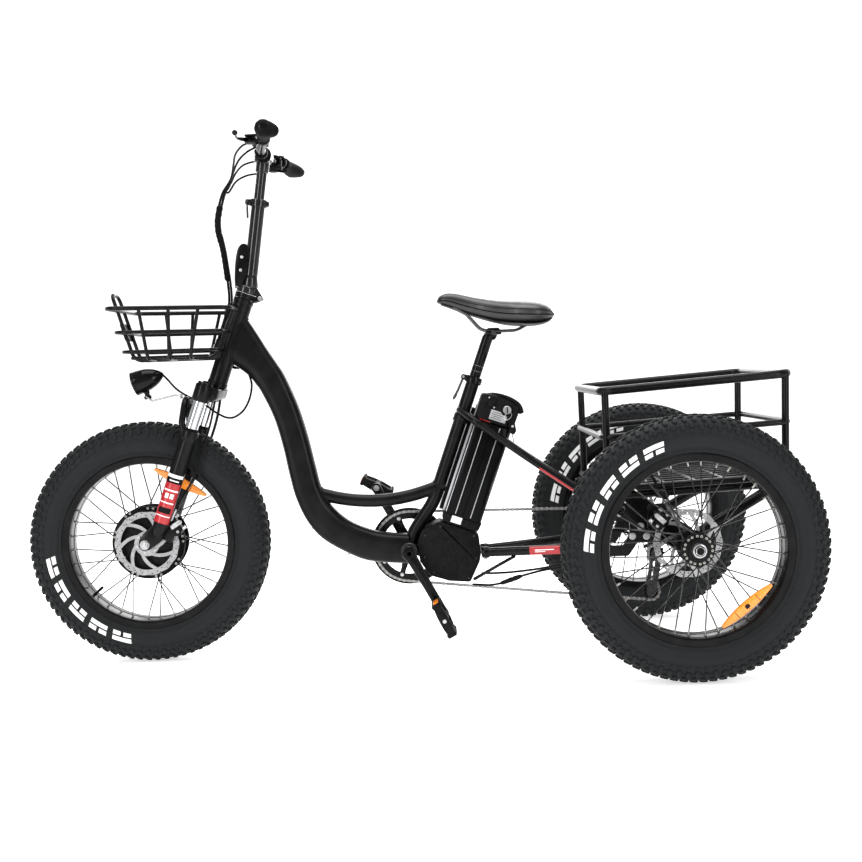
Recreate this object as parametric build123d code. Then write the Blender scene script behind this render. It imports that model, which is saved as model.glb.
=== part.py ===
from build123d import *
import os
from math import radians, degrees, sin, cos, sqrt, asin, atan2, pi

# Adult electric fat-tyre tricycle. Millimetres.
# Frame: +Z up, the tricycle faces -Y, its left side is +X.
# Origin: on the ground, at the centre of the footprint of the whole tricycle.

# ---------------------------------------------------------------- driving dimensions
TYRE_R = 300.0          # outer radius of a 20 x 4.0 tyre
TYRE_HALF_W = 49.0      # half of the tyre width
RIM_R_OUT = 213.6       # rim flange radius
RIM_R_IN = 196.0        # radius of the rim's inner wall
RIM_HALF_W = 40.0       # half of an 80 mm rim
WHEELBASE = 1286.8
TRACK = 767.2           # distance between the two rear tyre centres
FW_Y, RW_Y = -WHEELBASE / 2, WHEELBASE / 2
AXLE_Z = 300.0
HALF_TRACK = TRACK / 2
HALF_WIDTH = 440.0      # end of a rear half shaft

HT_TOP = (-393.0, 890.0)             # (Y, Z) centre of the head tube's top face
AX = (-0.33381, -0.94264)            # steering axis, pointing down and forward
NX = (-0.94264, 0.33381)             # square to it, pointing forward
HT_LEN = 212.0
HT_R = 23.5
STEERER_R = 14.3
RUN = 0.06                           # radial clearance of running fits

LEG_X = 76.0            # half distance between the fork legs
LEG_OFF = 17.0          # leg axis ahead of the steering axis
STANCHION_R = 16.0
LOWER_R = 20.0
FORK_TRAVEL = 18.0      # until the headlight meets the basket

POST_LOW = (-377.0, 921.0)           # handlepost axis at its foot
POST_DIR = (0.14142, 0.98995)
POST_R, POST_BORE, INNER_R = 17.0, 13.06, 13.0
BAR_R = 11.1

MAIN_W, MAIN_D = 60.0, 72.0          # hydroformed main tube section
BB = (3.0, 261.0)                    # bottom bracket centre
CRANK = 170.0
CRANK_ANG = 28.5                     # left arm, degrees rearward of straight down
CHAIN_X = -56.0
RING_PITCH_R, COG_PITCH_R, PULLEY_R = 89.0, 44.6, 22.3

ST_O = (143.0, 592.0)                # a point on the seat tube axis
ST_U = (0.336, 0.94186)              # seat tube axis, upward
ST_V = (0.94186, -0.336)             # square to it, rearward
SEAT_TUBE_R, SEATPOST_R = 16.5, 13.6

BAT_X, BAT_V0, BAT_V1, BAT_U0, BAT_U1 = 42.0, 29.5, 129.0, -261.0, 72.0

SHAFT_R = 12.0
ROTOR_R = 80.0

os.makedirs("parts", exist_ok=True)
NODES = {}


def put(name, shape):
    NODES[name] = shape


# ---------------------------------------------------------------- helpers
def cyl(p0, p1, r):
    """Cylinder of radius r between two points."""
    a, b = Vector(*p0), Vector(*p1)
    d = b - a
    return Plane(origin=a, z_dir=d.normalized()) * Cylinder(
        r, d.length, align=(Align.CENTER, Align.CENTER, Align.MIN))


def bar_box(x0, x1, y0, y1, z0, z1):
    return Pos((x0 + x1) / 2, (y0 + y1) / 2, (z0 + z1) / 2) * Box(x1 - x0, y1 - y0, z1 - z0)


def bent(points, radii, r):
    """Round tube or wire along straight runs joined by arcs."""
    path = FilletPolyline(*[Vector(*p) for p in points], radius=radii)
    sec = Plane(origin=path @ 0, z_dir=path % 0) * Circle(r)
    return sweep(sec, path=path)


def straight(points, r):
    """Straight runs with ball joints at the corners."""
    out = None
    for a, b in zip(points, points[1:]):
        c = cyl(a, b, r)
        out = c if out is None else out + c
    for p in points[1:-1]:
        out = out + Pos(*p) * Sphere(r)
    return out


YZ = Plane(origin=(0, 0, 0), x_dir=(0, 1, 0), z_dir=(1, 0, 0))   # local x = Y, local y = Z


def slab(pts, x0, x1, rad=0.0):
    """A flat plate in the Y-Z plane, between x0 and x1."""
    f = make_face(Polyline(*[(p[0], p[1]) for p in pts], close=True))
    if rad > 0:
        f = fillet(f.vertices(), rad)
    return Pos(x0, 0, 0) * (YZ * extrude(f, x1 - x0))


def ax(t, n=0.0, x=0.0):
    """Point at distance t down the steering axis, n ahead of it."""
    return (x, HT_TOP[0] + AX[0] * t + NX[0] * n, HT_TOP[1] + AX[1] * t + NX[1] * n)


def po(t, n=0.0, x=0.0):
    """Point t up the handlepost axis from its foot, n behind it."""
    return (x, POST_LOW[0] + POST_DIR[0] * t + POST_DIR[1] * n,
            POST_LOW[1] + POST_DIR[1] * t - POST_DIR[0] * n)


def st(u, v=0.0, x=0.0):
    """Point u up the seat tube axis, v behind it."""
    return (x, ST_O[0] + ST_U[0] * u + ST_V[0] * v, ST_O[1] + ST_U[1] * u + ST_V[1] * v)


def yz(p):
    return (p[1], p[2])


def mirror_x(s):
    return mirror(s, about=Plane.YZ)


def disc(x0, x1, y, z, r):
    return cyl((x0, y, z), (x1, y, z), r)


def solids(*shapes):
    """A node made of several separate solids."""
    out = []
    for s in shapes:
        out += list(s.solids())
    return Compound(children=out)


# ---------------------------------------------------------------- front of the frame
head_tube = cyl(ax(0), ax(HT_LEN), HT_R)
head_tube += cyl(ax(-8), ax(4), 25.5)
head_tube += cyl(ax(HT_LEN - 4), ax(HT_LEN + 8), 25.5)
ht_bore = cyl(ax(-20), ax(HT_LEN + 20), STEERER_R + RUN)
head_tube -= ht_bore
put("head_tube", head_tube)
ht_env = cyl(ax(-9), ax(HT_LEN + 9), 25.5)
ht_core = cyl(ax(-9), ax(HT_LEN + 9), HT_R)

main_pts = [(0, -418, 815), (0, -312, 668), (0, -246, 398), (0, -178, 306), (0, -95, 270), (0, -4, 262)]
main_path = FilletPolyline(*[Vector(*p) for p in main_pts], radius=[300, 190, 120, 150])
sec_plane = Plane(origin=main_path @ 0, x_dir=(1, 0, 0), z_dir=main_path % 0)
main_tube = sweep(sec_plane * RectangleRounded(MAIN_W, MAIN_D, 22), path=main_path)
# gusset that deepens the tube where it meets the head tube
gus = slab([(-378, 841), (-335, 771), (-352, 728), (-382.5, 706), (-424, 733), (-424, 835)], -24, 24, 6)
main_tube = main_tube + gus
main_tube -= ht_core
main_tube -= cyl((-60, BB[0], BB[1]), (60, BB[0], BB[1]), 22.0)
main_tube = main_tube.solids().sort_by(SortBy.VOLUME)[-1]
# hollow, with a 3 mm wall
main_tube -= sweep(sec_plane * RectangleRounded(MAIN_W - 6, MAIN_D - 6, 19), path=main_path)
main_tube = main_tube.solids().sort_by(SortBy.VOLUME)[-1]
put("main_tube", main_tube)

step_path = [(0, -232, 411), (0, -76, 366), (0, 92, 421)]
step_tube = bent(step_path, [420], 16.0)
step_tube -= main_tube

seat_pts = [st(101), (0, 67.5, 380.5), (0, 18, 308), (0, 4, 270)]
seat_tube = bent(seat_pts, [150, 80], SEAT_TUBE_R)
bore_seat = cyl(st(-190), st(110), SEATPOST_R + 0.05)
seat_tube -= bore_seat
seat_tube += cyl(st(6), st(-16), 19.5) - cyl(st(20), st(-30), SEATPOST_R + 0.05)
seat_tube -= cyl((-60, BB[0], BB[1]), (60, BB[0], BB[1]), 22.0)
seat_tube -= main_tube
seat_tube = seat_tube.solids().sort_by(SortBy.VOLUME)[-1]
put("seat_tube", seat_tube)
step_tube -= bent(seat_pts, [150, 80], SEAT_TUBE_R)
step_tube = step_tube.solids().sort_by(SortBy.VOLUME)[-1]
put("step_tube", step_tube)

bb_shell = disc(-36.5, 36.5, BB[0], BB[1], 22.0) - disc(-60, 60, BB[0], BB[1], 10.06)
put("bb_shell", bb_shell)

# ---------------------------------------------------------------- stays
def chain_stay(s):
    return bent([(s * 30, 186.0, 252.0), (s * 60, 300.0, 258.0), (s * 112, 475.0, 268.0)], [300], 11.5)





def seat_stay(s):
    t = bent([(s * 8, 139, 607), (s * 60, 170, 584), (s * 62, 300, 489), (s * 112, 452, 385)],
             [50, 200], 9.5)
    t -= cyl(st(40), st(-60), 19.6)
    return t.solids().sort_by(SortBy.VOLUME)[-1]


put("seat_stays", solids(seat_stay(1), seat_stay(-1)))

# ---------------------------------------------------------------- controller box and battery rail
cover_pts = [(24, 282), (36, 312), (80, 334.0), (176, 299.5), (181, 252), (177, 231), (153, 181),
             (101, 185), (53, 200), (29, 236)]
cover = slab(cover_pts, -42, 46, 4)
rail = slab([yz(st(-248, 17)), yz(st(-248, 29)), yz(st(30, 29)), yz(st(30, 17))], -17, 17)
cover = cover + rail
cover -= bent(seat_pts, [150, 80], SEAT_TUBE_R + 0.02)
cover -= disc(-60, 60, BB[0], BB[1], 22.02)
cover -= cyl(st(40), st(-60), 19.55)
cover = cover.solids().sort_by(SortBy.VOLUME)[-1]
put("controller_cover", cover)

bat = slab([yz(st(BAT_U0, BAT_V0)), yz(st(BAT_U0, BAT_V1)), yz(st(BAT_U1, BAT_V1)), yz(st(BAT_U1, BAT_V0))],
           -BAT_X, BAT_X, 10)
lip = slab([yz(st(BAT_U1 - 2, 38)), yz(st(BAT_U1 + 8, 60)), yz(st(BAT_U1 + 10, 100)), yz(st(BAT_U1 + 4, 134)),
            yz(st(BAT_U1 - 14, 143)), yz(st(BAT_U1 - 18, 132)), yz(st(BAT_U1 - 2, 125))], -30, 30, 2)
battery = bat + lip
KEY = st(50, 100)
battery -= disc(BAT_X - 14, BAT_X + 5, KEY[1], KEY[2], 6.05)
put("battery", battery)
key = disc(BAT_X - 13.5, BAT_X + 2, KEY[1], KEY[2], 6.0) + disc(BAT_X + 0.4, BAT_X + 3.5, KEY[1], KEY[2], 10.5)
key += bar_box(BAT_X + 3, BAT_X + 17, KEY[1] - 1.2, KEY[1] + 1.2, KEY[2] - 9, KEY[2] + 9)
put("key", key)

# ---------------------------------------------------------------- rear axle housing and subframe
inner_plate = [(476, 246), (536, 246), (560, 280), (628, 272), (660, 276), (672, 300), (660, 330),
               (600, 345), (566, 392), (470, 380), (470, 330)]
outer_plate = [(560, 330), (625, 276), (662, 276), (676, 300), (662, 330), (610, 360), (600, 388), (560, 386)]


def housing(s):
    a, b = (20.0, 262.0) if s > 0 else (-262.0, -95.0)
    h = disc(a, b, RW_Y, AXLE_Z, 24.0)
    p0 = 108.0 if s > 0 else -116.0
    h += slab(inner_plate, p0, p0 + 8, 4)
    o0 = 250.0 if s > 0 else -258.0
    h += slab(outer_plate, o0, o0 + 8, 4)
    h -= disc(a - 5, b + 5, RW_Y, AXLE_Z, SHAFT_R + RUN)
    for cy, cz in [(566, 318), (546, 294), (580, 293)]:
        bolt = disc(p0 + 8, p0 + 13, cy, cz, 8.5) if s > 0 else disc(p0 - 5, p0, cy, cz, 8.5)
        h += bolt
    return h


RAIL_X = 180.0


def rail_z(y):
    return 401.0 + (y - 458.0) * 18.0 / 378.0


rails = []
for s in (1, -1):
    rails.append(cyl((s * RAIL_X, 445, rail_z(445)), (s * RAIL_X, 872, rail_z(872)), 12.0)
                 - cyl((s * RAIL_X, 444, rail_z(444)), (s * RAIL_X, 873, rail_z(873)), 10.0))
cross = []
for y in (470.0, 600.0, 850.0):
    z = rail_z(y)
    for seg in ((-RAIL_X + 12.3, RAIL_X - 12.3), (RAIL_X + 12.3, 262.0), (-262.0, -RAIL_X - 12.3)):
        cross.append(cyl((seg[0], y, z), (seg[1], y, z), 11.0))
diag = []
for s in (1, -1):
    diag.append(cyl((s * 236.0, 690, 318), (s * 236.0, 838, 404), 13.0))
house_l, house_r = housing(1), housing(-1)
diag = [d - cross[7] - cross[8] for d in diag]
for c in cross:
    house_l -= c
    house_r -= c
house_l = house_l.solids().sort_by(SortBy.VOLUME)[-1]
house_r = house_r.solids().sort_by(SortBy.VOLUME)[-1]
put("axle_housing", solids(house_l, house_r))
put("chain_stays", solids(*[(chain_stay(s) - h).solids().sort_by(SortBy.VOLUME)[-1]
                            for s, h in ((1, house_l), (-1, house_r))]))
diag = [(d - house_l - house_r).solids().sort_by(SortBy.VOLUME)[-1] for d in diag]
put("subframe_rails", solids(*rails, *cross, *diag))

# ---------------------------------------------------------------- baskets
# front: flat wire panels that taper downwards; it bolts to the head tube
FT1, FT2 = (170, -698, 875), (170, -404, 871)
FB1, FB2 = (150, -660, 752), (150, -452, 754)


def lerp(a, b, f):
    return tuple(a[i] + (b[i] - a[i]) * f for i in range(3))


def neg(p):
    return (-p[0], p[1], p[2])


def grille(corners, rails_f, verts_f, r_top, r_wire):
    """corners: top start, top end, bottom start, bottom end."""
    a, b, c, d = corners
    out = cyl(a, b, r_top)
    for f in rails_f:
        out += cyl(lerp(a, c, f), lerp(b, d, f), r_wire)
    for g in verts_f:
        out += cyl(lerp(a, b, g), lerp(c, d, g), r_wire)
    return out


fb_side = grille((FT1, FT2, FB1, FB2), [0.48, 1.0], [0.0, 0.27, 0.51, 0.75, 1.0], 5.0, 4.0)
fb_side_l = fb_side
fb_side_r = mirror_x(fb_side)


def side_x(f, r):
    """Inner face of the side panel's wire of radius r at depth fraction f."""
    return 170.0 - 20.0 * f - r - 0.1


def end_panel(y0, z0, y1, z1, x_in, verts):
    """A wire panel across one end of the basket; x_in None runs the full width."""
    out = None
    for f, r, rs in ((0.0, 5.0, 5.0), (0.48, 4.0, 4.0), (1.0, 4.0, 4.0)):
        y, z = y0 + (y1 - y0) * f, z0 + (z1 - z0) * f
        xe = side_x(f, rs)
        w = cyl((-xe if x_in is None else x_in, y, z), (xe, y, z), r)
        out = w if out is None else out + w
    for x in verts:
        out += cyl((x, y0, z0), (x, y1, z1), 3.8)
    return out


fb_front = end_panel(-698, 875, -660, 752, None, (-36, 36))
fb_front += straight([(-36, -698, 875), (-36, -711, 914), (36, -711, 914), (36, -698, 875)], 4.4)
fb_front += slab([(-694, 843), (-689.5, 843), (-676.3, 800), (-680.8, 800)], -40, 40)
fb_rear_l = end_panel(-404, 871, -452, 754, 34, (42, 95))
fb_rear_r = mirror_x(fb_rear_l)
fb_floor = None
for x in (-112.0, -75.0, -37.5, 0.0, 37.5, 75.0, 112.0):
    y1 = -478.0 if abs(x) < 40 else -457.5
    w = cyl((x, -654, 752.5), (x, y1, 753.9), 3.0)
    fb_floor = w if fb_floor is None else fb_floor + w
for y in (-612.0, -548.0, -484.0):
    fb_floor += cyl((-145.4, y, 750.9), (145.4, y, 750.9), 3.2)
fb_floor = fb_floor - fb_front
fb_floor = fb_floor.solids().sort_by(SortBy.VOLUME)[-1]
fb_front = fb_front.solids().sort_by(SortBy.VOLUME)[-1]
fb_rear_l = fb_rear_l.solids().sort_by(SortBy.VOLUME)[-1]
fb_rear_r = fb_rear_r.solids().sort_by(SortBy.VOLUME)[-1]
put("front_basket", solids(fb_floor, fb_side_l, fb_side_r, fb_front, fb_rear_l, fb_rear_r))


def axbox(t0, t1, n0, n1, x0, x1):
    """Box square to the steering axis."""
    pts = [yz(ax(t0, n0)), yz(ax(t0, n1)), yz(ax(t1, n1)), yz(ax(t1, n0))]
    return slab(pts, x0, x1)


bracket = axbox(10, 150, 12, 31, -33, 33)
bracket -= cyl(ax(-30), ax(HT_LEN + 30), HT_R + 0.02)
bracket -= cyl(ax(-9), ax(4.2), 25.6)
bracket -= main_tube
bracket -= fb_floor
bracket -= fb_rear_l
bracket -= fb_rear_r
bracket = bracket.solids().sort_by(SortBy.VOLUME)[-1]
put("basket_bracket", bracket)

# rear: heavier tube basket over the axle
RBX = 240.0
RT1, RT2 = (RBX, 461, 650), (RBX, 899, 681)


def floor_z(y):
    return rail_z(y) + 12.0 + 8.3


RB1, RB2 = (RBX, 466, floor_z(466)), (RBX, 897, floor_z(897))
rb_side = grille((RT1, RT2, RB1, RB2), [0.47], [0.0, 1.0], 10.0, 9.0)
rb_side += cyl(RB1, RB2, 8.0)
rb_side_l, rb_side_r = rb_side, mirror_x(rb_side)


def rb_end(y_top, z_top, y_bot):
    zb = floor_z(y_bot)
    e = cyl((-RBX, y_top, z_top), (RBX, y_top, z_top), 10.0)
    e += cyl((-RBX, y_bot, zb), (RBX, y_bot, zb), 8.0)
    ym, zm = y_top + (y_bot - y_top) * 0.47, z_top + (zb - z_top) * 0.47
    e += cyl((-RBX, ym, zm), (RBX, ym, zm), 7.0)
    e = e - rb_side_l - rb_side_r
    return e.solids().sort_by(SortBy.VOLUME)[-1]


rb_front, rb_rear = rb_end(461, 650, 466), rb_end(899, 681, 897)
rb_floor = None
for i in range(9):
    x = -200.0 + 50.0 * i
    w = cyl((x, 468, floor_z(468) ), (x, 895, floor_z(895)), 5.0)
    rb_floor = w if rb_floor is None else rb_floor + w
for y in (540.0, 680.0, 820.0):
    rb_floor += cyl((-236.0, y, floor_z(y)), (236.0, y, floor_z(y)), 6.0)
rb_floor = (rb_floor - rb_side_l - rb_side_r - rb_front - rb_rear).solids().sort_by(SortBy.VOLUME)[-1]
put("rear_basket", solids(rb_floor, rb_side_l, rb_side_r, rb_front, rb_rear))

tail_light = Pos(0, 911 + 3, 470) * Box(60, 10, 30)
tail_light += bar_box(-20, 20, 903, 910, 440, 456)
tail_light -= rb_rear
put("tail_light", tail_light.solids().sort_by(SortBy.VOLUME)[-1])

# ---------------------------------------------------------------- steering: crown, stanchions, stem base
crown = cyl(ax(-22), ax(240), STEERER_R)
T_CR = HT_LEN + 8.6
for s in (1, -1):
    crown += cyl(ax(T_CR, LEG_OFF, s * LEG_X), ax(T_CR + 42, LEG_OFF, s * LEG_X), 22.0)
crown += axbox(T_CR, T_CR + 36, -22, 36, -LEG_X, LEG_X)
for s in (1, -1):
    crown -= cyl(ax(T_CR + 6, LEG_OFF, s * LEG_X), ax(T_CR + 60, LEG_OFF, s * LEG_X), STANCHION_R)
crown = crown.solids().sort_by(SortBy.VOLUME)[-1]
put("fork_crown", crown)
T_ST0, T_ST1, T_LOW = T_CR + 6, 430.0, 338.0
put("stanchions", solids(*[cyl(ax(T_ST0, LEG_OFF, s * LEG_X), ax(T_ST1, LEG_OFF, s * LEG_X), STANCHION_R)
                           for s in (1, -1)]))

PIN = (-350.0, 897.0)                 # fold hinge, behind the stem base
stem_base = cyl(ax(-8.4), ax(-22), 25.0)
stem_base -= cyl(ax(-30), ax(30), STEERER_R)
for s in (1, -1):
    ear = slab([(-392, 896), (-381, 908.0), (-362, 900.8), (-352, 904), (-345, 901), (-344, 894),
                (-366, 886.5), (-372, 893.0)], s * 12.0 - 3.5, s * 12.0 + 3.5)
    stem_base += ear
stem_base -= cyl(ax(-30), ax(30), STEERER_R)
stem_base -= cyl(ax(-8.2), ax(30), 30)
stem_base += disc(-15.5, 15.5, PIN[0], PIN[1], 4.0)
stem_base = stem_base.solids().sort_by(SortBy.VOLUME)[-1]
put("stem_base", stem_base)

# ---------------------------------------------------------------- fork lowers, axle, caliper, lamp
lowers = None
for s in (1, -1):
    leg = cyl(ax(T_LOW, LEG_OFF, s * LEG_X), ax(612, LEG_OFF, s * LEG_X), LOWER_R)
    leg += cyl(ax(T_LOW, LEG_OFF, s * LEG_X), ax(T_LOW + 22, LEG_OFF, s * LEG_X), LOWER_R + 2)
    x0, x1 = (68.0, 80.0) if s > 0 else (-80.0, -68.0)
    drop = slab([yz(ax(585, 3)), yz(ax(585, 33)), yz(ax(618, 52)), yz(ax(648, 52)), yz(ax(654, 39)),
                 yz(ax(646, 22)), yz(ax(618, 2))], x0, x1, 3)
    leg += drop
    leg -= cyl(ax(T_LOW - 5, LEG_OFF, s * LEG_X), ax(480, LEG_OFF, s * LEG_X), STANCHION_R + RUN)
    leg -= disc(x0 - 1, x1 + 1, FW_Y, AXLE_Z, 6.0)
    lowers = leg if lowers is None else lowers + leg
arch = bent([ax(357, 28, LEG_X + 2), ax(322, 50, 72), ax(270, 57, 48), ax(270, 57, -48), ax(322, 50, -72),
             ax(357, 28, -LEG_X - 2)], [30, 34, 34, 30], 8.5)
for s in (1, -1):
    arch -= cyl(ax(T_LOW - 5, LEG_OFF, s * LEG_X), ax(480, LEG_OFF, s * LEG_X), LOWER_R - 1)
lowers = (lowers + arch).solids().sort_by(SortBy.VOLUME)[-1]
put("fork_lowers", lowers)

axle = disc(-90, 90, FW_Y, AXLE_Z, 6.0)
for s in (1, -1):
    a, b = (80.0, 88.0) if s > 0 else (-88.0, -80.0)
    axle += disc(a, b, FW_Y, AXLE_Z, 10.0)
    a, b = (53.5, 68.0) if s > 0 else (-68.0, -52.0)
    axle += disc(a, b, FW_Y, AXLE_Z, 9.0)
put("front_axle", axle)

ROT_X = 52.0
cal_c = (FW_Y + 66.0, AXLE_Z + 40.0)
caliper = slab([(cal_c[0] - 14, cal_c[1] - 26), (cal_c[0] + 22, cal_c[1] - 20), (cal_c[0] + 20, cal_c[1] + 26),
                (cal_c[0] - 8, cal_c[1] + 30)], 41.0, 66.0, 5)
caliper -= disc(ROT_X - 1.8, ROT_X + 1.8, FW_Y, AXLE_Z, ROTOR_R + 2)
caliper += slab([(cal_c[0] - 30, cal_c[1] - 10), (cal_c[0] + 6, cal_c[1] - 12), (cal_c[0] + 4, cal_c[1] + 14),
                 (cal_c[0] - 22, cal_c[1] + 20)], 60.0, 68.0, 3)
caliper -= lowers
caliper = caliper.solids().sort_by(SortBy.VOLUME)[-1]
put("front_caliper", caliper)

# headlight: a bullet shape pointing forward and slightly down
LAMP_F = (-669.5, 694.0)
LA = (0.9522, 0.3055)         # from the lens back to the tip, in Y and Z
prof = Polyline((0, 0), (0, 29), (8, 29.5))
prof_c = ThreePointArc((8, 29.5), (48, 24.0), (76, 0))
base = Line((76, 0), (0, 0))
lamp = revolve(make_face([*prof.edges(), prof_c, base]), axis=Axis.X)
lamp_plane = Plane(origin=(0, LAMP_F[0], LAMP_F[1]), x_dir=(0, LA[0], LA[1]), z_dir=(1, 0, 0))
lamp = lamp_plane * lamp
lamp += cyl((0, -641, 676), (0, -636, 650), 7.0)
wire = straight([(0, -636, 655), (0, -600, 656), (0, -566, 664), (0, -549, 662)], 3.5)
lamp = (lamp + wire - arch).solids().sort_by(SortBy.VOLUME)[-1]
put("headlight", lamp)

# ---------------------------------------------------------------- handlepost, latch, telescopic stem
post_foot = cyl(ax(-22.5), ax(-40), 25.0)
handlepost = post_foot + cyl(po(-4), po(217), POST_R)
handlepost -= cyl(ax(-22.45), ax(30), 60)
lug = slab([(-385, 915), (-372, 931), (-358, 926), (PIN[0] + 6, PIN[1] + 3), (PIN[0] + 3, PIN[1] - 6),
            (PIN[0] - 6, PIN[1] - 4), (-362, 903)], -8.2, 8.2, 1.5)
lug -= cyl(ax(-22.45), ax(2), 26.0)
handlepost += lug
handlepost -= disc(-30, 30, PIN[0], PIN[1], 4.06)
handlepost += cyl(po(205), po(222), 21.5)
handlepost += Plane(origin=po(213.5), x_dir=(1, 0, 0), z_dir=(0, POST_DIR[0], POST_DIR[1])) * Pos(0, 0, 0) * Box(12, 56, 12)
LP = (-404.5, 930.0)                   # latch lever pivot
for s in (1, -1):
    handlepost += slab([(LP[0] - 6, LP[1] - 5), (LP[0] - 6, LP[1] + 6), (-388, LP[1] + 16), (-384, LP[1] - 4)],
                       s * 9.3 - 2.5, s * 9.3 + 2.5, 1)
handlepost -= cyl(ax(-22.45), ax(60), 60) - slab([(-366, 880), (-366, 915), (-330, 915), (-330, 880)], -8.2, 8.2)
handlepost -= disc(-6.8, 6.8, LP[0], LP[1], 7.6)
handlepost -= slab([(LP[0] - 14, LP[1] - 1), (LP[0] - 14, 960), (-394, 960), (LP[0] + 7.0, LP[1] + 6),
                    (LP[0] + 7.0, LP[1] - 1)], -6.8, 6.8)
handlepost += disc(-11.5, 11.5, LP[0], LP[1], 3.0)
handlepost -= cyl(po(20), po(240), POST_BORE)
handlepost = handlepost.solids().sort_by(SortBy.VOLUME)[-1]
put("handlepost", handlepost)

latch = disc(-6.3, 6.3, LP[0], LP[1], 6.5)
latch_pts = [(LP[0] - 6, LP[1]), (LP[0] - 5, 975), (-403, 1012), (-396, 1024), (-388, 1021), (-389, 1000),
             (-397.5, 955), (LP[0] + 5.5, LP[1] + 6), (LP[0] + 4, LP[1])]
latch += slab(latch_pts, -6.3, 6.3, 0)
latch -= cyl(po(-30), po(240), POST_R + 0.5)
latch -= disc(-20, 20, LP[0], LP[1], 3.06)
latch = latch.solids().sort_by(SortBy.VOLUME)[-1]
put("latch_lever", latch)

CLAMP = (-329.0, 1247.0)
inner = cyl(po(40), po(300), INNER_R)
stem_clamp = disc(-24, 24, CLAMP[0], CLAMP[1], 20.0)
stem_clamp += cyl(po(290), po(322), 16.0)
inner += stem_clamp
inner -= disc(-60, 60, CLAMP[0], CLAMP[1], BAR_R + 0.02)
inner = inner.solids().sort_by(SortBy.VOLUME)[-1]
put("post_inner", inner)

bar_pts = [(-338, -292, 1259), (-205, -306, 1261), (-105, -325, 1251), (-52, -329, 1247), (52, -329, 1247),
           (105, -325, 1251), (205, -306, 1261), (338, -292, 1259)]
handlebar = bent(bar_pts, [120, 70, 90, 90, 70, 120], BAR_R)
put("handlebar", handlebar)


def on_bar(x):
    """Centre of the bar on its outer straight run."""
    f = (x - 205.0) / 133.0
    return (-306 + 14 * f, 1261 - 2 * f)


def grip(s):
    y0, z0 = on_bar(222)
    y1, z1 = on_bar(339)
    g = cyl((222, y0, z0), (340, y1, z1), 16.5)
    g += slab([(y1 - 6, z1 - 15), (y1 - 6, z1 + 14), (y1 + 12, z1 + 15), (y1 + 31, z1 - 3),
               (y1 + 30, z1 - 10), (y1 + 12, z1 - 14)], 262, 340, 4)
    a, b = on_bar(200), on_bar(338)
    g -= cyl((200, a[0], a[1]), (338, b[0], b[1]), BAR_R + 0.03)
    g = g.solids().sort_by(SortBy.VOLUME)[-1]
    return g if s > 0 else mirror_x(g)


put("grips", solids(grip(1), grip(-1)))

PV = (172.0, -340.0, 1259.0)           # brake lever pivot, left side


def perch(s):
    a, b = on_bar(205), on_bar(219)
    y0, z0 = -312.0, 1258.0
    c = bar_box(160, 200, -352, -296, 1250, 1270)
    c -= bar_box(150, 210, -360, -331, PV[2] - 5.5, PV[2] + 5.5)
    c += cyl((178, -311.0, 1258.3), (198, -307.4, 1260.3), 17.0)
    c += cyl((PV[0], PV[1], PV[2] - 8), (PV[0], PV[1], PV[2] + 8), 3.0)
    c -= handlebar
    c = c.solids().sort_by(SortBy.VOLUME)[-1]
    return c if s > 0 else mirror_x(c)


display = bar_box(38, 92, -352, -312, 1262, 1276) + bar_box(52, 64, -345, -315, 1236, 1264) - handlebar
display = display.solids().sort_by(SortBy.VOLUME)[-1]
shifter = bar_box(-158, -122, -340, -290, 1232, 1244) + bar_box(-150, -130, -338, -296, 1240, 1270)
shifter -= handlebar
shifter = shifter.solids().sort_by(SortBy.VOLUME)[-1]
put("controls", solids(perch(1), perch(-1), display, shifter))


def lever(s):
    l = cyl((PV[0], PV[1], PV[2] - 4.3), (PV[0], PV[1], PV[2] + 4.3), 8.0)
    plan = [(PV[0] - 4, PV[1] - 6), (PV[0] + 5, PV[1] + 5), (205, -359.5), (288, -357.5), (292, -362), (288, -366.5),
            (200, -369), (186, -361)]
    blade = make_face(Polyline(*plan, close=True))
    l += Pos(0, 0, PV[2] - 4.3) * extrude(blade, 8.6)
    l -= cyl((PV[0], PV[1], PV[2] - 20), (PV[0], PV[1], PV[2] + 20), 3.06)
    l = l.solids().sort_by(SortBy.VOLUME)[-1]
    return l if s > 0 else mirror_x(l)


put("brake_lever_left", lever(1))
put("brake_lever_right", lever(-1))

# ---------------------------------------------------------------- control cables
CX = -29.0
up = bent([(CX, -366, 1236), (CX, -404, 1222), (CX, -439, 1165), (CX, -455, 1096), (CX, -448, 1036),
           (CX, -438, 986)], [50, 130, 250, 250], 7.5)
put("cables_upper", up)
low = bent([(CX, -437.8, 985), (CX, -431, 935), (CX, -427, 895)], [300], 7.5)
# lead of the headlight, behind the fork crown
hl1 = bent([(28, -487, 624), (28, -462, 612), (28, -440, 604)], [60], 3.0)
put("cables_lower", solids(low, hl1))
hl2 = bent([(28, -439, 604), (28, -409, 602), (24, -383, 628), (16, -376, 668), (10, -380, 696)],
           [40, 45, 60], 3.0)
hl2 -= main_tube
hl2 = hl2.solids().sort_by(SortBy.VOLUME)[-1]
fc1 = bent([(30, 183, 200), (34, 216, 200), (60, 260, 206), (80, 332, 217), (92, 420, 236), (96, 474, 256)],
           [60, 120, 160, 160], 3.0)
fc2 = bent([(38, 160, 174), (42, 200, 172), (46, 228, 176)], [120], 3.0)
conn = cyl((46, 228.5, 176), (60, 281, 196), 6.0)
fc3 = bent([(60.3, 282, 196.4), (74, 330, 210), (90, 400, 224), (100, 473, 250)], [200, 160], 3.0)
put("frame_cables", solids(hl2, fc1, fc2, conn, fc3))

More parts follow.
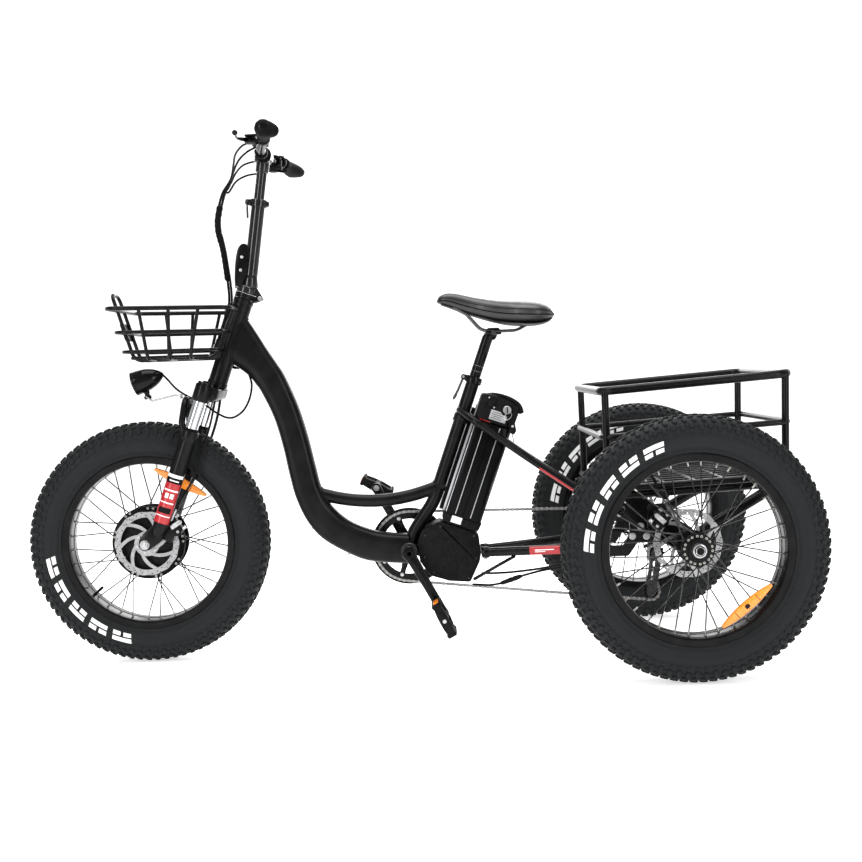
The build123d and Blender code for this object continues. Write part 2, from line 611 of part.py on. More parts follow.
# ---------------------------------------------------------------- saddle and seatpost
side = slab([(90, 876), (100, 888), (121, 897), (170, 889), (220, 880), (295, 873), (350, 864), (370, 848),
             (375, 832), (366, 822), (319, 813), (259, 817), (200, 833), (150, 850), (97, 872)], -110, 110, 0)
plan_pts = [(90, 0), (92, 14), (104, 22), (150, 26), (195, 36), (235, 62), (270, 88), (310, 98), (345, 92),
            (368, 62), (375, 0)]
outline = plan_pts + [(p[0], -p[1]) for p in reversed(plan_pts[1:-1])]
pf = make_face(Polyline(*[(-p[1], p[0]) for p in outline], close=True))
pf = Pos(0, 0, 790) * extrude(pf, 130)
saddle = side & pf
put("saddle", saddle.solids().sort_by(SortBy.VOLUME)[-1])
saddle_s = saddle.solids().sort_by(SortBy.VOLUME)[-1]

seatpost = cyl(st(-90), st(206), SEATPOST_R)
seatpost += cyl(st(200), (0, 226, 797), 14.0) + bar_box(-27, 27, 208, 244, 790, 806)
for s in (1, -1):
    seatpost += straight([(s * 20, 160, 850), (s * 21, 196, 806), (s * 22, 228, 799), (s * 22, 282, 800),
                          (s * 24, 318, 822)], 3.5)
seatpost -= saddle_s
seatpost = seatpost.solids().sort_by(SortBy.VOLUME)[-1]
put("seatpost", seatpost)

seat_clamp = cyl(st(86), st(104), 20.5) - cyl(st(80), st(101.2), SEAT_TUBE_R + 0.1) - cyl(st(80), st(120), SEATPOST_R + 0.05)
SL = st(95, -27)
for s in (1, -1):
    seat_clamp += slab([yz(st(88, -18)), yz(st(102, -18)), yz(st(101, -32)), yz(st(89, -32))],
                       s * 8.8 - 2.4, s * 8.8 + 2.4, 0)
seat_clamp -= cyl(st(80), st(101.2), SEAT_TUBE_R + 0.1)
seat_clamp += disc(-11, 11, SL[1], SL[2], 3.0)
seat_clamp = seat_clamp.solids().sort_by(SortBy.VOLUME)[-1]
put("seat_clamp", seat_clamp)
seat_lever = disc(-6.2, 6.2, SL[1], SL[2], 5.5)
seat_lever += slab([(SL[1] - 5, SL[2] + 2), (SL[1] + 3, SL[2] - 3), (SL[1] - 20.5, SL[2] - 55),
                    (SL[1] - 28.5, SL[2] - 51)], -6.2, 6.2, 0)
seat_lever -= disc(-20, 20, SL[1], SL[2], 3.06)
seat_lever = seat_lever.solids().sort_by(SortBy.VOLUME)[-1]
put("seat_lever", seat_lever)

# ---------------------------------------------------------------- cranks, chainring, pedals
ca = radians(CRANK_ANG)
cd = (sin(ca), -cos(ca))


def arm(s):
    d = (cd[0] * s, cd[1] * s)
    e = (BB[0] + d[0] * CRANK, BB[1] + d[1] * CRANK)
    q = (-d[1], d[0])
    pts = [(BB[0] + q[0] * 14, BB[1] + q[1] * 14), (e[0] + q[0] * 11, e[1] + q[1] * 11),
           (e[0] - q[0] * 11, e[1] - q[1] * 11), (BB[0] - q[0] * 14, BB[1] - q[1] * 14)]
    x0, x1 = (70.0, 84.0) if s > 0 else (-84.0, -70.0)
    a = slab(pts, x0, x1) + disc(x0, x1, BB[0], BB[1], 18.0) + disc(x0, x1, e[0], e[1], 13.0)
    xa, xb = (84.0, 186.0) if s > 0 else (-186.0, -84.0)
    a += disc(xa, xb, e[0], e[1], 5.0)
    return a, e


arm_l, PED_L = arm(1)
arm_r, PED_R = arm(-1)
crankset = disc(-84, 84, BB[0], BB[1], 10.0) + disc(37.5, 70, BB[0], BB[1], 14) + arm_l + arm_r
put("crankset", crankset)

ring = disc(-57.5, -54.5, BB[0], BB[1], 84.0) - disc(-70, -40, BB[0], BB[1], 68.0)
guard = disc(-66.0, -61.5, BB[0], BB[1], 98.0) - disc(-70, -40, BB[0], BB[1], 76.0)
chainring = ring + guard + (disc(-69.8, -54.5, BB[0], BB[1], 20.0) - disc(-90, -40, BB[0], BB[1], 10.0))
for i in range(5):
    a = radians(90 + 72 * i + 20)
    d = (cos(a), sin(a))
    q = (-d[1], d[0])
    pts = [(BB[0] + d[0] * 15 + q[0] * 12, BB[1] + d[1] * 15 + q[1] * 12),
           (BB[0] + d[0] * 80 + q[0] * 7, BB[1] + d[1] * 80 + q[1] * 7),
           (BB[0] + d[0] * 80 - q[0] * 7, BB[1] + d[1] * 80 - q[1] * 7),
           (BB[0] + d[0] * 15 - q[0] * 12, BB[1] + d[1] * 15 - q[1] * 12)]
    chainring += slab(pts, -62.0, -56.0)
chainring -= disc(-90, -40, BB[0], BB[1], 10.0)
chainring = chainring.solids().sort_by(SortBy.VOLUME)[-1]
put("chainring", chainring)


def pedal(s, e, ang):
    """ang: direction of the platform's long axis, degrees from +Y towards +Z."""
    a = radians(ang)
    d, q = (cos(a), sin(a)), (-sin(a), cos(a))

    def P(l, h):
        return (e[0] + d[0] * l + q[0] * h, e[1] + d[1] * l + q[1] * h)
    x0, x1 = (88.0, 184.0) if s > 0 else (-184.0, -88.0)
    body = slab([P(-44, -12), P(44, -12), P(44, 12), P(-44, 12)], x0, x1, 4)
    for l0, l1 in ((-36, -13), (13, 36)):
        body -= slab([P(l0, -20), P(l1, -20), P(l1, 20), P(l0, 20)], x0 + 12, x1 - 12, 3)
    body -= disc(x0 - 2, x1 + 3, e[0], e[1], 5.06)
    return body


put("pedal_left", pedal(1, PED_L, -63))
put("pedal_right", pedal(-1, PED_R, -27))

# ---------------------------------------------------------------- wheels
def tyre_at(x, y):
    outer = [Line((-36, 204), (36, 204)), Line((36, 204), (36, 217)),
             ThreePointArc((36, 217), (TYRE_HALF_W, 250), (37, 290)),
             ThreePointArc((37, 290), (0, TYRE_R), (-37, 290)),
             ThreePointArc((-37, 290), (-TYRE_HALF_W, 250), (-36, 217)), Line((-36, 217), (-36, 204))]
    innr = [Line((-30, 200), (30, 200)), Line((30, 200), (30, 219)),
            ThreePointArc((30, 219), (45.5, 250), (34, 286)),
            ThreePointArc((34, 286), (0, 294), (-34, 286)),
            ThreePointArc((-34, 286), (-45.5, 250), (-30, 219)), Line((-30, 219), (-30, 200))]
    f = make_face(outer) - make_face(innr)
    return Pos(x, y, AXLE_Z) * revolve(f, axis=Axis.X)


def rim_at(x, y):
    f = make_face(Polyline((-RIM_HALF_W, RIM_R_IN), (RIM_HALF_W, RIM_R_IN), (RIM_HALF_W, RIM_R_OUT),
                           (36.2, RIM_R_OUT), (36.2, 203), (-36.2, 203), (-36.2, RIM_R_OUT),
                           (-RIM_HALF_W, RIM_R_OUT), close=True))
    return Pos(x, y, AXLE_Z) * revolve(f, axis=Axis.X)


def spokes_at(x, y, r_hub, half):
    out = []
    for i in range(18):
        a = 2 * pi * i / 18
        s = 1 if i % 2 else -1
        p0 = (x + s * half, y + r_hub * cos(a), AXLE_Z + r_hub * sin(a))
        p1 = (x + s * 8, y + (RIM_R_IN - 0.9) * cos(a), AXLE_Z + (RIM_R_IN - 0.9) * sin(a))
        out.append(cyl(p0, p1, 1.6))
    return out


def rotor_at(x, y, r_in):
    r = disc(x - 1, x + 1, y, AXLE_Z, ROTOR_R) - disc(x - 2, x + 2, y, AXLE_Z, 66.0)
    hubd = disc(x - 1, x + 1, y, AXLE_Z, 30.0) - disc(x - 2, x + 2, y, AXLE_Z, r_in)
    r += hubd
    for i in range(8):
        a = 2 * pi * i / 8
        b = a + 0.5
        p0 = (y + 26 * cos(a), AXLE_Z + 26 * sin(a))
        p1 = (y + 70 * cos(b), AXLE_Z + 70 * sin(b))
        L = sqrt((p1[0] - p0[0]) ** 2 + (p1[1] - p0[1]) ** 2)
        q = (-(p1[1] - p0[1]) / L * 4, (p1[0] - p0[0]) / L * 4)
        r += slab([(p0[0] + q[0], p0[1] + q[1]), (p1[0] + q[0], p1[1] + q[1]), (p1[0] - q[0], p1[1] - q[1]),
                   (p0[0] - q[0], p0[1] - q[1])], x - 1, x + 1)
    return r.solids().sort_by(SortBy.VOLUME)[-1]


put("front_tyre", tyre_at(0, FW_Y))
put("front_rim", rim_at(0, FW_Y))
motor = disc(-36, 36, FW_Y, AXLE_Z, 84.0)
motor += disc(-36, -30, FW_Y, AXLE_Z, 90.0) + disc(30, 36, FW_Y, AXLE_Z, 90.0)
motor += disc(36, 50.9, FW_Y, AXLE_Z, 30.0) + disc(-48, -36, FW_Y, AXLE_Z, 30.0)
for sp in spokes_at(0, FW_Y, 82.0, 32.0):
    motor += sp
motor -= disc(-100, 100, FW_Y, AXLE_Z, 6.06)
put("hub_motor", motor.solids().sort_by(SortBy.VOLUME)[-1])
put("front_rotor", rotor_at(ROT_X, FW_Y, 12.0))

for name, s in (("left", 1), ("right", -1)):
    xc = s * HALF_TRACK
    put(name + "_tyre", tyre_at(xc, RW_Y))
    put(name + "_rim", rim_at(xc, RW_Y))
    x_in = 13.0 if s > 0 else -42.0
    hub = cyl((x_in, RW_Y, AXLE_Z), (s * HALF_WIDTH, RW_Y, AXLE_Z), SHAFT_R)
    hub += cyl((s * 318, RW_Y, AXLE_Z), (s * 424, RW_Y, AXLE_Z), 24.0)
    hub += cyl((s * 350, RW_Y, AXLE_Z), (s * 356, RW_Y, AXLE_Z), 37.0)
    hub += cyl((s * 411, RW_Y, AXLE_Z), (s * 417, RW_Y, AXLE_Z), 37.0)
    hub += cyl((s * 303, RW_Y, AXLE_Z), (s * 318, RW_Y, AXLE_Z), 24.0)
    hub += cyl((s * 424, RW_Y, AXLE_Z), (s * 436, RW_Y, AXLE_Z), 15.0)
    for sp in spokes_at(xc, RW_Y, 30.0, 30.0):
        hub += sp
    hub = hub.solids().sort_by(SortBy.VOLUME)[-1]
    put(name + "_hub", hub)
    put(name + "_rotor", rotor_at(s * 302.0, RW_Y, 12.02))

# rear calipers, on the outer plates
cals = []
for s in (1, -1):
    c = slab([(566, 330), (604, 352), (596, 376), (556, 352)], 284, 314, 3)
    c -= disc(302 - 1.8, 302 + 1.8, RW_Y, AXLE_Z, ROTOR_R + 2)
    c += slab([(572, 340), (600, 356), (590, 374), (562, 356)], 258.2, 290, 2)
    c = c.solids().sort_by(SortBy.VOLUME)[-1]
    cals.append(c if s > 0 else mirror_x(c))
put("rear_calipers", solids(*cals))

# ---------------------------------------------------------------- cassette with differential, derailleur, chain
cass = disc(-45, 12.5, RW_Y, AXLE_Z, 36.0) + disc(-84, -40, RW_Y, AXLE_Z, 20.0)
for x, r in ((-46.5, 55.0), (-51.0, 44.5), (-56.0, 40.2), (-61.0, 36.4), (-66.0, 32.0), (-71.0, 28.5), (-76.0, 25.0)):
    cass += disc(x - 0.9, x + 0.9, RW_Y, AXLE_Z, r)
cass -= disc(-100, 30, RW_Y, AXLE_Z, SHAFT_R + RUN)
put("cassette", cass.solids().sort_by(SortBy.VOLUME)[-1])

GP, TP = (634.0, 226.0), (618.0, 128.0)     # guide and tension pulley centres
hang = slab([(616, 282), (646, 282), (650, 250), (642, 216), (626, 216), (618, 244)], -94, -86, 3)
hang += bar_box(-108, -88, 618, 640, 266, 284)
hang += disc(-90, -49, GP[0], GP[1], 4.0) + disc(-86, -66, GP[0], GP[1], 9.0)
hang -= house_r
put("derailleur_body", hang.solids().sort_by(SortBy.VOLUME)[-1])
cage = None
for x0 in (-64.5, -50.5):
    p = slab([(GP[0] - 10, GP[1] + 2), (GP[0] + 10, GP[1] + 2), (TP[0] + 11, TP[1] - 4), (TP[0] - 9, TP[1] - 6)],
             x0, x0 + 2.5, 0)
    p += disc(x0, x0 + 2.5, GP[0], GP[1], 14) + disc(x0, x0 + 2.5, TP[0], TP[1], 14)
    cage = p if cage is None else cage + p
for c in (GP, TP):
    cage += disc(-62.5, -50, c[0], c[1], 8.0) + disc(-57.5, -54.5, c[0], c[1], 17.6)
cage -= disc(-100, -30, GP[0], GP[1], 4.06)
cage = cage.solids().sort_by(SortBy.VOLUME)[-1]
put("derailleur_cage", cage)

# the chain's loop: (centre, signed pitch radius), in the order it travels
loop = [((BB[0], BB[1]), RING_PITCH_R), (TP, PULLEY_R), (GP, -PULLEY_R), ((RW_Y, AXLE_Z), COG_PITCH_R)]
tang = []
for (A, ra), (B, rb) in zip(loop, loop[1:] + loop[:1]):
    dx, dz = B[0] - A[0], B[1] - A[1]
    D = sqrt(dx * dx + dz * dz)
    th = atan2(dz, dx) - asin((rb - ra) / D)
    left = (-sin(th), cos(th))
    tang.append(((A[0] - ra * left[0], A[1] - ra * left[1]), (B[0] - rb * left[0], B[1] - rb * left[1]), th))
chain = None
W, H = 6.4, 7.8


def piece(shape):
    global chain
    chain = shape if chain is None else chain + shape


for p, q, th in tang:
    n = (-sin(th) * H / 2, cos(th) * H / 2)
    piece(slab([(p[0] + n[0], p[1] + n[1]), (q[0] + n[0], q[1] + n[1]), (q[0] - n[0], q[1] - n[1]),
                (p[0] - n[0], p[1] - n[1])], CHAIN_X - W / 2, CHAIN_X + W / 2))
for i, (C, r) in enumerate(loop):
    th0, th1 = tang[i - 1][2], tang[i][2]
    sgn = 1 if r > 0 else -1
    R = abs(r)
    a0 = th0 - sgn * pi / 2
    a1 = th1 - sgn * pi / 2
    sw = (a1 - a0) * sgn
    while sw < 0:
        sw += 2 * pi
    while sw > 2 * pi:
        sw -= 2 * pi
    n = max(2, int(sw / 0.5) + 1)
    outer, innr = [], []
    fo, fi = (R + H / 2), (R - H / 2)
    pa = lambda rad, t: (C[0] + rad * cos(a0 + sgn * sw * t), C[1] + rad * sin(a0 + sgn * sw * t))
    face = make_face([ThreePointArc(pa(fo, 0), pa(fo, 0.5), pa(fo, 1)), Line(pa(fo, 1), pa(fi, 1)),
                      ThreePointArc(pa(fi, 1), pa(fi, 0.5), pa(fi, 0)), Line(pa(fi, 0), pa(fo, 0))])
    piece(Pos(CHAIN_X - W / 2, 0, 0) * (YZ * extrude(face, W)))
chain = chain.solids().sort_by(SortBy.VOLUME)[-1]
put("chain", chain)

# ---------------------------------------------------------------- write
for name, shape in NODES.items():
    sol = shape.solids()
    out = sol[0] if len(sol) == 1 else Compound(children=list(sol))
    export_step(out, "parts/" + name + ".step")
print(len(NODES), "nodes")
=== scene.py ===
import bpy, bmesh, math, random
import numpy as np
from mathutils import Vector, Matrix
from mathutils.geometry import tessellate_polygon


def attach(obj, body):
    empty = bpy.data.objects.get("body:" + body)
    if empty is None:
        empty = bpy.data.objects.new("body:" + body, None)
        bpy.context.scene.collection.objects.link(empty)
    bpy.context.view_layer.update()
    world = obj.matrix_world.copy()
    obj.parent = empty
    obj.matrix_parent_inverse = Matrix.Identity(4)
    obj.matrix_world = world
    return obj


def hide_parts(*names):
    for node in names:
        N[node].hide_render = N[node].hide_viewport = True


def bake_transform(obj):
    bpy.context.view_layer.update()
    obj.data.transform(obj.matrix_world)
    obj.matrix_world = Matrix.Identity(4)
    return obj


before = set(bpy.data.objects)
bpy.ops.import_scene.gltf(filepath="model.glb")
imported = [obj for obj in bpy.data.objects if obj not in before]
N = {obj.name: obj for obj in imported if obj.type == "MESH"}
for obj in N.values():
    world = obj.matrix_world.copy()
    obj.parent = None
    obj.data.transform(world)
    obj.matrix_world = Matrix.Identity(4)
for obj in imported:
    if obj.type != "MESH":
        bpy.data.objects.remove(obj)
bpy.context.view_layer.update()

random.seed(11)
pi = math.pi
cos, sin, rad = math.cos, math.sin, math.radians

# ------------------------------------------------------------------ the part's own dimensions (mm)
HT = (-393.0, 890.0)
AX, NX = (-0.33381, -0.94264), (-0.94264, 0.33381)
PL, PD = (-377.0, 921.0), (0.14142, 0.98995)
SO, SU, SV = (143.0, 592.0), (0.336, 0.94186), (0.94186, -0.336)
FW = (-643.4, 300.0)
RW = (643.4, 300.0)
HTR = 383.6
BB = (3.0, 261.0)


def ax(t, n=0.0, x=0.0):
    return (x, HT[0] + AX[0] * t + NX[0] * n, HT[1] + AX[1] * t + NX[1] * n)


def po(t, n=0.0, x=0.0):
    return (x, PL[0] + PD[0] * t + PD[1] * n, PL[1] + PD[1] * t - PD[0] * n)


def st(u, v=0.0, x=0.0):
    return (x, SO[0] + SU[0] * u + SV[0] * v, SO[1] + SU[1] * u + SV[1] * v)


def yz(p):
    return (p[1], p[2])


# ------------------------------------------------------------------ mesh helpers
def arr(p):
    return np.asarray(p, float)


def unit(v):
    v = arr(v)
    return v / (np.linalg.norm(v) or 1.0)


def perp(d):
    d = unit(d)
    a = arr((1.0, 0, 0)) if abs(d[0]) < 0.9 else arr((0, 1.0, 0))
    u = unit(np.cross(d, a))
    return u, np.cross(d, u)


def lerp(a, b, f):
    return tuple(a[i] + (b[i] - a[i]) * f for i in range(len(a)))


def catmull(pts, k=6, closed=False):
    P = [arr(p) for p in pts]
    n = len(P)
    out = []
    segs = n if closed else n - 1
    for i in range(segs):
        if closed:
            p0, p1, p2, p3 = P[i - 1], P[i], P[(i + 1) % n], P[(i + 2) % n]
        else:
            p1, p2 = P[i], P[i + 1]
            p0 = P[i - 1] if i > 0 else p1 * 2 - p2
            p3 = P[i + 2] if i + 2 < n else p2 * 2 - p1
        for j in range(k):
            t = j / k
            out.append(0.5 * ((2 * p1) + (-p0 + p2) * t + (2 * p0 - 5 * p1 + 4 * p2 - p3) * t * t
                              + (-p0 + 3 * p1 - 3 * p2 + p3) * t ** 3))
    if not closed:
        out.append(P[-1])
    return out


def fillet(pts, radii, k=8, step=None):
    """Straight runs joined by arcs, as points."""
    P = [arr(p) for p in pts]
    m = len(P) - 2
    R = list(radii) if hasattr(radii, "__len__") else [radii]
    if len(R) < m:
        R = R + [R[-1]] * (m - len(R))
    out = [P[0]]
    for i in range(1, len(P) - 1):
        a, b = unit(P[i - 1] - P[i]), unit(P[i + 1] - P[i])
        c = float(np.clip(np.dot(a, b), -1, 1))
        half = math.acos(c) / 2
        r = R[i - 1]
        d = r / math.tan(half) if half > 1e-4 else 0
        p0, p1 = P[i] + a * d, P[i] + b * d
        mid = unit(a + b)
        C = P[i] + mid * (r / math.sin(half))
        v0, v1 = p0 - C, p1 - C
        ang = math.acos(float(np.clip(np.dot(unit(v0), unit(v1)), -1, 1)))
        for j in range(k + 1):
            t = j / k
            if ang < 1e-5:
                out.append(P[i])
                break
            out.append(C + (v0 * math.sin((1 - t) * ang) + v1 * math.sin(t * ang)) / math.sin(ang))
    out.append(P[-1])
    if step:
        res = [out[0]]
        for a, b in zip(out, out[1:]):
            L = np.linalg.norm(b - a)
            q = max(1, int(L / step))
            for j in range(1, q + 1):
                res.append(a + (b - a) * j / q)
        out = res
    clean = [out[0]]
    for p in out[1:]:
        if np.linalg.norm(p - clean[-1]) > 1e-3:
            clean.append(p)
    return clean


def roundpoly(poly, r, k=4):
    """Closed 2-D outline with its corners rounded; r is one radius or one per corner."""
    P = [arr(p) for p in poly]
    n = len(P)
    out = []
    for i in range(n):
        ri = r[i] if hasattr(r, "__len__") else r
        a, b = P[i - 1] - P[i], P[(i + 1) % n] - P[i]
        la, lb = np.linalg.norm(a), np.linalg.norm(b)
        a, b = a / la, b / lb
        half = math.acos(float(np.clip(np.dot(a, b), -1, 1))) / 2
        if ri <= 0 or half > pi / 2 - 0.02:
            out.append(tuple(P[i]))
            continue
        d = min(ri / math.tan(half), la * 0.48, lb * 0.48)
        p0, p1 = P[i] + a * d, P[i] + b * d
        for j in range(k + 1):
            t = j / k
            out.append(tuple((1 - t) ** 2 * p0 + 2 * t * (1 - t) * P[i] + t * t * p1))
    return out


def area2(poly):
    return sum(poly[i - 1][0] * poly[i][1] - poly[i][0] * poly[i - 1][1] for i in range(len(poly))) / 2


def inset(poly, d):
    P = [arr(p) for p in poly]
    s = 1 if area2(poly) > 0 else -1
    n = len(P)
    out = []
    for i in range(n):
        a, b = unit(P[i] - P[i - 1]), unit(P[(i + 1) % n] - P[i])
        na, nb = arr((-a[1], a[0])) * s, arr((-b[1], b[0])) * s
        m = na + nb
        L = np.dot(m, m)
        m = na if L < 1e-6 else m * (2.0 / L)
        if np.linalg.norm(m) > 3:
            m = unit(m) * 3
        out.append(tuple(P[i] + m * d))
    return out


class Geo:
    def __init__(s):
        s.v, s.f, s.m = [], [], []

    def add(s, verts, faces, mat=0):
        o = len(s.v)
        s.v += [tuple(float(c) for c in p) for p in verts]
        s.f += [tuple(i + o for i in f) for f in faces]
        s.m += [mat] * len(faces)

    def loft(s, rings, mat=0, cap0=True, cap1=True, closed=False):
        n = len(rings[0])
        verts = [p for r in rings for p in r]
        faces = []
        m = len(rings)
        for i in range(m if closed else m - 1):
            j = (i + 1) % m
            for k in range(n):
                q = (k + 1) % n
                faces.append((i * n + k, i * n + q, j * n + q, j * n + k))
        if not closed and cap0:
            faces.append(tuple(range(n - 1, -1, -1)))
        if not closed and cap1:
            faces.append(tuple((m - 1) * n + k for k in range(n)))
        s.add(verts, faces, mat)

    def tube(s, pts, r, n=12, mat=0, cap="flat", closed=False, sx=1.0, sy=1.0, up=None):
        P = [arr(p) for p in pts]
        rs = [float(r)] * len(P) if not hasattr(r, "__len__") else list(r)
        if cap == "round" and not closed:
            t0, t1 = unit(P[0] - P[1]), unit(P[-1] - P[-2])
            a = [rad(x) for x in (8, 35, 62)]
            P = [P[0] + t0 * rs[0] * cos(x) for x in a] + P + [P[-1] + t1 * rs[-1] * cos(x) for x in reversed(a)]
            rs = [rs[0] * sin(x) for x in a] + rs + [rs[-1] * sin(x) for x in reversed(a)]
        elif cap == "bevel" and not closed:
            b = min(rs[0], rs[-1]) * 0.18
            t0, t1 = unit(P[0] - P[1]), unit(P[-1] - P[-2])
            P = [P[0], P[0] - t0 * b] + P[1:-1] + [P[-1] - t1 * b, P[-1]]
            rs = [rs[0] - b, rs[0]] + rs[1:-1] + [rs[-1], rs[-1] - b]
        m = len(P)
        u = None
        rings = []
        for i in range(m):
            d = unit(P[(i + 1) % m] - P[i - 1]) if closed else unit(P[min(i + 1, m - 1)] - P[max(i - 1, 0)])
            if u is None:
                u = unit(arr(up)) if up is not None else perp(d)[0]
            if up is not None:
                u = unit(arr(up))
            u = unit(u - d * np.dot(u, d))
            w = np.cross(d, u)
            rings.append([P[i] + rs[i] * (cos(2 * pi * k / n) * u * sx + sin(2 * pi * k / n) * w * sy) for k in range(n)])
        s.loft(rings, mat, closed=closed)

    def cyl(s, a, b, r, n=24, mat=0, cap="bevel", r2=None):
        s.tube([a, b], [r, r if r2 is None else r2], n, mat, cap)

    def lathe(s, prof, o, d, n=48, mat=0, closed=False, a0=0.0, u=None):
        """prof: (t along d, radius) rows. A radius of 0 closes the end."""
        o, d = arr(o), unit(d)
        if u is None:
            u, w = perp(d)
        else:
            u = unit(u)
            w = np.cross(d, u)
        verts, idx = [], []
        for t, r in prof:
            if r <= 1e-6:
                idx.append([len(verts)] * n)
                verts.append(o + d * t)
            else:
                b = len(verts)
                idx.append([b + k for k in range(n)])
                verts += [o + d * t + r * (cos(a0 + 2 * pi * k / n) * u + sin(a0 + 2 * pi * k / n) * w)
                          for k in range(n)]
        faces = []
        m = len(prof)
        for i in range(m if closed else m - 1):
            A, B = idx[i], idx[(i + 1) % m]
            for k in range(n):
                q = (k + 1) % n
                f = []
                for x in (A[k], A[q], B[q], B[k]):
                    if x not in f:
                        f.append(x)
                if len(f) > 2:
                    faces.append(tuple(f))
        if not closed:
            for row, rev in ((idx[0], True), (idx[-1], False)):
                if row[0] != row[1]:
                    faces.append(tuple(reversed(row)) if rev else tuple(row))
        s.add(verts, faces, mat)

    def prism(s, poly, x0, x1, mat=0, bevel=1.0, to=None):
        """An outline in Y-Z between x0 and x1 with bevelled rims; to maps (x, a, b) to a point."""
        to = to or (lambda x, a, b: (x, a, b))
        b = min(bevel, (x1 - x0) * 0.45)
        if b > 0:
            inn = inset(poly, b)
            inn2 = inset(poly, b * 0.3)
            rows = [(x0, inn), (x0 + b * 0.3, inn2), (x0 + b, poly), (x1 - b, poly), (x1 - b * 0.3, inn2), (x1, inn)]
        else:
            rows = [(x0, poly), (x1, poly)]
        s.loft([[to(x, p[0], p[1]) for p in row] for x, row in rows], mat)

    def plate(s, loops, x0, x1, mat=0, to=None):
        """A flat plate with holes. The first loop is the outline."""
        to = to or (lambda x, a, b: (x, a, b))
        tris = tessellate_polygon([[Vector((p[0], p[1], 0)) for p in lp] for lp in loops])
        flat = [p for lp in loops for p in lp]
        n = len(flat)
        verts = [to(x0, p[0], p[1]) for p in flat] + [to(x1, p[0], p[1]) for p in flat]
        faces = [tuple(t) for t in tris] + [tuple(n + i for i in reversed(t)) for t in tris]
        base = 0
        for lp in loops:
            k = len(lp)
            for i in range(k):
                j = (i + 1) % k
                faces.append((base + i, base + j, n + base + j, n + base + i))
            base += k
        s.add(verts, faces, mat)

    def box(s, c, size, r=1.5, mat=0, axes=None, k=3):
        """A rounded box: centre, full sizes, in its own axes."""
        ex = axes or ((1, 0, 0), (0, 1, 0), (0, 0, 1))
        ex = [unit(e) for e in ex]
        c = arr(c)
        hx, hy, hz = size[0] / 2, size[1] / 2, size[2] / 2
        r = min(r, hx * 0.9, hy * 0.9, hz * 0.9)
        out = roundpoly([(-hy, -hz), (hy, -hz), (hy, hz), (-hy, hz)], r, k)
        s.prism(out, -hx, hx, mat, r * 0.7, to=lambda x, a, b: tuple(c + ex[0] * x + ex[1] * a + ex[2] * b))

    def bolt(s, o, d, r=4.0, h=3.5, mat=0, kind="cap", hole=None):
        """A cap screw with a hex socket, or a hex head, standing on o and facing d."""
        o, d = arr(o), unit(d)
        hole = mat if hole is None else hole
        if kind == "cap":
            s.lathe([(-1.0, r * 0.97), (0, r), (h * 0.8, r), (h, r * 0.88), (h, r * 0.55), (h * 0.45, r * 0.5),
                     (h * 0.45, 0)], o, d, 24, mat)
        elif kind == "hex":
            s.lathe([(-1.0, r), (h * 0.85, r), (h, r * 0.86), (h, 0)], o, d, 6, mat)
        else:
            s.lathe([(-1.0, r), (0.0, r), (h * 0.55, r * 0.93), (h * 0.9, r * 0.6), (h, 0.0)], o, d, 24, mat)
            u, w = perp(d)
            for a, b in ((u, w), (w, u)):
                s.box(o + d * (h * 0.98), (0.6, r * 1.1, r * 0.22), 0.1, hole, axes=(d, a, b), k=1)

    def bead(s, o, d, R, r=2.2, n=84, mat=0, ry=1.0, waves=28, u=None, tilt=0.0):
        """A rippled weld bead round a tube of radius R."""
        o, d = arr(o), unit(d)
        u0, w0 = perp(d) if u is None else (unit(u), np.cross(unit(d), unit(u)))
        pts, rs = [], []
        for k in range(n):
            a = 2 * pi * k / n
            pts.append(o + R * (cos(a) * u0 + ry * sin(a) * w0) + d * (tilt * cos(a) + 0.5 * sin(a * waves)))
            rs.append(r * (1.0 + 0.13 * cos(a * waves)))
        s.tube(pts, rs, 8, mat, closed=True)

    def build(s, name, body, mats, replaces=(), slot=None, angle=38, keep=False, merge=False):
        me = bpy.data.meshes.new(name)
        me.from_pydata([(x * 0.001, y * 0.001, z * 0.001) for x, y, z in s.v], [], s.f)
        for m in (mats if isinstance(mats, (list, tuple)) else [mats]):
            me.materials.append(m)
        me.polygons.foreach_set("material_index", s.m)
        bm = bmesh.new()
        bm.from_mesh(me)
        if merge:
            bmesh.ops.remove_doubles(bm, verts=bm.verts, dist=1e-6)
        bmesh.ops.recalc_face_normals(bm, faces=bm.faces)
        bm.to_mesh(me)
        bm.free()
        me.polygons.foreach_set("use_smooth", [True] * len(me.polygons))
        me.set_sharp_from_angle(angle=rad(angle))
        me.update()
        ob = bpy.data.objects.new(name, me)
        bpy.context.scene.collection.objects.link(ob)
        if not keep:
            done(ob, body, replaces)
        return ob


def done(ob, body, replaces=()):
    if isinstance(body, tuple):
        a, b, s0, s1 = body
        tuple(c * 0.001 for c in s0)
        tuple(c * 0.001 for c in s1)
        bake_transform(ob)
    else:
        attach(ob, body)
    if replaces:
        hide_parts(*([replaces] if isinstance(replaces, str) else replaces))
    return ob


# ------------------------------------------------------------------ materials
def nodes_of(name):
    m = bpy.data.materials.new(name)
    m.use_nodes = True
    nt = m.node_tree
    nt.nodes.clear()
    out = nt.nodes.new("ShaderNodeOutputMaterial")
    b = nt.nodes.new("ShaderNodeBsdfPrincipled")
    nt.links.new(b.outputs["BSDF"], out.inputs["Surface"])
    return m, nt, b


def link(nt, a, ao, b, bi):
    nt.links.new(a.outputs[ao], b.inputs[bi])


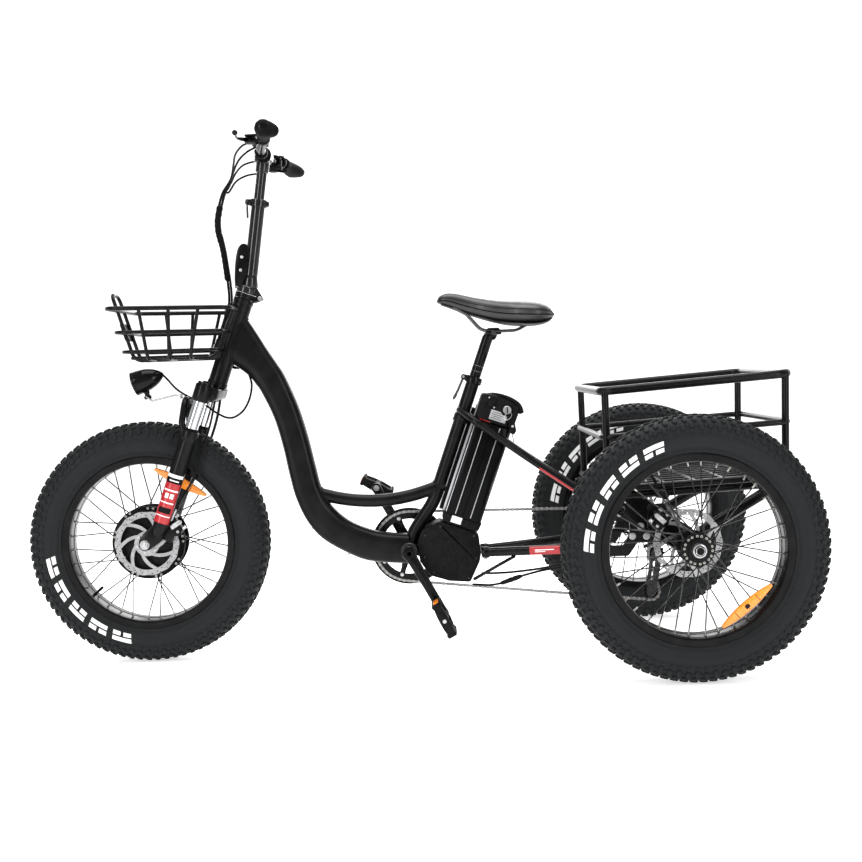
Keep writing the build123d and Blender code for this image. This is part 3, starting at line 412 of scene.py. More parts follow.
def noise(nt, scale, detail=3.0, stretch=None, rough=0.5, kind="TexNoise"):
    tc = nt.nodes.new("ShaderNodeTexCoord")
    mp = nt.nodes.new("ShaderNodeMapping")
    mp.inputs["Scale"].default_value = stretch or (1, 1, 1)
    link(nt, tc, "Object", mp, "Vector")
    t = nt.nodes.new("Shader" + "Node" + kind)
    t.inputs["Scale"].default_value = scale
    if kind == "TexNoise":
        t.inputs["Detail"].default_value = detail
        t.inputs["Roughness"].default_value = rough
    link(nt, mp, "Vector", t, "Vector")
    return t


def mat(name, base, rough=0.4, metal=0.0, coat=0.0, base2=None, scale=60, rvar=0.12, bump=0.15, bscale=900,
        stretch=None, spec=0.5, bdist=0.0003, coat_rough=0.08, kind="TexNoise", detail=3.0, wear=None):
    if max(base) < 0.0165 and metal < 0.6 and name != "post_gloss":      # black finishes: deep base, soft reflections
        k = 0.66 if name == "tyre_rubber" else 0.24
        base = tuple(k * c for c in base)
        base2 = tuple(k * c for c in base2) if base2 else base2
        coat, spec = 0.16 * coat, (0.42 if name == "tyre_rubber" else 0.21) * spec
    m, nt, b = nodes_of(name)
    if base2 is None:
        base2 = tuple(min(1.0, c * 1.35 + 0.004) for c in base)
    n1 = noise(nt, scale, detail, stretch)
    rp = nt.nodes.new("ShaderNodeValToRGB")
    rp.color_ramp.elements[0].position = 0.32
    rp.color_ramp.elements[1].position = 0.72
    rp.color_ramp.elements[0].color = (*base, 1)
    rp.color_ramp.elements[1].color = (*base2, 1)
    link(nt, n1, "Fac", rp, "Fac")
    link(nt, rp, "Color", b, "Base Color")
    if rvar > 0:
        mr = nt.nodes.new("ShaderNodeMapRange")
        mr.inputs["To Min"].default_value = max(0.02, rough - rvar / 2)
        mr.inputs["To Max"].default_value = min(1.0, rough + rvar / 2)
        n2 = noise(nt, scale * 2.3, 4.0, stretch)
        link(nt, n2, "Fac", mr, "Value")
        link(nt, mr, "Result", b, "Roughness")
    else:
        b.inputs["Roughness"].default_value = rough
    b.inputs["Metallic"].default_value = metal
    b.inputs["Coat Weight"].default_value = coat
    b.inputs["Coat Roughness"].default_value = coat_rough
    b.inputs["Specular IOR Level"].default_value = spec
    if bump > 0:
        n3 = noise(nt, bscale, 2.0, stretch, kind=kind)
        bp = nt.nodes.new("ShaderNodeBump")
        bp.inputs["Strength"].default_value = bump
        bp.inputs["Distance"].default_value = bdist
        link(nt, n3, "Fac" if kind == "TexNoise" else "Distance", bp, "Height")
        link(nt, bp, "Normal", b, "Normal")
    return m


def ringmat(name, base, rough, centre, scale=900, **kw):
    """Turned or brushed metal: fine rings round the X axis through centre."""
    m = mat(name, base, rough, **kw)
    nt = m.node_tree
    b = [n for n in nt.nodes if n.type == "BSDF_PRINCIPLED"][0]
    tc = nt.nodes.new("ShaderNodeTexCoord")
    mp = nt.nodes.new("ShaderNodeMapping")
    mp.inputs["Location"].default_value = (0, -centre[0] * 0.001, -centre[1] * 0.001)
    link(nt, tc, "Object", mp, "Vector")
    w = nt.nodes.new("ShaderNodeTexWave")
    w.wave_type = "RINGS"
    w.rings_direction = "X"
    w.inputs["Scale"].default_value = scale
    w.inputs["Distortion"].default_value = 1.2
    link(nt, mp, "Vector", w, "Vector")
    bp = nt.nodes.new("ShaderNodeBump")
    bp.inputs["Strength"].default_value = 0.12
    bp.inputs["Distance"].default_value = 0.0002
    link(nt, w, "Fac", bp, "Height")
    link(nt, bp, "Normal", b, "Normal")
    return m


M = {}
M["paint"] = mat("frame_paint", (0.0075, 0.0075, 0.008), 0.34, 0.0, 0.35, scale=25, rvar=0.08, bump=0.06, bscale=1400,
                 coat_rough=0.22)
M["paint2"] = mat("rear_paint", (0.0065, 0.0065, 0.007), 0.28, 0.0, 0.6, scale=30, rvar=0.08, bump=0.05, bscale=1200,
                  coat_rough=0.12)
M["coat"] = mat("basket_coat", (0.006, 0.006, 0.0065), 0.3, 0.0, 0.5, scale=60, rvar=0.1, bump=0.12, bscale=1800,
                coat_rough=0.14)
M["fork"] = mat("fork_paint", (0.009, 0.0095, 0.0105), 0.3, 0.1, 0.5, scale=40, rvar=0.1, bump=0.05, bscale=1500,
                coat_rough=0.12)
M["chrome"] = mat("chrome", (0.62, 0.63, 0.65), 0.09, 1.0, 0.0, base2=(0.72, 0.73, 0.75), scale=12, rvar=0.05,
                  bump=0.02, bscale=900)
M["zinc"] = mat("zinc_steel", (0.42, 0.42, 0.43), 0.34, 1.0, 0.0, base2=(0.55, 0.55, 0.56), scale=160, rvar=0.16,
                bump=0.12, bscale=1500)
M["alu"] = mat("cast_aluminium", (0.48, 0.49, 0.5), 0.42, 1.0, 0.0, base2=(0.58, 0.58, 0.6), scale=120, rvar=0.12,
               bump=0.25, bscale=1600)
M["dark"] = mat("dark_steel", (0.045, 0.045, 0.048), 0.36, 0.9, 0.0, base2=(0.09, 0.088, 0.086), scale=150, rvar=0.16,
                bump=0.1, bscale=1300)
M["tyre"] = mat("tyre_rubber", (0.0131, 0.0145, 0.0156), 0.62, 0.0, 0.0, base2=(0.0145, 0.0158, 0.0168), scale=45,
                rvar=0.18, bump=0.35, bscale=1500, spec=0.4, bdist=0.0004)
M["white"] = mat("white_ink", (0.78, 0.78, 0.77), 0.55, 0.0, 0.0, base2=(0.86, 0.86, 0.85), scale=120, rvar=0.12,
                 bump=0.2, bscale=1200)
M["rim"] = mat("rim_black", (0.0065, 0.0065, 0.007), 0.24, 0.2, 0.6, scale=30, rvar=0.08, bump=0.03, bscale=900,
               coat_rough=0.08)
M["hub"] = mat("hub_black", (0.008, 0.008, 0.0085), 0.38, 0.2, 0.3, scale=60, rvar=0.12, bump=0.15, bscale=1300)
M["spoke"] = mat("spoke_steel", (0.018, 0.018, 0.019), 0.26, 0.8, 0.0, base2=(0.035, 0.035, 0.036), scale=80, rvar=0.1,
                 bump=0.04, bscale=900)
M["rotor_f"] = ringmat("rotor_front", (0.27, 0.27, 0.275), 0.28, FW, metal=1.0, base2=(0.38, 0.38, 0.385), scale=900,
                       rvar=0.12, bump=0)
M["rotor_r"] = ringmat("rotor_rear", (0.27, 0.27, 0.275), 0.28, RW, metal=1.0, base2=(0.38, 0.38, 0.385), scale=900,
                       rvar=0.12, bump=0)
M["plastic"] = mat("black_plastic", (0.010, 0.010, 0.0105), 0.5, 0.0, 0.0, scale=80, rvar=0.12, bump=0.35, bscale=2200,
                   spec=0.45)
M["gloss"] = mat("gloss_plastic", (0.006, 0.006, 0.0065), 0.16, 0.0, 0.5, scale=30, rvar=0.06, bump=0.03, bscale=700)
M["battery"] = mat("battery_case", (0.010, 0.0105, 0.0115), 0.32, 0.55, 0.15, base2=(0.02, 0.0205, 0.022), scale=70,
                   rvar=0.14, bump=0.12, bscale=900, stretch=(6, 6, 0.5))
M["post"] = mat("post_gloss", (0.004, 0.004, 0.0042), 0.13, 0.0, 0.25, scale=30, rvar=0.05, bump=0.03, bscale=700, spec=0.3)
M["rubber"] = mat("soft_rubber", (0.010, 0.010, 0.010), 0.74, 0.0, 0.0, scale=90, rvar=0.14, bump=0.4, bscale=1700,
                  spec=0.35)
M["saddle"] = mat("saddle_cover", (0.016, 0.016, 0.0168), 0.42, 0.0, 0.08, base2=(0.015, 0.015, 0.0155), scale=30,
                  rvar=0.16, bump=0.35, bscale=900, kind="TexVoronoi", bdist=0.0004)
M["crank"] = mat("crank_black", (0.0075, 0.0075, 0.008), 0.27, 0.1, 0.4, scale=40, rvar=0.1, bump=0.06, bscale=1200)
M["chain"] = mat("chain_steel", (0.16, 0.155, 0.15), 0.36, 1.0, 0.0, base2=(0.34, 0.33, 0.32), scale=260, rvar=0.2,
                 bump=0.1, bscale=1200)
M["cog"] = mat("cog_steel", (0.13, 0.13, 0.13), 0.35, 1.0, 0.0, base2=(0.24, 0.24, 0.24), scale=160, rvar=0.2,
               bump=0.08, bscale=1200)
M["cable"] = mat("cable_jacket", (0.007, 0.007, 0.0075), 0.42, 0.0, 0.0, scale=80, rvar=0.12, bump=0.15, bscale=2000,
                 spec=0.5)
M["red"] = mat("red_decal", (0.36, 0.004, 0.009), 0.34, 0.0, 0.2, base2=(0.42, 0.006, 0.012), scale=50, rvar=0.08,
               bump=0.03, bscale=900)
M["label"] = mat("grey_label", (0.32, 0.325, 0.33), 0.5, 0.0, 0.1, base2=(0.42, 0.42, 0.43), scale=300, rvar=0.1,
                 bump=0.05, bscale=900)
M["tail"] = mat("red_lens", (0.35, 0.004, 0.006), 0.14, 0.0, 0.7, base2=(0.55, 0.01, 0.012), scale=260, rvar=0.05,
                bump=0.5, bscale=420, kind="TexVoronoi", bdist=0.0006)
M["orange"] = mat("orange_reflector", (0.95, 0.22, 0.012), 0.2, 0.0, 0.6, base2=(1.0, 0.36, 0.03), scale=240, rvar=0.08,
                  bump=0.6, bscale=380, kind="TexVoronoi", bdist=0.0008)
M["brass"] = mat("nipple_brass", (0.30, 0.29, 0.27), 0.3, 1.0, 0.0, scale=90, rvar=0.1, bump=0.05)


def lens_mat():
    m, nt, b = nodes_of("clear_lens")
    b.inputs["Base Color"].default_value = (0.93, 0.95, 0.96, 1)
    b.inputs["Transmission Weight"].default_value = 0.92
    b.inputs["IOR"].default_value = 1.35
    b.inputs["Roughness"].default_value = 0.06
    w = nt.nodes.new("ShaderNodeTexWave")
    w.inputs["Scale"].default_value = 60
    tc = nt.nodes.new("ShaderNodeTexCoord")
    link(nt, tc, "Object", w, "Vector")
    bp = nt.nodes.new("ShaderNodeBump")
    bp.inputs["Strength"].default_value = 0.25
    bp.inputs["Distance"].default_value = 0.0006
    link(nt, w, "Fac", bp, "Height")
    link(nt, bp, "Normal", b, "Normal")
    return m


M["lens"] = lens_mat()

# ------------------------------------------------------------------ wheels
CASE = [(35.8, 211.0), (37.2, 215.5), (39.4, 220.0), (43.4, 229.5), (45.9, 239.0), (46.6, 240.0), (47.0, 246.0),
        (46.9, 250.0), (46.3, 251.0), (45.9, 257.0), (44.7, 265.0), (42.6, 273.0), (39.2, 280.5), (34.4, 286.6),
        (28.0, 290.8), (20.0, 293.7), (10.0, 295.3)]


def outline():
    pts = CASE + [(0.0, 295.6)] + [(-x, r) for x, r in reversed(CASE)]
    s = [0.0]
    for a, b in zip(pts, pts[1:]):
        s.append(s[-1] + math.hypot(b[0] - a[0], b[1] - a[1]))
    mid = s[-1] / 2
    return pts, [q - mid for q in s]


OUT, OS = outline()


def case_at(s, h=0.0):
    """Point on the casing at arc length s from the crown, h above it: (x, r)."""
    i = 0
    while i < len(OS) - 2 and OS[i + 1] < s:
        i += 1
    f = (s - OS[i]) / (OS[i + 1] - OS[i])
    (x0, r0), (x1, r1) = OUT[i], OUT[i + 1]
    x, r = x0 + (x1 - x0) * f, r0 + (r1 - r0) * f
    d = unit((x1 - x0, r1 - r0))
    return x + d[1] * h, r - d[0] * h      # outward normal


def s_of_r(r, side):
    """Arc length where the sidewall on one side has radius r."""
    best = min(range(200), key=lambda k: abs(case_at(-k * 0.6)[1] - r))
    s = -best * 0.6
    return s if side > 0 else -s


SIGN = -1 if case_at(-60)[0] > 0 else 1


def wheel_pt(xc, c, x, r, a):
    return (xc + x, c[0] + r * cos(a), c[1] + r * sin(a))


def knob(g, xc, c, s0, s1, a0, a1, h, tap=0.12, m=0, skew=0.0):
    """A tread block between arc lengths s0..s1 and angles a0..a1, h tall, with chamfered edges."""
    rings = []
    for hh, t in ((-0.9, 0.0), (h * 0.78, tap * 0.55), (h, tap * 1.6)):
        ds, da = (s1 - s0) * t, (a1 - a0) * t
        ring = []
        c0, c1 = 0.24, 0.24
        for fs, fa in ((0, c1), (0, 1 - c1), (c0, 1), (1 - c0, 1), (1, 1 - c1), (1, c1), (1 - c0, 0), (c0, 0)):
            s = s0 + ds + (s1 - s0 - 2 * ds) * fs
            a = a0 + da + (a1 - a0 - 2 * da) * fa + skew * (fs - 0.5)
            x, r = case_at(s, hh)
            ring.append(wheel_pt(xc, c, x, r, a))
        rings.append(ring)
    g.loft(rings, m)


def tyre(name, body, xc, c, node, ink, both=True):
    g = Geo()
    prof = [(x, r) for x, r in OUT]
    inner = [(-x * 0.93, r - 5.0) for x, r in OUT]
    lo = [(-30.0, 205.0), (30.0, 205.0)]
    loop = prof + inner[2:-2]
    g.lathe([(x, r) for x, r in loop], (xc, c[0], c[1]), (1, 0, 0), 168, 0, closed=True, u=(0, 1, 0))
    n = 84
    p = 2 * pi / n
    for i in range(n):
        a = i * p
        alt = i % 2
        knob(g, xc, c, -13.0, -1.6, a + p * 0.08, a + p * 0.62, 4.3)
        knob(g, xc, c, 1.6, 13.0, a + p * 0.48, a + p * 1.02, 4.3)
        for sd in (1, -1):
            k0, k1 = (17.0, 27.0) if alt else (16.5, 25.0)
            knob(g, xc, c, *sorted((sd * k0, sd * k1)), a + p * 0.25, a + p * 0.8, 4.2, skew=0.012 * sd)
            knob(g, xc, c, *sorted((sd * 30.0, sd * 40.5)), a + p * 0.0, a + p * 0.52, 4.2, skew=-0.008 * sd)
            k0, k1 = (43.5, 55.0) if alt else (44.0, 58.5)
            knob(g, xc, c, *sorted((sd * k0, sd * k1)), a + p * 0.30, a + p * 0.84, 4.0, tap=0.1)
            if alt:
                knob(g, xc, c, *sorted((sd * 58.5, sd * 66.0)), a + p * 0.36, a + p * 0.80, 2.2, tap=0.08)
            else:
                knob(g, xc, c, *sorted((sd * 61.5, sd * 67.0)), a + p * 0.30, a + p * 0.90, 1.6, tap=0.08)
            # ribs between the shoulder blocks
            knob(g, xc, c, *sorted((sd * 46.5, sd * 52.0)), a + p * 0.86, a + p * 1.24, 1.4, tap=0.08)
    # raised rings on the side walls, and the mould line near the bead
    for sd in (1, -1):
        for rr, w in ((222.5, 0.9), (226.0, 0.55), (257.5, 0.6)):
            s = s_of_r(rr, sd)
            x, r = case_at(s, 0.1)
            pts = [wheel_pt(xc, c, x, r, 2 * pi * k / 120) for k in range(120)]
            g.tube(pts, w, 6, 0, closed=True)
    ob = g.build(name, body, [M["tyre"]], node, "tyre", angle=34)
    # plain white marks round the side wall: rows of dashes
    w = Geo()

    def dash(sd, a0, a1, r0, r1, lean):
        nr_, na_ = 4, 8
        top, bot = [], []
        for i in range(nr_):
            fr = i / (nr_ - 1)
            s_ = s_of_r(r0 + (r1 - r0) * fr, sd)
            for j in range(na_):
                fa = j / (na_ - 1)
                aa = a0 + (a1 - a0) * fa + lean * ((r0 + (r1 - r0) * fr) - 243.0) / 30.0
                inside = 0 < i < nr_ - 1 and 0 < j < na_ - 1
                for lst, hh in ((top, 0.75 if inside else 0.45), (bot, -1.0)):
                    x, r = case_at(s_, hh)
                    lst.append(wheel_pt(xc, c, x, r, aa))
        faces = []
        nv = nr_ * na_
        for i in range(nr_ - 1):
            for j in range(na_ - 1):
                q = (i * na_ + j, i * na_ + j + 1, (i + 1) * na_ + j + 1, (i + 1) * na_ + j)
                faces.append(q)
                faces.append(tuple(nv + k for k in reversed(q)))
        edge = [i for i in range(na_)] + [i * na_ + na_ - 1 for i in range(1, nr_)] + \
               [(nr_ - 1) * na_ + j for j in range(na_ - 2, -1, -1)] + [i * na_ for i in range(nr_ - 2, 0, -1)]
        for k in range(len(edge)):
            e0, e1 = edge[k], edge[(k + 1) % len(edge)]
            faces.append((e0, e1, nv + e1, nv + e0))
        w.add(top + bot, faces, 0)

    for sd, start, step in ink:
        cell = 0.262
        for q in range(5):
            a = start + step * cell * q
            m0, m1 = (244.5, 254.5), (231.5, 240.5)
            if q % 2:
                m0, m1 = m1, m0
            dash(sd, a, a + step * 0.195, m0[0], m0[1], 0.03 * step)
            dash(sd, a, a + step * 0.082, m1[0], m1[1], 0.03 * step)
            dash(sd, a + step * 0.113, a + step * 0.195, m1[0], m1[1], 0.03 * step)
    if ink:
        w.build(name + "_marks", body, [M["white"]], (), "tyre")
    return ob


def rim(name, body, xc, c, node):
    g = Geo()
    prof = [(-40.0, 213.0), (-38.8, 214.4), (-37.0, 213.8), (-36.4, 211.5), (-36.4, 205.5), (-33.0, 202.4),
            (-12, 201.6), (-9, 199.6), (9, 199.6), (12, 201.6), (33.0, 202.4), (36.4, 205.5), (36.4, 211.5),
            (37.0, 213.8), (38.8, 214.4), (40.0, 213.0), (40.0, 209.0), (39.2, 205.0), (39.6, 200.5), (38.8, 197.4),
            (36.0, 195.9), (14, 195.6), (12.6, 196.6), (-12.6, 196.6), (-14, 195.6), (-36.0, 195.9), (-38.8, 197.4),
            (-39.6, 200.5), (-39.2, 205.0), (-40.0, 209.0)]
    g.lathe(prof, (xc, c[0], c[1]), (1, 0, 0), 144, 0, closed=True, u=(0, 1, 0))
    return g.build(name, body, [M["rim"]], node, "rim", angle=30)


def spokes(name, body, xc, c, rh, hw, off=0.0, slot="hub", n=36, cross=0.62, r=1.55):
    g = Geo()
    for i in range(n):
        a = 2 * pi * (i + 0.5) / n
        side = 1 if i % 2 else -1
        lead = 1 if (i // 2) % 2 else -1
        ah = a + lead * cross
        p0 = arr(wheel_pt(xc, c, side * hw + off, rh, ah))
        p1 = arr(wheel_pt(xc, c, side * 9, 197.5, a))
        d = unit(p1 - p0)
        head = p0 + arr((side * 2.6, 0, 0))
        g.tube([head, p0 + arr((side * 1.0, 0, 0)), p0 + d * 2.5, p0 + d * 12], [1.5, 1.4, 1.35, r], 8, 0, "round")
        g.tube([p0 + d * 11, p1 - d * 8], [r, r], 8, 0)
        g.lathe([(-14, 0.0), (-14, 1.6), (-13, 2.0), (-4, 2.2), (-3.2, 3.1), (0.5, 3.1), (0.5, 0)], p1, d, 10, 1)
        g.lathe([(-2.0, 0.0), (-2.0, 2.9), (0.2, 3.0), (0.2, 0)], p0 + arr((side * 3.2, 0, 0)), (side, 0, 0), 10, 1)
    return g.build(name, body, [M["spoke"], M["brass"]], (), slot)


def rotor(name, body, xc, c, r_in, node, m):
    g = Geo()
    R = 80.0

    def ring(r, n, wob=0.0, lobes=0, ph=0.0, cc=(0, 0)):
        return [(cc[0] + (r + wob * cos(lobes * (2 * pi * k / n))) * cos(2 * pi * k / n + ph),
                 cc[1] + (r + wob * cos(lobes * (2 * pi * k / n))) * sin(2 * pi * k / n + ph)) for k in range(n)]
    loops = [ring(R - 1.1, 168, 0.9, 14)]
    # windows between the swirled arms
    na = 7
    for i in range(na):
        a = 2 * pi * i / na
        w = 2 * pi / na
        outer = [(65.0 * cos(t), 65.0 * sin(t)) for t in [a + 0.62 + (w - 0.17) * k / 9 for k in range(10)]]
        inner = [(31.0 * cos(t), 31.0 * sin(t)) for t in [a + (w - 0.34) * k / 6 for k in range(6, -1, -1)]]

        def side(t_in, t_out):
            return [((31 + 34 * f) * cos(t_in + (t_out - t_in) * f ** 0.8), (31 + 34 * f) * sin(t_in + (t_out - t_in) * f ** 0.8))
                    for f in (0.2, 0.4, 0.6, 0.8)]
        lead = side(a, a + 0.62)
        trail = side(a + w - 0.34, a + 0.62 + w - 0.17)
        loops.append(outer + list(reversed(trail)) + inner + lead)
    for i in range(24):
        a = 2 * pi * i / 24
        for j, rr in enumerate((69.0, 72.8, 76.2)):
            if (i + j) % 4 == 3:
                continue
            t = a + 0.07 * j
            loops.append(ring(1.55, 10, cc=(rr * cos(t), rr * sin(t))))
    loops.append(ring(r_in, 40))
    g.plate(loops, -0.95, 0.95, 0, to=lambda x, a, b: (xc + x, c[0] + a, c[1] + b))
    # the six bolts that hold it to its carrier
    s = 1 if xc > 0 else -1
    for i in range(6):
        a = 2 * pi * i / 6 + 0.3
        p = (xc + s * 0.9, c[0] + 24.0 * cos(a), c[1] + 24.0 * sin(a))
        if r_in < 20:
            g.bolt(p, (s, 0, 0), 3.6, 2.2, 1, "dome", 1)
    return g.build(name, body, [m, M["zinc"]], node, "rotor", angle=30)


def reflector(name, body, xc, c, r, a, slot="hub", half=72.0):
    """A long curved spoke reflector, clipped between two spokes."""
    g = Geo()

    def to(x, p, q):
        return (xc + x, c[0] + (r + q) * cos(a) + p * sin(a), c[1] + (r + q) * sin(a) - p * cos(a))

    def outline(h, w):
        n = 12
        top = [(-h + 2 * h * k / n, w * (1 - 0.72 * abs(-1 + 2 * k / n) ** 2.0)) for k in range(n + 1)]
        bot = [(x, -y) for x, y in reversed(top)]
        return roundpoly(top + bot, 1.5, 2)
    g.prism(outline(half, 12.0), -3.4, 3.4, 0, 1.2, to=to)
    for x0, x1 in ((3.0, 5.6), (-5.6, -3.0)):
        g.prism(outline(half - 1.5, 11.0), x0, x1, 0, 1.0, to=to)
        for p0 in (-30, 0, 30):
            g.prism([(p0 - 0.7, -8.2), (p0 + 0.7, -8.2), (p0 + 0.7, 8.2), (p0 - 0.7, 8.2)], *((x1 - 0.6, x1 + 0.3) if x1 > 0 else (x0 - 0.3, x0 + 0.6)), 1, 0.2, to=to)
    er, et = arr((0, cos(a), sin(a))), arr((0, -sin(a), cos(a)))
    o = arr((xc, c[0] + r * cos(a), c[1] + r * sin(a)))
    g.box(o, (12.0, 12, 10), 2.0, 1, axes=((1, 0, 0), tuple(et), tuple(er)))
    return g.build(name, body, [M["orange"], M["gloss"]], (), slot)


def valve(name, body, xc, c, a):
    g = Geo()
    o = arr((xc, c[0] + 196.5 * cos(a), c[1] + 196.5 * sin(a)))
    d = arr((0, -cos(a), -sin(a)))
    g.lathe([(-2, 0), (-2, 4.6), (1.5, 4.6), (2.5, 3.4), (14, 3.1), (15, 3.9), (16, 3.9), (16.6, 3.3), (26, 3.0),
             (28, 2.4), (28, 0)], o, d, 16, 0)
    for k in range(6):
        g.lathe([(17 + k * 1.5, 3.1), (17.4 + k * 1.5, 3.7), (17.9 + k * 1.5, 3.7), (18.2 + k * 1.5, 3.1)], o, d, 16, 0)
    return g.build(name, body, [M["rubber"]], (), "tyre")


# front wheel with its hub motor
ink_front = [(1, rad(187), 1.0), (-1, rad(0), 1.0)]
tyre("front_tyre_tread", "front_wheel", 0.0, FW, "front_tyre", ink_front)
rim("front_rim_shell", "front_wheel", 0.0, FW, "front_rim")
spokes("front_spokes", "front_wheel", 0.0, FW, 85.5, 30.5, cross=0.25)
reflector("front_reflector", "front_wheel", 18.0, FW, 168.0, rad(61))
valve("front_valve", "front_wheel", 0.0, FW, rad(222))
g = Geo()
prof = [(-48, 6.3), (-48, 14), (-46.5, 15.5), (-44, 16), (-44, 24), (-42, 29), (-37.5, 30), (-36.8, 34), (-35.6, 52),
        (-35.0, 70), (-34.4, 76), (-31.5, 79), (-31.5, 87.6), (-32.2, 89.5), (-31.6, 90.4), (-28.6, 90.4), (-28, 89.4),
        (-28, 83.5), (-26, 82), (-20, 82), (-19, 83), (-16, 83), (-15, 82), (15, 82), (16, 83), (19, 83), (20, 82),
        (26, 82), (28, 83.5), (28, 89.4), (28.6, 90.4), (31.6, 90.4), (32.2, 89.5), (31.5, 87.6), (31.5, 79),
        (34.4, 76), (35.0, 70), (35.6, 52), (36.8, 34), (37.5, 30), (42, 29), (44, 24.5), (50, 24), (50.8, 20),
        (50.8, 6.3)]
g.lathe(prof, (0, FW[0], FW[1]), (1, 0, 0), 96, 0, closed=True, u=(0, 1, 0))
for i in range(12):
    a = 2 * pi * i / 12
    for s in (1, -1):
        g.bolt((s * 35.2, FW[0] + 70 * cos(a), FW[1] + 70 * sin(a)), (s, 0, 0), 3.0, 2.0, 1, "dome", 1)
for i in range(24):      # cooling ribs on the cover
    a = 2 * pi * i / 24
    for s in (1, -1):
        p0 = arr((s * 35.6, FW[0] + 40 * cos(a), FW[1] + 40 * sin(a)))
        p1 = arr((s * 35.0, FW[0] + 62 * cos(a), FW[1] + 62 * sin(a)))
        g.tube([p0, p1], 1.1, 8, 0, "round")
g.build("hub_motor_shell", "front_wheel", [M["hub"], M["zinc"]], "hub_motor", "hub", angle=30)
rotor("front_disc", "front_wheel", 52.0, FW, 12.4, "front_rotor", M["rotor_f"])

# rear wheels
for nm, s in (("left", 1), ("right", -1)):
    body = nm + "_wheel"
    xc = s * HTR
    ink = [(s, rad(179), -1.0), (-s, rad(60), -1.0)] if s > 0 else [(1, rad(172), -1.0), (-1, rad(40), -1.0)]
    tyre(nm + "_tyre_tread", body, xc, RW, nm + "_tyre", ink)
    rim(nm + "_rim_shell", body, xc, RW, nm + "_rim")
    spokes(nm + "_spokes", body, xc, RW, 31.0, 30.5, cross=0.72, off=0.0)
    reflector(nm + "_reflector", body, xc + s * 22, RW, 168.0, rad(-50 if s > 0 else 150))
    valve(nm + "_valve", body, xc, RW, rad(120))
    g = Geo()
    X = lambda v: v
    prof = [(s * t, r) for t, r in [
        (13.2 if s > 0 else 42, 0), (13.2 if s > 0 else 42, 10.6), (14.5 if s > 0 else 43.5, 12.0), (302.5, 12.0),
        (303.2, 12.0), (303.2, 21.5), (304.2, 24.0), (311, 24.0), (312, 30.0), (316.5, 30.5), (318, 26), (330, 22.0),
        (346, 23.5), (349.5, 27.0), (350, 36.2), (351, 37), (355, 37), (356, 36.2), (356.5, 28), (362, 21), (384, 18.6),
        (404, 21), (410.5, 28), (411, 36.2), (412, 37), (416, 37), (417, 36.2), (417.4, 29), (420, 24), (424.5, 23.4),
        (425.5, 15.6), (432, 15), (434, 14), (434.5, 11.4), (431, 10.8), (431, 8.6), (440, 8.4), (440.2, 7.4),
        (440.2, 0)]]
    g.lathe(prof, (0, RW[0], RW[1]), (1, 0, 0), 64, 0, u=(0, 1, 0))
    g.lathe([(s * 424.2, 17.5), (s * 424.2, 12), (s * 434.8, 11.8), (s * 435.4, 13), (s * 434.6, 15.2), (s * 427, 16)],
            (0, RW[0], RW[1]), (1, 0, 0), 48, 1, closed=True, u=(0, 1, 0))
    g.lathe([(s * 432, 10.9), (s * 438.6, 10.9), (s * 439.4, 9.4), (s * 439.4, 6), (s * 432, 6)], (0, RW[0], RW[1]),
            (1, 0, 0), 6, 1, closed=True)
    for i in range(18):
        a = 2 * pi * i / 18
        for xx in (350, 417):
            pass
    g.build(nm + "_hub_shell", body, [M["hub"], M["zinc"]], nm + "_hub", "hub", angle=30)
    rotor(nm + "_disc", body, s * 302.0, RW, 12.6, nm + "_rotor", M["rotor_r"])

# ------------------------------------------------------------------ main frame
def exits(lines, outside):
    """For each line of points, where it first leaves the other part."""
    out = []
    for ln in lines:
        for a, b in zip(ln, ln[1:]):
            da, db = outside(a), outside(b)
            if da < 0 <= db:
                f = -da / (db - da)
                out.append(arr(a) + (arr(b) - arr(a)) * f)
                break
    return out


def seam(g, pts, r=2.3, mat=0, waves=0.5):
    """A rippled weld bead along a closed run of points."""
    if len(pts) < 6:
        return
    P = catmull(pts, 3, closed=True)
    g.tube(P, [r * (1 + 0.14 * cos(i * 2 * pi * waves)) for i in range(len(P))], 8, mat, closed=True)


def dist_line(p, o, d):
    v = arr(p) - arr(o)
    d = unit(d)
    return float(np.linalg.norm(v - d * np.dot(v, d)))


def tube_lines(pts, r, n=20):
    """Lines along a round tube's surface, one per angle."""
    P = [arr(p) for p in pts]
    rings = []
    u = None
    for i in range(len(P)):
        d = unit(P[min(i + 1, len(P) - 1)] - P[max(i - 1, 0)])
        u = perp(d)[0] if u is None else u
        u = unit(u - d * np.dot(u, d))
        w = np.cross(d, u)
        rings.append([P[i] + r * (cos(2 * pi * k / n) * u + sin(2 * pi * k / n) * w) for k in range(n)])
    return [[rg[k] for rg in rings] for k in range(n)]


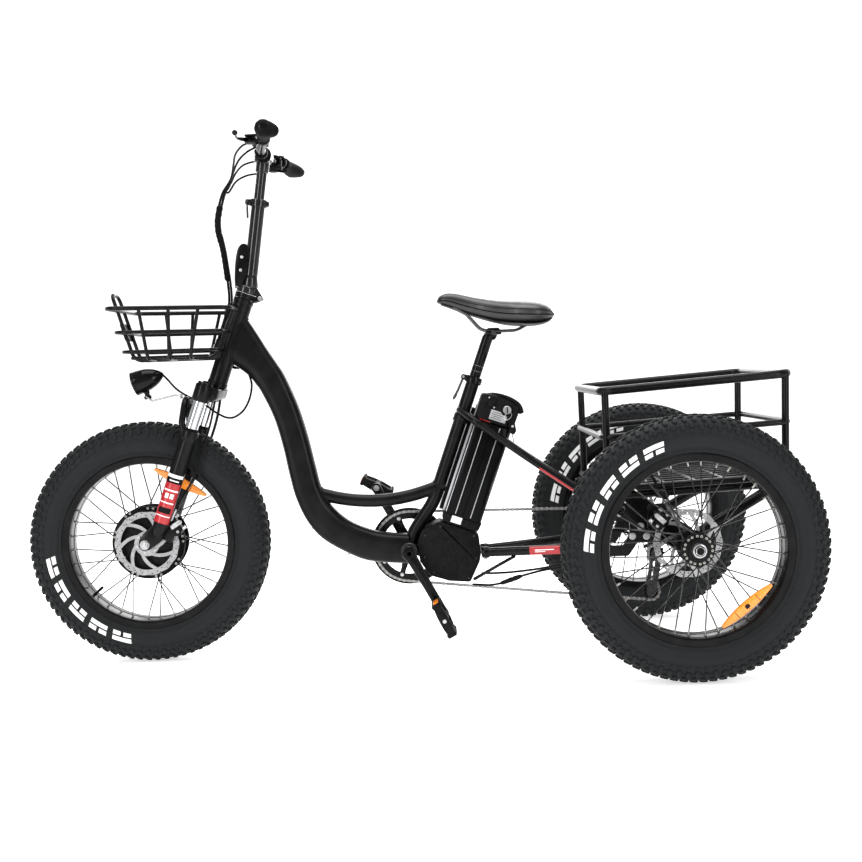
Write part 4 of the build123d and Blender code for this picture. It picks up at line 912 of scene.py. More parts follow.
top_e = [(-396, 866), (-378, 839), (-354, 800), (-336, 770), (-314, 736), (-295, 704), (-265, 631), (-243, 555),
         (-226, 479), (-213, 425), (-189, 378), (-144, 337), (-88, 313), (-45, 305), (2, 301)]
bot_e = [(-442, 754), (-422, 736), (-400, 720), (-382, 704), (-367, 684), (-354, 664), (-325, 600), (-305, 527),
         (-291, 456), (-276, 396), (-249, 337), (-206, 289), (-122, 243), (-64, 231), (2, 226)]
wid = [44, 45, 47, 50, 53, 56, 59, 60, 60, 60, 60, 60, 60, 60, 60]
T, B = catmull(top_e, 6), catmull(bot_e, 6)
Wd = catmull([(w,) for w in wid], 6)
rings = []
nr = 44
for t, b, w in zip(T, B, Wd):
    c, h = (t + b) / 2, (t - b) / 2
    ring = []
    for k in range(nr):
        a = 2 * pi * k / nr
        e = 2.0 / 2.9
        ca, sa = cos(a), sin(a)
        ch = math.copysign(abs(ca) ** e, ca)
        sh = math.copysign(abs(sa) ** e, sa)
        # a soft shoulder line along each flank
        sh *= 1.0 - 0.035 * math.exp(-((ca - 0.1) / 0.28) ** 2)
        p = c + h * ch
        ring.append((w[0] / 2 * sh, p[0], p[1]))
    rings.append(ring)
g = Geo()
g.loft(rings, 0)
ht_o, ht_d = ax(0), tuple(arr(ax(1)) - arr(ax(0)))
lines = [[r[k] for r in rings] for k in range(nr)]
seam(g, exits(lines, lambda p: dist_line(p, ht_o, ht_d) - 23.6), 2.6)
main_lines = lines


def main_out(p):
    """Signed distance outside the main tube's side outline (in the middle plane)."""
    q = arr((p[1], p[2]))
    best, bi = 1e9, 0
    for i, (t, b) in enumerate(zip(T, B)):
        c = (t + b) / 2
        d = np.linalg.norm(q - c)
        if d < best:
            best, bi = d, i
    t, b = T[bi], B[bi]
    c, h = (t + b) / 2, (t - b) / 2
    a = np.dot(q - c, unit(h)) / np.linalg.norm(h)
    s = p[0] / (Wd[bi][0] / 2)
    return (abs(a) ** 2.9 + abs(s) ** 2.9) ** (1 / 2.9) - 1.0


# rivet nuts under the tube
for y, z, ny, nz in ((-238, 322, -0.7, -0.7), (-150, 253, -0.35, -0.94), (-60, 230, -0.1, -0.99)):
    g.bolt((0, y, z), (0, ny, nz), 4.0, 3.0, 1, "dome", 1)
g.build("main_tube_body", "frame", [M["paint"], M["zinc"]], "main_tube", "frame_paint", angle=50)

# head tube with its cups
g = Geo()
g.lathe([(-8, 14.5), (-8, 23.4), (-7.2, 25.2), (-5.8, 25.5), (-4.6, 25.2), (-4.4, 24.4), (-4.1, 24.4), (-3.9, 25.3),
         (2.8, 25.4), (3.8, 24.9), (4.6, 23.9), (60, 23.5), (150, 23.5), (207.4, 23.9), (208.2, 24.9), (209, 25.4),
         (215.6, 25.3), (215.8, 24.4), (216.3, 24.4), (216.6, 25.3), (219, 25.2), (219.8, 23.4), (219.8, 14.5)],
        ax(0), ht_d, 56, 0, closed=True)
g.build("head_tube_shell", "frame", [M["paint"]], "head_tube", "frame_paint", angle=35)

# step-through brace and seat tube
step = fillet([(0, -236, 412.5), (0, -76, 366), (0, 96, 422.5)], [420], 14)
seat = fillet([st(101), (0, 67.5, 380.5), (0, 18, 308), (0, 3, 268)], [150, 80], 10, step=18)
g = Geo()
g.tube(step, 16.0, 28, 0)
seam(g, exits([list(reversed(l)) for l in [ln[:10] for ln in tube_lines(step, 16.0, 20)]][::1], lambda p: -1), 2)
sl = tube_lines(fillet([(0, -262, 420), (0, -76, 366), (0, 110, 427.6)], [420], 14, step=4), 16.0, 20)
seam(g, exits(sl, main_out), 2.1)
seam(g, exits([list(reversed(l)) for l in sl], lambda p: min(dist_line(p, st(0), (0, SU[0], SU[1])), 60) - 16.5), 2.1)
g.build("step_tube_shell", "frame", [M["paint"]], "step_tube", "frame_paint", angle=45)
g = Geo()
ring_out = seat
g.tube([arr(p) for p in seat], 16.5, 32, 0)
g.lathe([(-13, 16.0), (-13, 18.8), (-12, 19.5), (3, 19.5), (4.5, 18.6), (4.5, 16.0)], st(0), (0, SU[0], SU[1]), 40, 0)
rows = tube_lines(list(reversed(seat)), 16.5, 20)
seam(g, exits(rows, lambda p: math.hypot(p[1] - BB[0], p[2] - BB[1]) - 22.0), 2.2)
seam(g, [arr(ax_p) for ax_p in [tuple(arr(st(-13.5)) + 18.6 * (cos(2 * pi * k / 24) * arr((1, 0, 0)) + sin(2 * pi * k / 24)
     * arr((0, SV[0], SV[1])))) for k in range(24)]], 1.8)
g.build("seat_tube_shell", "frame", [M["paint"]], "seat_tube", "frame_paint", angle=45)
g = Geo()
g.lathe([(-36.5, 10.1), (-36.5, 20.6), (-35.7, 22), (-34, 22.3), (34, 22.3), (35.7, 22), (36.5, 20.6), (36.5, 10.1)],
        (0, BB[0], BB[1]), (1, 0, 0), 56, 0, closed=True)
g.lathe([(36.4, 10.2), (36.4, 19.5), (37.4, 20.3), (38.2, 19.5), (38.2, 10.2)], (0, BB[0], BB[1]), (1, 0, 0), 40, 1, closed=True)
g.lathe([(-36.4, 10.2), (-36.4, 19.5), (-37.4, 20.3), (-38.2, 19.5), (-38.2, 10.2)], (0, BB[0], BB[1]), (1, 0, 0), 40, 1, closed=True)
g.build("bb_shell_tube", "frame", [M["paint"], M["dark"]], "bb_shell", "frame_paint", angle=40)

# stays
g = Geo()
for s in (1, -1):
    path = fillet([(s * 30, 186.0, 252.0), (s * 60, 300.0, 258.0), (s * 112, 475.0, 268.0)], [300], 12, step=20)
    g.tube(path, 11.5, 24, 0)
    p0, d0 = path[0], unit(path[1] - path[0])
    g.lathe([(-1, 11), (-1, 13.6), (0, 14.2), (14, 14.2), (15.5, 13), (15.5, 11)], p0, d0, 28, 0)
    g.bolt(p0 + d0 * 7 + arr((0, 0, -14.0)), (0, 0, -1), 4.2, 4.5, 2, "cap")
    # brace between the cover and the stay
    if s > 0:
        g.tube([(s * 34, 164, 187), (s * 50, 236, 229), (s * 52, 262, 243)], 4.2, 14, 0, "round")
# the red tag on the left stay
path = fillet([(30, 186.0, 252.0), (60, 300.0, 258.0), (112, 475.0, 268.0)], [300], 12, step=20)


def shell_patch(g, path, r, l0, l1, a0, a1, mat=0, n=10, m=16, th=0.5, refx=(1, 0, 0)):
    """A thin sheet wrapped on a round tube between two lengths and two angles from +X."""
    P = [arr(p) for p in path]
    L = [0.0]
    for a, b in zip(P, P[1:]):
        L.append(L[-1] + np.linalg.norm(b - a))
    rows = []
    for i in range(m + 1):
        l = l0 + (l1 - l0) * i / m
        j = max(k for k in range(len(L) - 1) if L[k] <= l + 1e-9) if l < L[-1] else len(L) - 2
        f = (l - L[j]) / (L[j + 1] - L[j])
        c, d = P[j] + (P[j + 1] - P[j]) * f, unit(P[j + 1] - P[j])
        u = arr(refx)
        u = unit(u - d * np.dot(u, d))
        w = np.cross(d, u)
        ring = []
        for rr in (r + th, r - 0.4):
            an = [a0 + (a1 - a0) * k / n for k in range(n + 1)]
            if rr < r:
                an = list(reversed(an))
            ring += [c + rr * (cos(a) * u + sin(a) * w) for a in an]
        rows.append(ring)
    g.loft(rows, mat)


shell_patch(g, path, 11.6, 120, 196, rad(-62), rad(62), 1)
shell_patch(g, path, 11.9, 134, 182, rad(-16), rad(-4), 3, th=0.4)
shell_patch(g, path, 11.9, 134, 160, rad(6), rad(16), 3, th=0.4)
g.build("chain_stay_tubes", "frame", [M["paint2"], M["red"], M["zinc"], M["white"]], "chain_stays", "rear_frame_paint", angle=40)
g = Geo()
for s in (1, -1):
    path = fillet([(s * 8, 139, 607), (s * 60, 170, 584), (s * 62, 300, 489), (s * 112, 452, 385)], [50, 200], 10, step=16)
    g.tube(path, 9.5, 22, 0, "round")
    shell_patch(g, path, 9.55, 262, 374, rad(25 if s > 0 else 115), rad(75 if s > 0 else 155), 1)
g.build("seat_stay_tubes", "frame", [M["paint2"], M["red"]], "seat_stays", "rear_frame_paint", angle=40)

# controller box and its rail
g = Geo()
cover = roundpoly([(24, 282), (36, 312), (80, 334.0), (176, 299.5), (181, 252), (177, 231), (153, 181), (101, 185),
                   (53, 200), (29, 236)], [8, 8, 7, 9, 6, 6, 8, 8, 8, 10], 5)
g.prism(cover, -42, 46, 0, 3.0)
face = inset(cover, 6.5)
g.prism(face, 45.0, 47.0, 0, 0.8)
for y, z in ((82, 322), (164, 296), (168, 240), (148, 192), (62, 206), (40, 246), (44, 300)):
    g.lathe([(0, 4.6), (1.0, 4.4), (1.2, 3.2), (0.4, 3.0), (0.4, 0)], (46.6, y, z), (1, 0, 0), 18, 0)
    g.bolt((46.2, y, z), (1, 0, 0), 2.6, 1.4, 1, "dome", 2)
for k in range(5):
    y0 = 88 + k * 14
    g.box((47.0, y0, 246 - k * 1.0), (2.0, 4.0, 44), 0.9, 0, axes=((1, 0, 0), (0, 0.98, 0.17), (0, -0.17, 0.98)))
g.build("controller_cover_shell", "frame", [M["plastic"], M["dark"], M["rubber"]], "controller_cover", "plastic", angle=30)
g = Geo()
rail = [(-17, 17.4), (17, 17.4), (17, 21), (14.5, 23), (14.5, 26), (17, 29), (-17, 29), (-14.5, 26), (-14.5, 23), (-17, 21)]
g.prism(rail, -236, 30, 0, 0.6, to=lambda u, x, v: st(u, v, x))
for s in (1, -1):
    g.prism([(s * 17.0, 26.5), (s * 19.5, 26.5), (s * 19.5, 31.5), (s * 17.0, 31.5)], -236, 40, 1, 0.5, to=lambda u, x, v: st(u, v, x))
g.build("battery_rail", "frame", [M["battery"], M["alu"]], (), "battery")

# battery: an extruded case between two moulded caps
g = Geo()
half = [(0, 31.5), (28, 31.5), (36, 33.5), (40.5, 38.5), (41.6, 46), (41.6, 56), (39.0, 57.2), (39.0, 60.4), (41.8, 61.6),
        (41.8, 76), (40.2, 77), (40.2, 79), (41.8, 80), (41.8, 95), (39.0, 96.2), (39.0, 99.4), (41.6, 100.6),
        (41.2, 113), (38, 121), (30, 126), (18, 127.6), (0, 127.8)]
sec = half + [(-x, v) for x, v in reversed(half[1:-1])]
g.prism(sec, -238, 6, 0, 0.6, to=lambda u, x, v: st(u, v, x))
cap = lambda u, x, v: st(u, v, x)
top = roundpoly([(2, 29.5), (2, 129), (48, 130), (66, 124), (74, 100), (76, 62), (72, 29.5)], [2, 3, 14, 12, 12, 10, 9], 6)
g.prism(top, -42, 42, 1, 7.0, to=lambda x, u, v: st(u, v, x))
bot = roundpoly([(-261, 33), (-261, 126), (-236, 129), (-236, 29.5)], [8, 9, 3, 3], 5)
g.prism(bot, -42, 42, 1, 4.0, to=lambda x, u, v: st(u, v, x))
lip = catmull([(70, 38), (80, 56), (84, 84), (82, 108), (75, 128), (60, 141), (54, 140), (50, 131), (62, 122), (70, 112),
               (72, 84), (68, 58)], 4, closed=True)
g.prism([tuple(p) for p in lip], -30, 30, 1, 3.0, to=lambda x, u, v: st(u, v, x))
# port cover with two screws, lock surround, name plate and sticker
g.box(st(56, 58, 42.6), (3.0, 27, 25), 3.0, 2, axes=((1, 0, 0), (0, SU[0], SU[1]), (0, SV[0], SV[1])))
g.box(st(56, 58, 44.0), (1.6, 18, 15), 2.0, 1, axes=((1, 0, 0), (0, SU[0], SU[1]), (0, SV[0], SV[1])))
for du, dv in ((10, -9.5), (-10, 9.5)):
    g.bolt(st(56 + du, 58 + dv, 43.8), (1, 0, 0), 2.0, 1.0, 3, "dome", 2)
g.lathe([(0, 16.5), (1.4, 16.0), (2.2, 14.5), (2.2, 10.8), (-1, 10.6), (-1, 16.5)], st(50, 100, 41.6), (1, 0, 0), 40, 2, closed=True)
g.box(st(28, 84, 42.2), (0.7, 24, 42), 1.0, 4, axes=((1, 0, 0), (0, SU[0], SU[1]), (0, SV[0], SV[1])))
for k in range(4):
    g.box(st(20.5 + 5 * k, 80, 42.6), (0.5, 1.4, 26 - 5 * (k % 2)), 0.2, 2, axes=((1, 0, 0), (0, SU[0], SU[1]), (0, SV[0], SV[1])), k=1)
g.box(st(-248, 66, 42.0), (0.7, 17, 26), 1.0, 5, axes=((1, 0, 0), (0, SU[0], SU[1]), (0, SV[0], SV[1])))
for k in range(5):        # charge lamps
    g.lathe([(0, 1.9), (0.8, 1.5), (1.0, 0)], st(8.5, 44 + 6 * k, 42.0), (1, 0, 0), 12, 6)
for v in (58.8, 97.8):    # bright lines in the side channels
    for s in (1, -1):
        g.box(st(-116, v, s * 39.4), (0.8, 236, 1.7), 0.3, 7, axes=((1, 0, 0), (0, SU[0], SU[1]), (0, SV[0], SV[1])), k=1)
g.box(st(-116, 35.0, 39.2), (1.2, 238, 1.8), 0.4, 7, axes=((1, 0, 0), (0, SU[0], SU[1]), (0, SV[0], SV[1])), k=1)
g.build("battery_case", "battery", [M["battery"], M["plastic"], M["rubber"], M["zinc"], M["label"], M["white"], M["tail"], M["alu"]],
        "battery", "battery", angle=32)

# key in its lock, with a ring, a fob and a thin cord tail
kx, ky, kz = st(50, 100, 42)
g = Geo()
g.lathe([(-13, 0), (-13, 5.9), (-0.2, 5.9), (0.2, 10.2), (2.6, 10.3), (3.4, 9.4), (3.4, 3), (2.6, 0)], (kx, ky, kz), (1, 0, 0), 36, 0)
blade = roundpoly([(-6, -1.2), (6, -1.2), (6, 1.2), (-6, 1.2)], 0.8, 2)
bow = roundpoly([(ky - 9, kz - 12), (ky + 9, kz - 12), (ky + 10, kz + 2), (ky + 4, kz + 8), (ky - 4, kz + 8), (ky - 10, kz + 2)], 4, 4)
g.box((kx + 5.5, ky, kz), (6, 2.2, 7), 0.6, 0)
g.box((kx + 12, ky, kz), (9, 2.6, 17), 3.0, 1)
g.build("key_body", "key", [M["zinc"], M["gloss"]], "key", "zinc", angle=35)
g = Geo()
ringp = [(kx + 12 + 3 * sin(a), ky + 1 + 9 * sin(a + 0.5), kz - 15 + 9 * cos(a)) for a in [2 * pi * k / 40 for k in range(40)]]
g.tube(ringp, 0.8, 8, 0, closed=True)
g.prism(roundpoly([(ky + 3, kz - 25), (ky + 17, kz - 27), (ky + 21, kz - 52), (ky + 14, kz - 62), (ky + 4, kz - 55)], 5, 5), kx + 4, kx + 12, 1, 2.5)
g.bolt((kx + 11.6, ky + 12, kz - 40), (1, 0, 0), 3.2, 1.4, 0, "dome", 0)
g.tube(catmull([(kx + 8, ky + 11, kz - 60), (kx + 8, ky + 13, kz - 76), (kx + 7, ky + 12, kz - 92), (kx + 7, ky + 14, kz - 99)], 6), 0.9, 8, 2, "round")
g.build("key_fob", "key", [M["zinc"], M["plastic"], M["cable"]], (), "zinc", angle=35)

# ------------------------------------------------------------------ saddle and seatpost
def prof_at(tab, y):
    for a, b in zip(tab, tab[1:]):
        if a[0] <= y <= b[0]:
            return a[1] + (b[1] - a[1]) * (y - a[0]) / (b[0] - a[0])
    return tab[-1][1] if y > tab[-1][0] else tab[0][1]


topz = [tuple(p) for p in catmull([(88, 880), (92, 889), (102, 896), (121, 899), (150, 894), (185, 886), (220, 880.5), (260, 877),
        (295, 875.5), (325, 873), (348, 868), (364, 859), (373, 847), (377, 838)], 5)]
botz = [tuple(p) for p in catmull([(88, 876), (92, 873), (102, 869), (121, 862), (150, 850), (185, 838), (220, 827), (260, 818),
        (295, 814.5), (325, 814), (348, 817), (364, 823), (373, 831), (377, 836)], 5)]
halfw = [tuple(p) for p in catmull([(88, 5), (92, 13), (102, 20), (121, 23.5), (150, 26), (185, 33), (215, 47), (245, 68), (275, 88),
         (305, 98), (330, 98), (350, 88), (364, 70), (373, 45), (377, 20)], 5)]
g = Geo()
rings = []
ys = [88, 90, 93, 98, 105, 114, 126, 140, 156, 172, 188, 204, 220, 236, 252, 268, 284, 300, 315, 329, 341, 351, 359, 366,
      371, 375, 377]
for y in ys:
    zt, zb, w = prof_at(topz, y), prof_at(botz, y), prof_at(halfw, y)
    ring = []
    nseg = 26
    thick = zt - zb
    dish = 3.0 * math.exp(-((y - 285) / 60.0) ** 2)
    for k in range(nseg):
        a = 2 * pi * k / nseg
        cx, cz = sin(a), cos(a)
        if cz >= 0:
            px = math.copysign(abs(cx) ** 0.82, cx) * w
            pz = zb + thick * 0.45 + (thick * 0.55) * cz ** 0.72 - dish * math.exp(-(px / (w * 0.35 + 1)) ** 2)
        else:
            px = math.copysign(abs(cx) ** 0.55, cx) * w * (1 - 0.10 * (-cz))
            pz = zb + thick * 0.45 * (1 - (-cz) ** 0.62)
        ring.append((px, y, pz))
    rings.append(ring)
g.loft(rings, 0)
sad = g.build("saddle_cushion", "seat", [M["saddle"]], keep=True, angle=180)
ss = sad.modifiers.new("soft", "SUBSURF")
ss.levels = ss.render_levels = 2
tx = bpy.data.textures.new("saddle_soft", "CLOUDS")
tx.noise_scale = 0.035
dm = sad.modifiers.new("hand", "DISPLACE")
dm.texture = tx
dm.strength = 0.0012
dm.mid_level = 0.5
dm.texture_coords = "OBJECT" if False else "LOCAL"
done(sad, "seat", "saddle")
g = Geo()
# piping seam and stitches round the side, and the hard base below
for f, r in ((0.40, 1.5), (0.62, 0.7)):
    P = []
    for s, order in ((1, ys[2:-1]), (-1, list(reversed(ys[2:-1])))):
        for y in order:
            zt, zb, w = prof_at(topz, y), prof_at(botz, y), prof_at(halfw, y)
            cz = (f - 0.45) / 0.55
            sx = (1 - max(0, cz) ** (2 / 0.72)) ** 0.41 if cz > 0 else 0.985
            P.append((s * w * sx, y, zb + (zt - zb) * f))
    P2 = catmull(P, 3, closed=True)
    g.tube(P2, r, 8, 0, closed=True)
base = []
for y in ys[3:-2]:
    zb, w = prof_at(botz, y), prof_at(halfw, y) * 0.9
    base.append([(w * cos(a), y, zb + 2.5 + 4.5 * sin(a)) for a in [2 * pi * k / 20 for k in range(20)]])
g.loft(base, 1)
g.build("saddle_base", "seat", [M["rubber"], M["plastic"]], (), "saddle", angle=40)
g = Geo()
sd = (0, SU[0], SU[1])
g.tube([st(-70), st(206)], 13.6, 36, 0)
for k in range(9):       # height marks
    g.bead(st(20 + 14 * k), sd, 13.65, 0.22, 40, 2, waves=1)
neck = catmull([st(200), st(214, 2), (0, 222, 790), (0, 226, 800)], 6)
g.tube(neck, [13.6, 13.4, 13.2, 13, 12.8, 12.6] + [12.5] * (len(neck) - 6), 28, 0)
g.box((0, 226, 799), (50, 40, 13), 4, 0)
g.box((0, 226, 806), (44, 30, 7), 3, 0)
g.tube([(-30, 226, 797), (30, 226, 797)], 4.0, 18, 1, "bevel")
for s in (1, -1):
    g.bolt((s * 29.5, 226, 797), (s, 0, 0), 6.5, 4.5, 1, "hex")
    rp = fillet([(s * 19, 130, 862), (s * 20, 160, 846), (s * 21, 196, 805), (s * 22, 236, 801), (s * 22, 284, 802), (s * 24, 322, 822)],
                [14, 30, 30, 40, 40], 6)
    g.tube(rp, 3.5, 14, 1, "round")
g.build("seatpost_tube", "seat", [M["gloss"], M["dark"], M["label"]], "seatpost", "plastic", angle=35)

g = Geo()
g.lathe([(86, 13.8), (86, 20.0), (87, 20.8), (97, 20.8), (99.5, 20.3), (103, 19.2), (104.2, 17.0), (104.2, 13.8)], st(0), sd, 44, 0, closed=True)
for s in (1, -1):
    g.prism(roundpoly([yz(st(87.5, -17)), yz(st(102, -17)), yz(st(101, -32)), yz(st(89, -32))], 3, 4), min(s * 6.4, s * 11.2), max(s * 6.4, s * 11.2), 0, 1.0)
g.tube([(-13, *yz(st(95, -27))), (13, *yz(st(95, -27)))], 3.0, 16, 1, "bevel")
g.bolt((-12.6, *yz(st(95, -27))), (-1, 0, 0), 6.0, 5, 1, "hex")
g.build("seat_clamp_ring", "frame", [M["gloss"], M["zinc"]], "seat_clamp", "plastic", angle=35)
SL = yz(st(95, -27))
g = Geo()
lev = catmull([(0, SL[0] + 1, SL[1]), (0, SL[0] - 4, SL[1] - 10), (0, SL[0] - 12, SL[1] - 28), (0, SL[0] - 20, SL[1] - 44),
               (0, SL[0] - 25, SL[1] - 53)], 5)
g.tube(lev, [4.2] * 6 + [4.0] * (len(lev) - 12) + [4.6, 5.0, 5.2, 5.2, 4.8, 4.2], 16, 0, "round", sx=0.75, sy=1.25, up=(0, 0.9, -0.4))
g.lathe([(-6.1, 3.2), (-6.1, 5.4), (-5.2, 6.2), (5.2, 6.2), (6.1, 5.4), (6.1, 3.2)], (0, SL[0], SL[1]), (1, 0, 0), 28, 0, closed=True)
g.build("seat_lever_arm", "seat_lever", [M["dark"]], "seat_lever", "zinc", angle=40)

# ------------------------------------------------------------------ fork
d_ax = (0, AX[0], AX[1])
g = Geo()
g.tube([ax(-22), ax(236)], 14.3, 32, 0)
for s in (1, -1):
    g.lathe([(262.6, 16.1), (262.6, 21.4), (261.6, 22), (224, 22), (221.6, 21), (220.6, 19), (220.2, 18.4), (215.6, 17.6),
             (214.4, 16.2), (214.4, 8), (216, 7.6), (216, 0)], ax(0, 17, s * 76), d_ax, 44, 0)
    g.lathe([(214.5, 0), (214.5, 7.4), (211.5, 7.0), (211, 6.0), (211, 3), (213, 2.8), (213, 0)], ax(0, 17, s * 76), d_ax, 12, 1)
out = roundpoly([(221, -20), (221, 22), (228, 34), (256, 35), (258, -8), (246, -21)], [8, 8, 8, 10, 9, 8], 5)
g.prism(out, -78, 78, 0, 5.0, to=lambda x, t, n: ax(t, n, x))
slot_ = roundpoly([(228, 24), (228, 30), (252, 31), (252, 25)], 2.5, 3)
for s in (1, -1):
    g.prism([(236, -10), (256, -6), (256, 20), (236, 22)], s * 42 - 12, s * 42 + 12, 0, 4.0, to=lambda x, t, n: ax(t, n, x))
g.lathe([(220.6, 14.5), (220.6, 25.6), (222, 26.2), (224, 26.2), (225, 24), (225, 14.5)], ax(0), d_ax, 44, 0, closed=True)
g.build("fork_crown_body", "steering", [M["fork"], M["hub"]], "fork_crown", "fork_paint", angle=35)
g = Geo()
for s in (1, -1):
    g.tube([ax(226.5, 17, s * 76), ax(430, 17, s * 76)], 16.0, 48, 0, "bevel")
g.build("stanchion_tubes", "steering", [M["chrome"]], "stanchions", "chrome", angle=35)

g = Geo()
for s in (1, -1):
    g.lathe([(470, 0), (470, 16.2), (339, 16.2), (338.2, 17), (338, 20.4), (338.8, 21.8), (341, 22.3), (356, 22.3), (359, 21.6),
             (361.5, 20.3), (366, 20.05), (430, 20), (520, 19.7), (572, 19.2), (592, 17.8), (604, 15), (612, 9), (613.5, 0)],
            ax(0, 17, s * 76), d_ax, 44, 0)
    g.lathe([(331.5, 16.3), (331.8, 18.0), (333.5, 19.2), (336, 19.4), (338.2, 19.4), (338.2, 16.3)], ax(0, 17, s * 76), d_ax, 40, 1, closed=True)
    x0, x1 = (67.5, 80.5) if s > 0 else (-80.5, -67.5)
    dp = roundpoly([yz(ax(583, 4)), yz(ax(583, 32)), yz(ax(612, 50)), yz(ax(632, 56)), yz(ax(650, 52)), yz(ax(656, 39)), yz(ax(648, 24)),
                    yz(ax(618, 3))], [4, 6, 10, 10, 10, 10, 10, 8], 5)
    g.prism(dp, x0, x1, 0, 2.2)
    g.bolt(ax(560, 17 + 19.5, s * 76), (0, NX[0], NX[1]), 3.6, 2.4, 2, "dome", 1)
P1 = fillet([ax(356, 26, 79), ax(326, 44, 74), ax(270, 57, 50), ax(270, 57, -50), ax(326, 44, -74), ax(356, 26, -79)], [30, 34, 34, 30], 10)
g.tube(P1, 8.2, 20, 0, "round", sx=1.0, sy=0.8)
P2 = fillet([ax(372, 8, 79), ax(336, 22, 73), ax(288, 44, 56), ax(272, 54, 30), ax(272, 54, -30), ax(288, 44, -56), ax(336, 22, -73),
             ax(372, 8, -79)], [30, 40, 20, 20, 40, 30], 8)
g.tube(P2, 5.6, 18, 0, "round")
for s in (1, -1):         # pads where the arch meets the legs
    g.lathe([(-15, 5), (-14, 11.5), (-6, 12.5), (8, 11), (14, 6), (14.5, 0)], ax(362, 24, s * 79), d_ax, 24, 0)
g.bolt(ax(270, 64.5, 0), (0, NX[0], NX[1]), 5.0, 4.0, 2, "hex")
# brake mount web on the left leg
g.prism(roundpoly([(FW[0] + 30, 318), (FW[0] + 64, 300), (FW[0] + 74, 330), (FW[0] + 66, 372), (FW[0] + 50, 372), (FW[0] + 44, 340)], 5, 4), 61, 68.5, 0, 1.5)
g.build("fork_lower_legs", "lowers", [M["fork"], M["rubber"], M["zinc"]], "fork_lowers", "fork_paint", angle=35)
# decals on the lower legs
g = Geo()
for s in (1, -1):
    legp = [ax(338, 17, s * 76), ax(480, 17, s * 76), ax(612, 17, s * 76)]
    b0 = 0 if s > 0 else pi

    def patch(l0, l1, a0, a1, m, th):
        lo_, hi_ = sorted((b0 + s * rad(a0), b0 + s * rad(a1)))
        shell_patch(g, legp, 20.0, l0, l1, lo_, hi_, m, 12, 8, th)
    patch(134, 236, -68, 68, 0, 0.35)
    patch(112, 120, -68, 68, 1, 0.4)
    patch(120, 134, -68, 68, 2, 0.35)
    patch(126, 129, -40, 30, 1, 0.5)
    patch(150, 154, -60, 50, 1, 0.55)
    patch(160, 172, -34, -8, 1, 0.55)
    patch(160, 172, 2, 28, 1, 0.55)
    patch(182, 185, -50, 60, 1, 0.55)
    patch(196, 210, -46, 46, 2, 0.55)
    patch(216, 218.5, -56, 56, 1, 0.55)
g.build("fork_decals", "lowers", [M["red"], M["white"], M["plastic"]], (), "fork_paint", angle=35)

# front axle with nuts and washers, and the caliper
g = Geo()
g.tube([(-92, *FW), (92, *FW)], 6.0, 24, 0, "bevel")
for s in (1, -1):
    g.lathe([(s * 80.3, 6.2), (s * 80.3, 11.5), (s * 82, 11.8), (s * 82.3, 6.2)], (0, *FW), (1, 0, 0), 36, 0, closed=True)
    g.lathe([(s * 82.2, 6.1), (s * 82.2, 9.6), (s * 83, 10.4), (s * 88.5, 10.4), (s * 89.6, 9.4), (s * 89.6, 6.1)], (0, *FW), (1, 0, 0), 6, 0, closed=True)
    a, b = (53.6, 67.6) if s > 0 else (-67.6, -52.2)
    g.lathe([(a, 6.2), (a, 9.0), (b, 9.0), (b, 6.2)], (0, *FW), (1, 0, 0), 32, 0, closed=True)
g.build("front_axle_bolt", "lowers", [M["zinc"]], "front_axle", "zinc", angle=30)


def caliper(g, c, ang, x, s, mats=(0, 1, 2)):
    """Cable caliper round a disc at x: c is its centre in Y-Z, ang the way out from the wheel, s the outer side."""
    er, et = arr((0, cos(ang), sin(ang))), arr((0, -sin(ang), cos(ang)))
    o = arr((0, c[0], c[1]))
    to = lambda xx, p, q: tuple(o + arr((xx, 0, 0)) + et * p + er * q)
    outl = roundpoly([(-24, -10), (24, -10), (27, 4), (20, 15), (-20, 15), (-27, 4)], [5, 5, 7, 6, 6, 7], 4)
    a, b = sorted((x + s * 2.4, x + s * 15))
    g.prism(outl, a, b, mats[0], 3.0, to=to)
    a, b = sorted((x - s * 2.4, x - s * 10))
    g.prism(outl, a, b, mats[0], 2.4, to=to)
    bridge = roundpoly([(-23, 9.5), (23, 9.5), (20, 16), (-20, 16)], 2.5, 3)
    a, b = sorted((x - s * 9, x + s * 13))
    g.prism(bridge, a, b, mats[0], 2.0, to=to)
    # piston housing, arm, cable stop and pad adjuster
    q0 = o + arr((x + s * 13, 0, 0)) + er * 1.0
    g.lathe([(0, 14.5), (4, 14.5), (6, 13), (7, 11), (7, 0)], q0, (s, 0, 0), 32, mats[0])
    q1 = q0 + arr((s * 6.5, 0, 0))
    g.bolt(q1, (s, 0, 0), 5.2, 3.2, mats[1], "hex")
    armo = roundpoly([(-6, -6), (6, -6), (5, 20), (1, 27), (-5, 22)], 3, 3)
    a, b = sorted((q1[0] - s * 1.8, q1[0] + s * 1.0))
    g.prism(armo, a, b, mats[1], 0.8, to=lambda xx, p, q: tuple(o + arr((xx, 0, 0)) + et * p + er * (q + 1)))
    for p in (-17, 17):
        g.bolt(o + arr((x + s * 14.6, 0, 0)) + et * p + er * 3, (s, 0, 0), 3.6, 3.0, mats[1], "cap")
        g.lathe([(-7, 4.6), (9, 4.6), (9, 0)], o + arr((x + s * 5, 0, 0)) + et * p + er * 15.5, tuple(er), 18, mats[1])


g = Geo()
cal_c = (FW[0] + 68.0, FW[1] + 42.0)
ca_ = math.atan2(42.0, 68.0)
caliper(g, cal_c, ca_, 52.0, 1.0)
g.tube(catmull([(67, cal_c[0] + 8, cal_c[1] + 40), (66, cal_c[0] + 2, cal_c[1] + 28), (66, cal_c[0] - 3, cal_c[1] + 14)], 4), 3.2, 12, 1, "round")
g.build("front_caliper_body", "lowers", [M["hub"], M["zinc"], M["dark"]], "front_caliper", "caliper", angle=35)

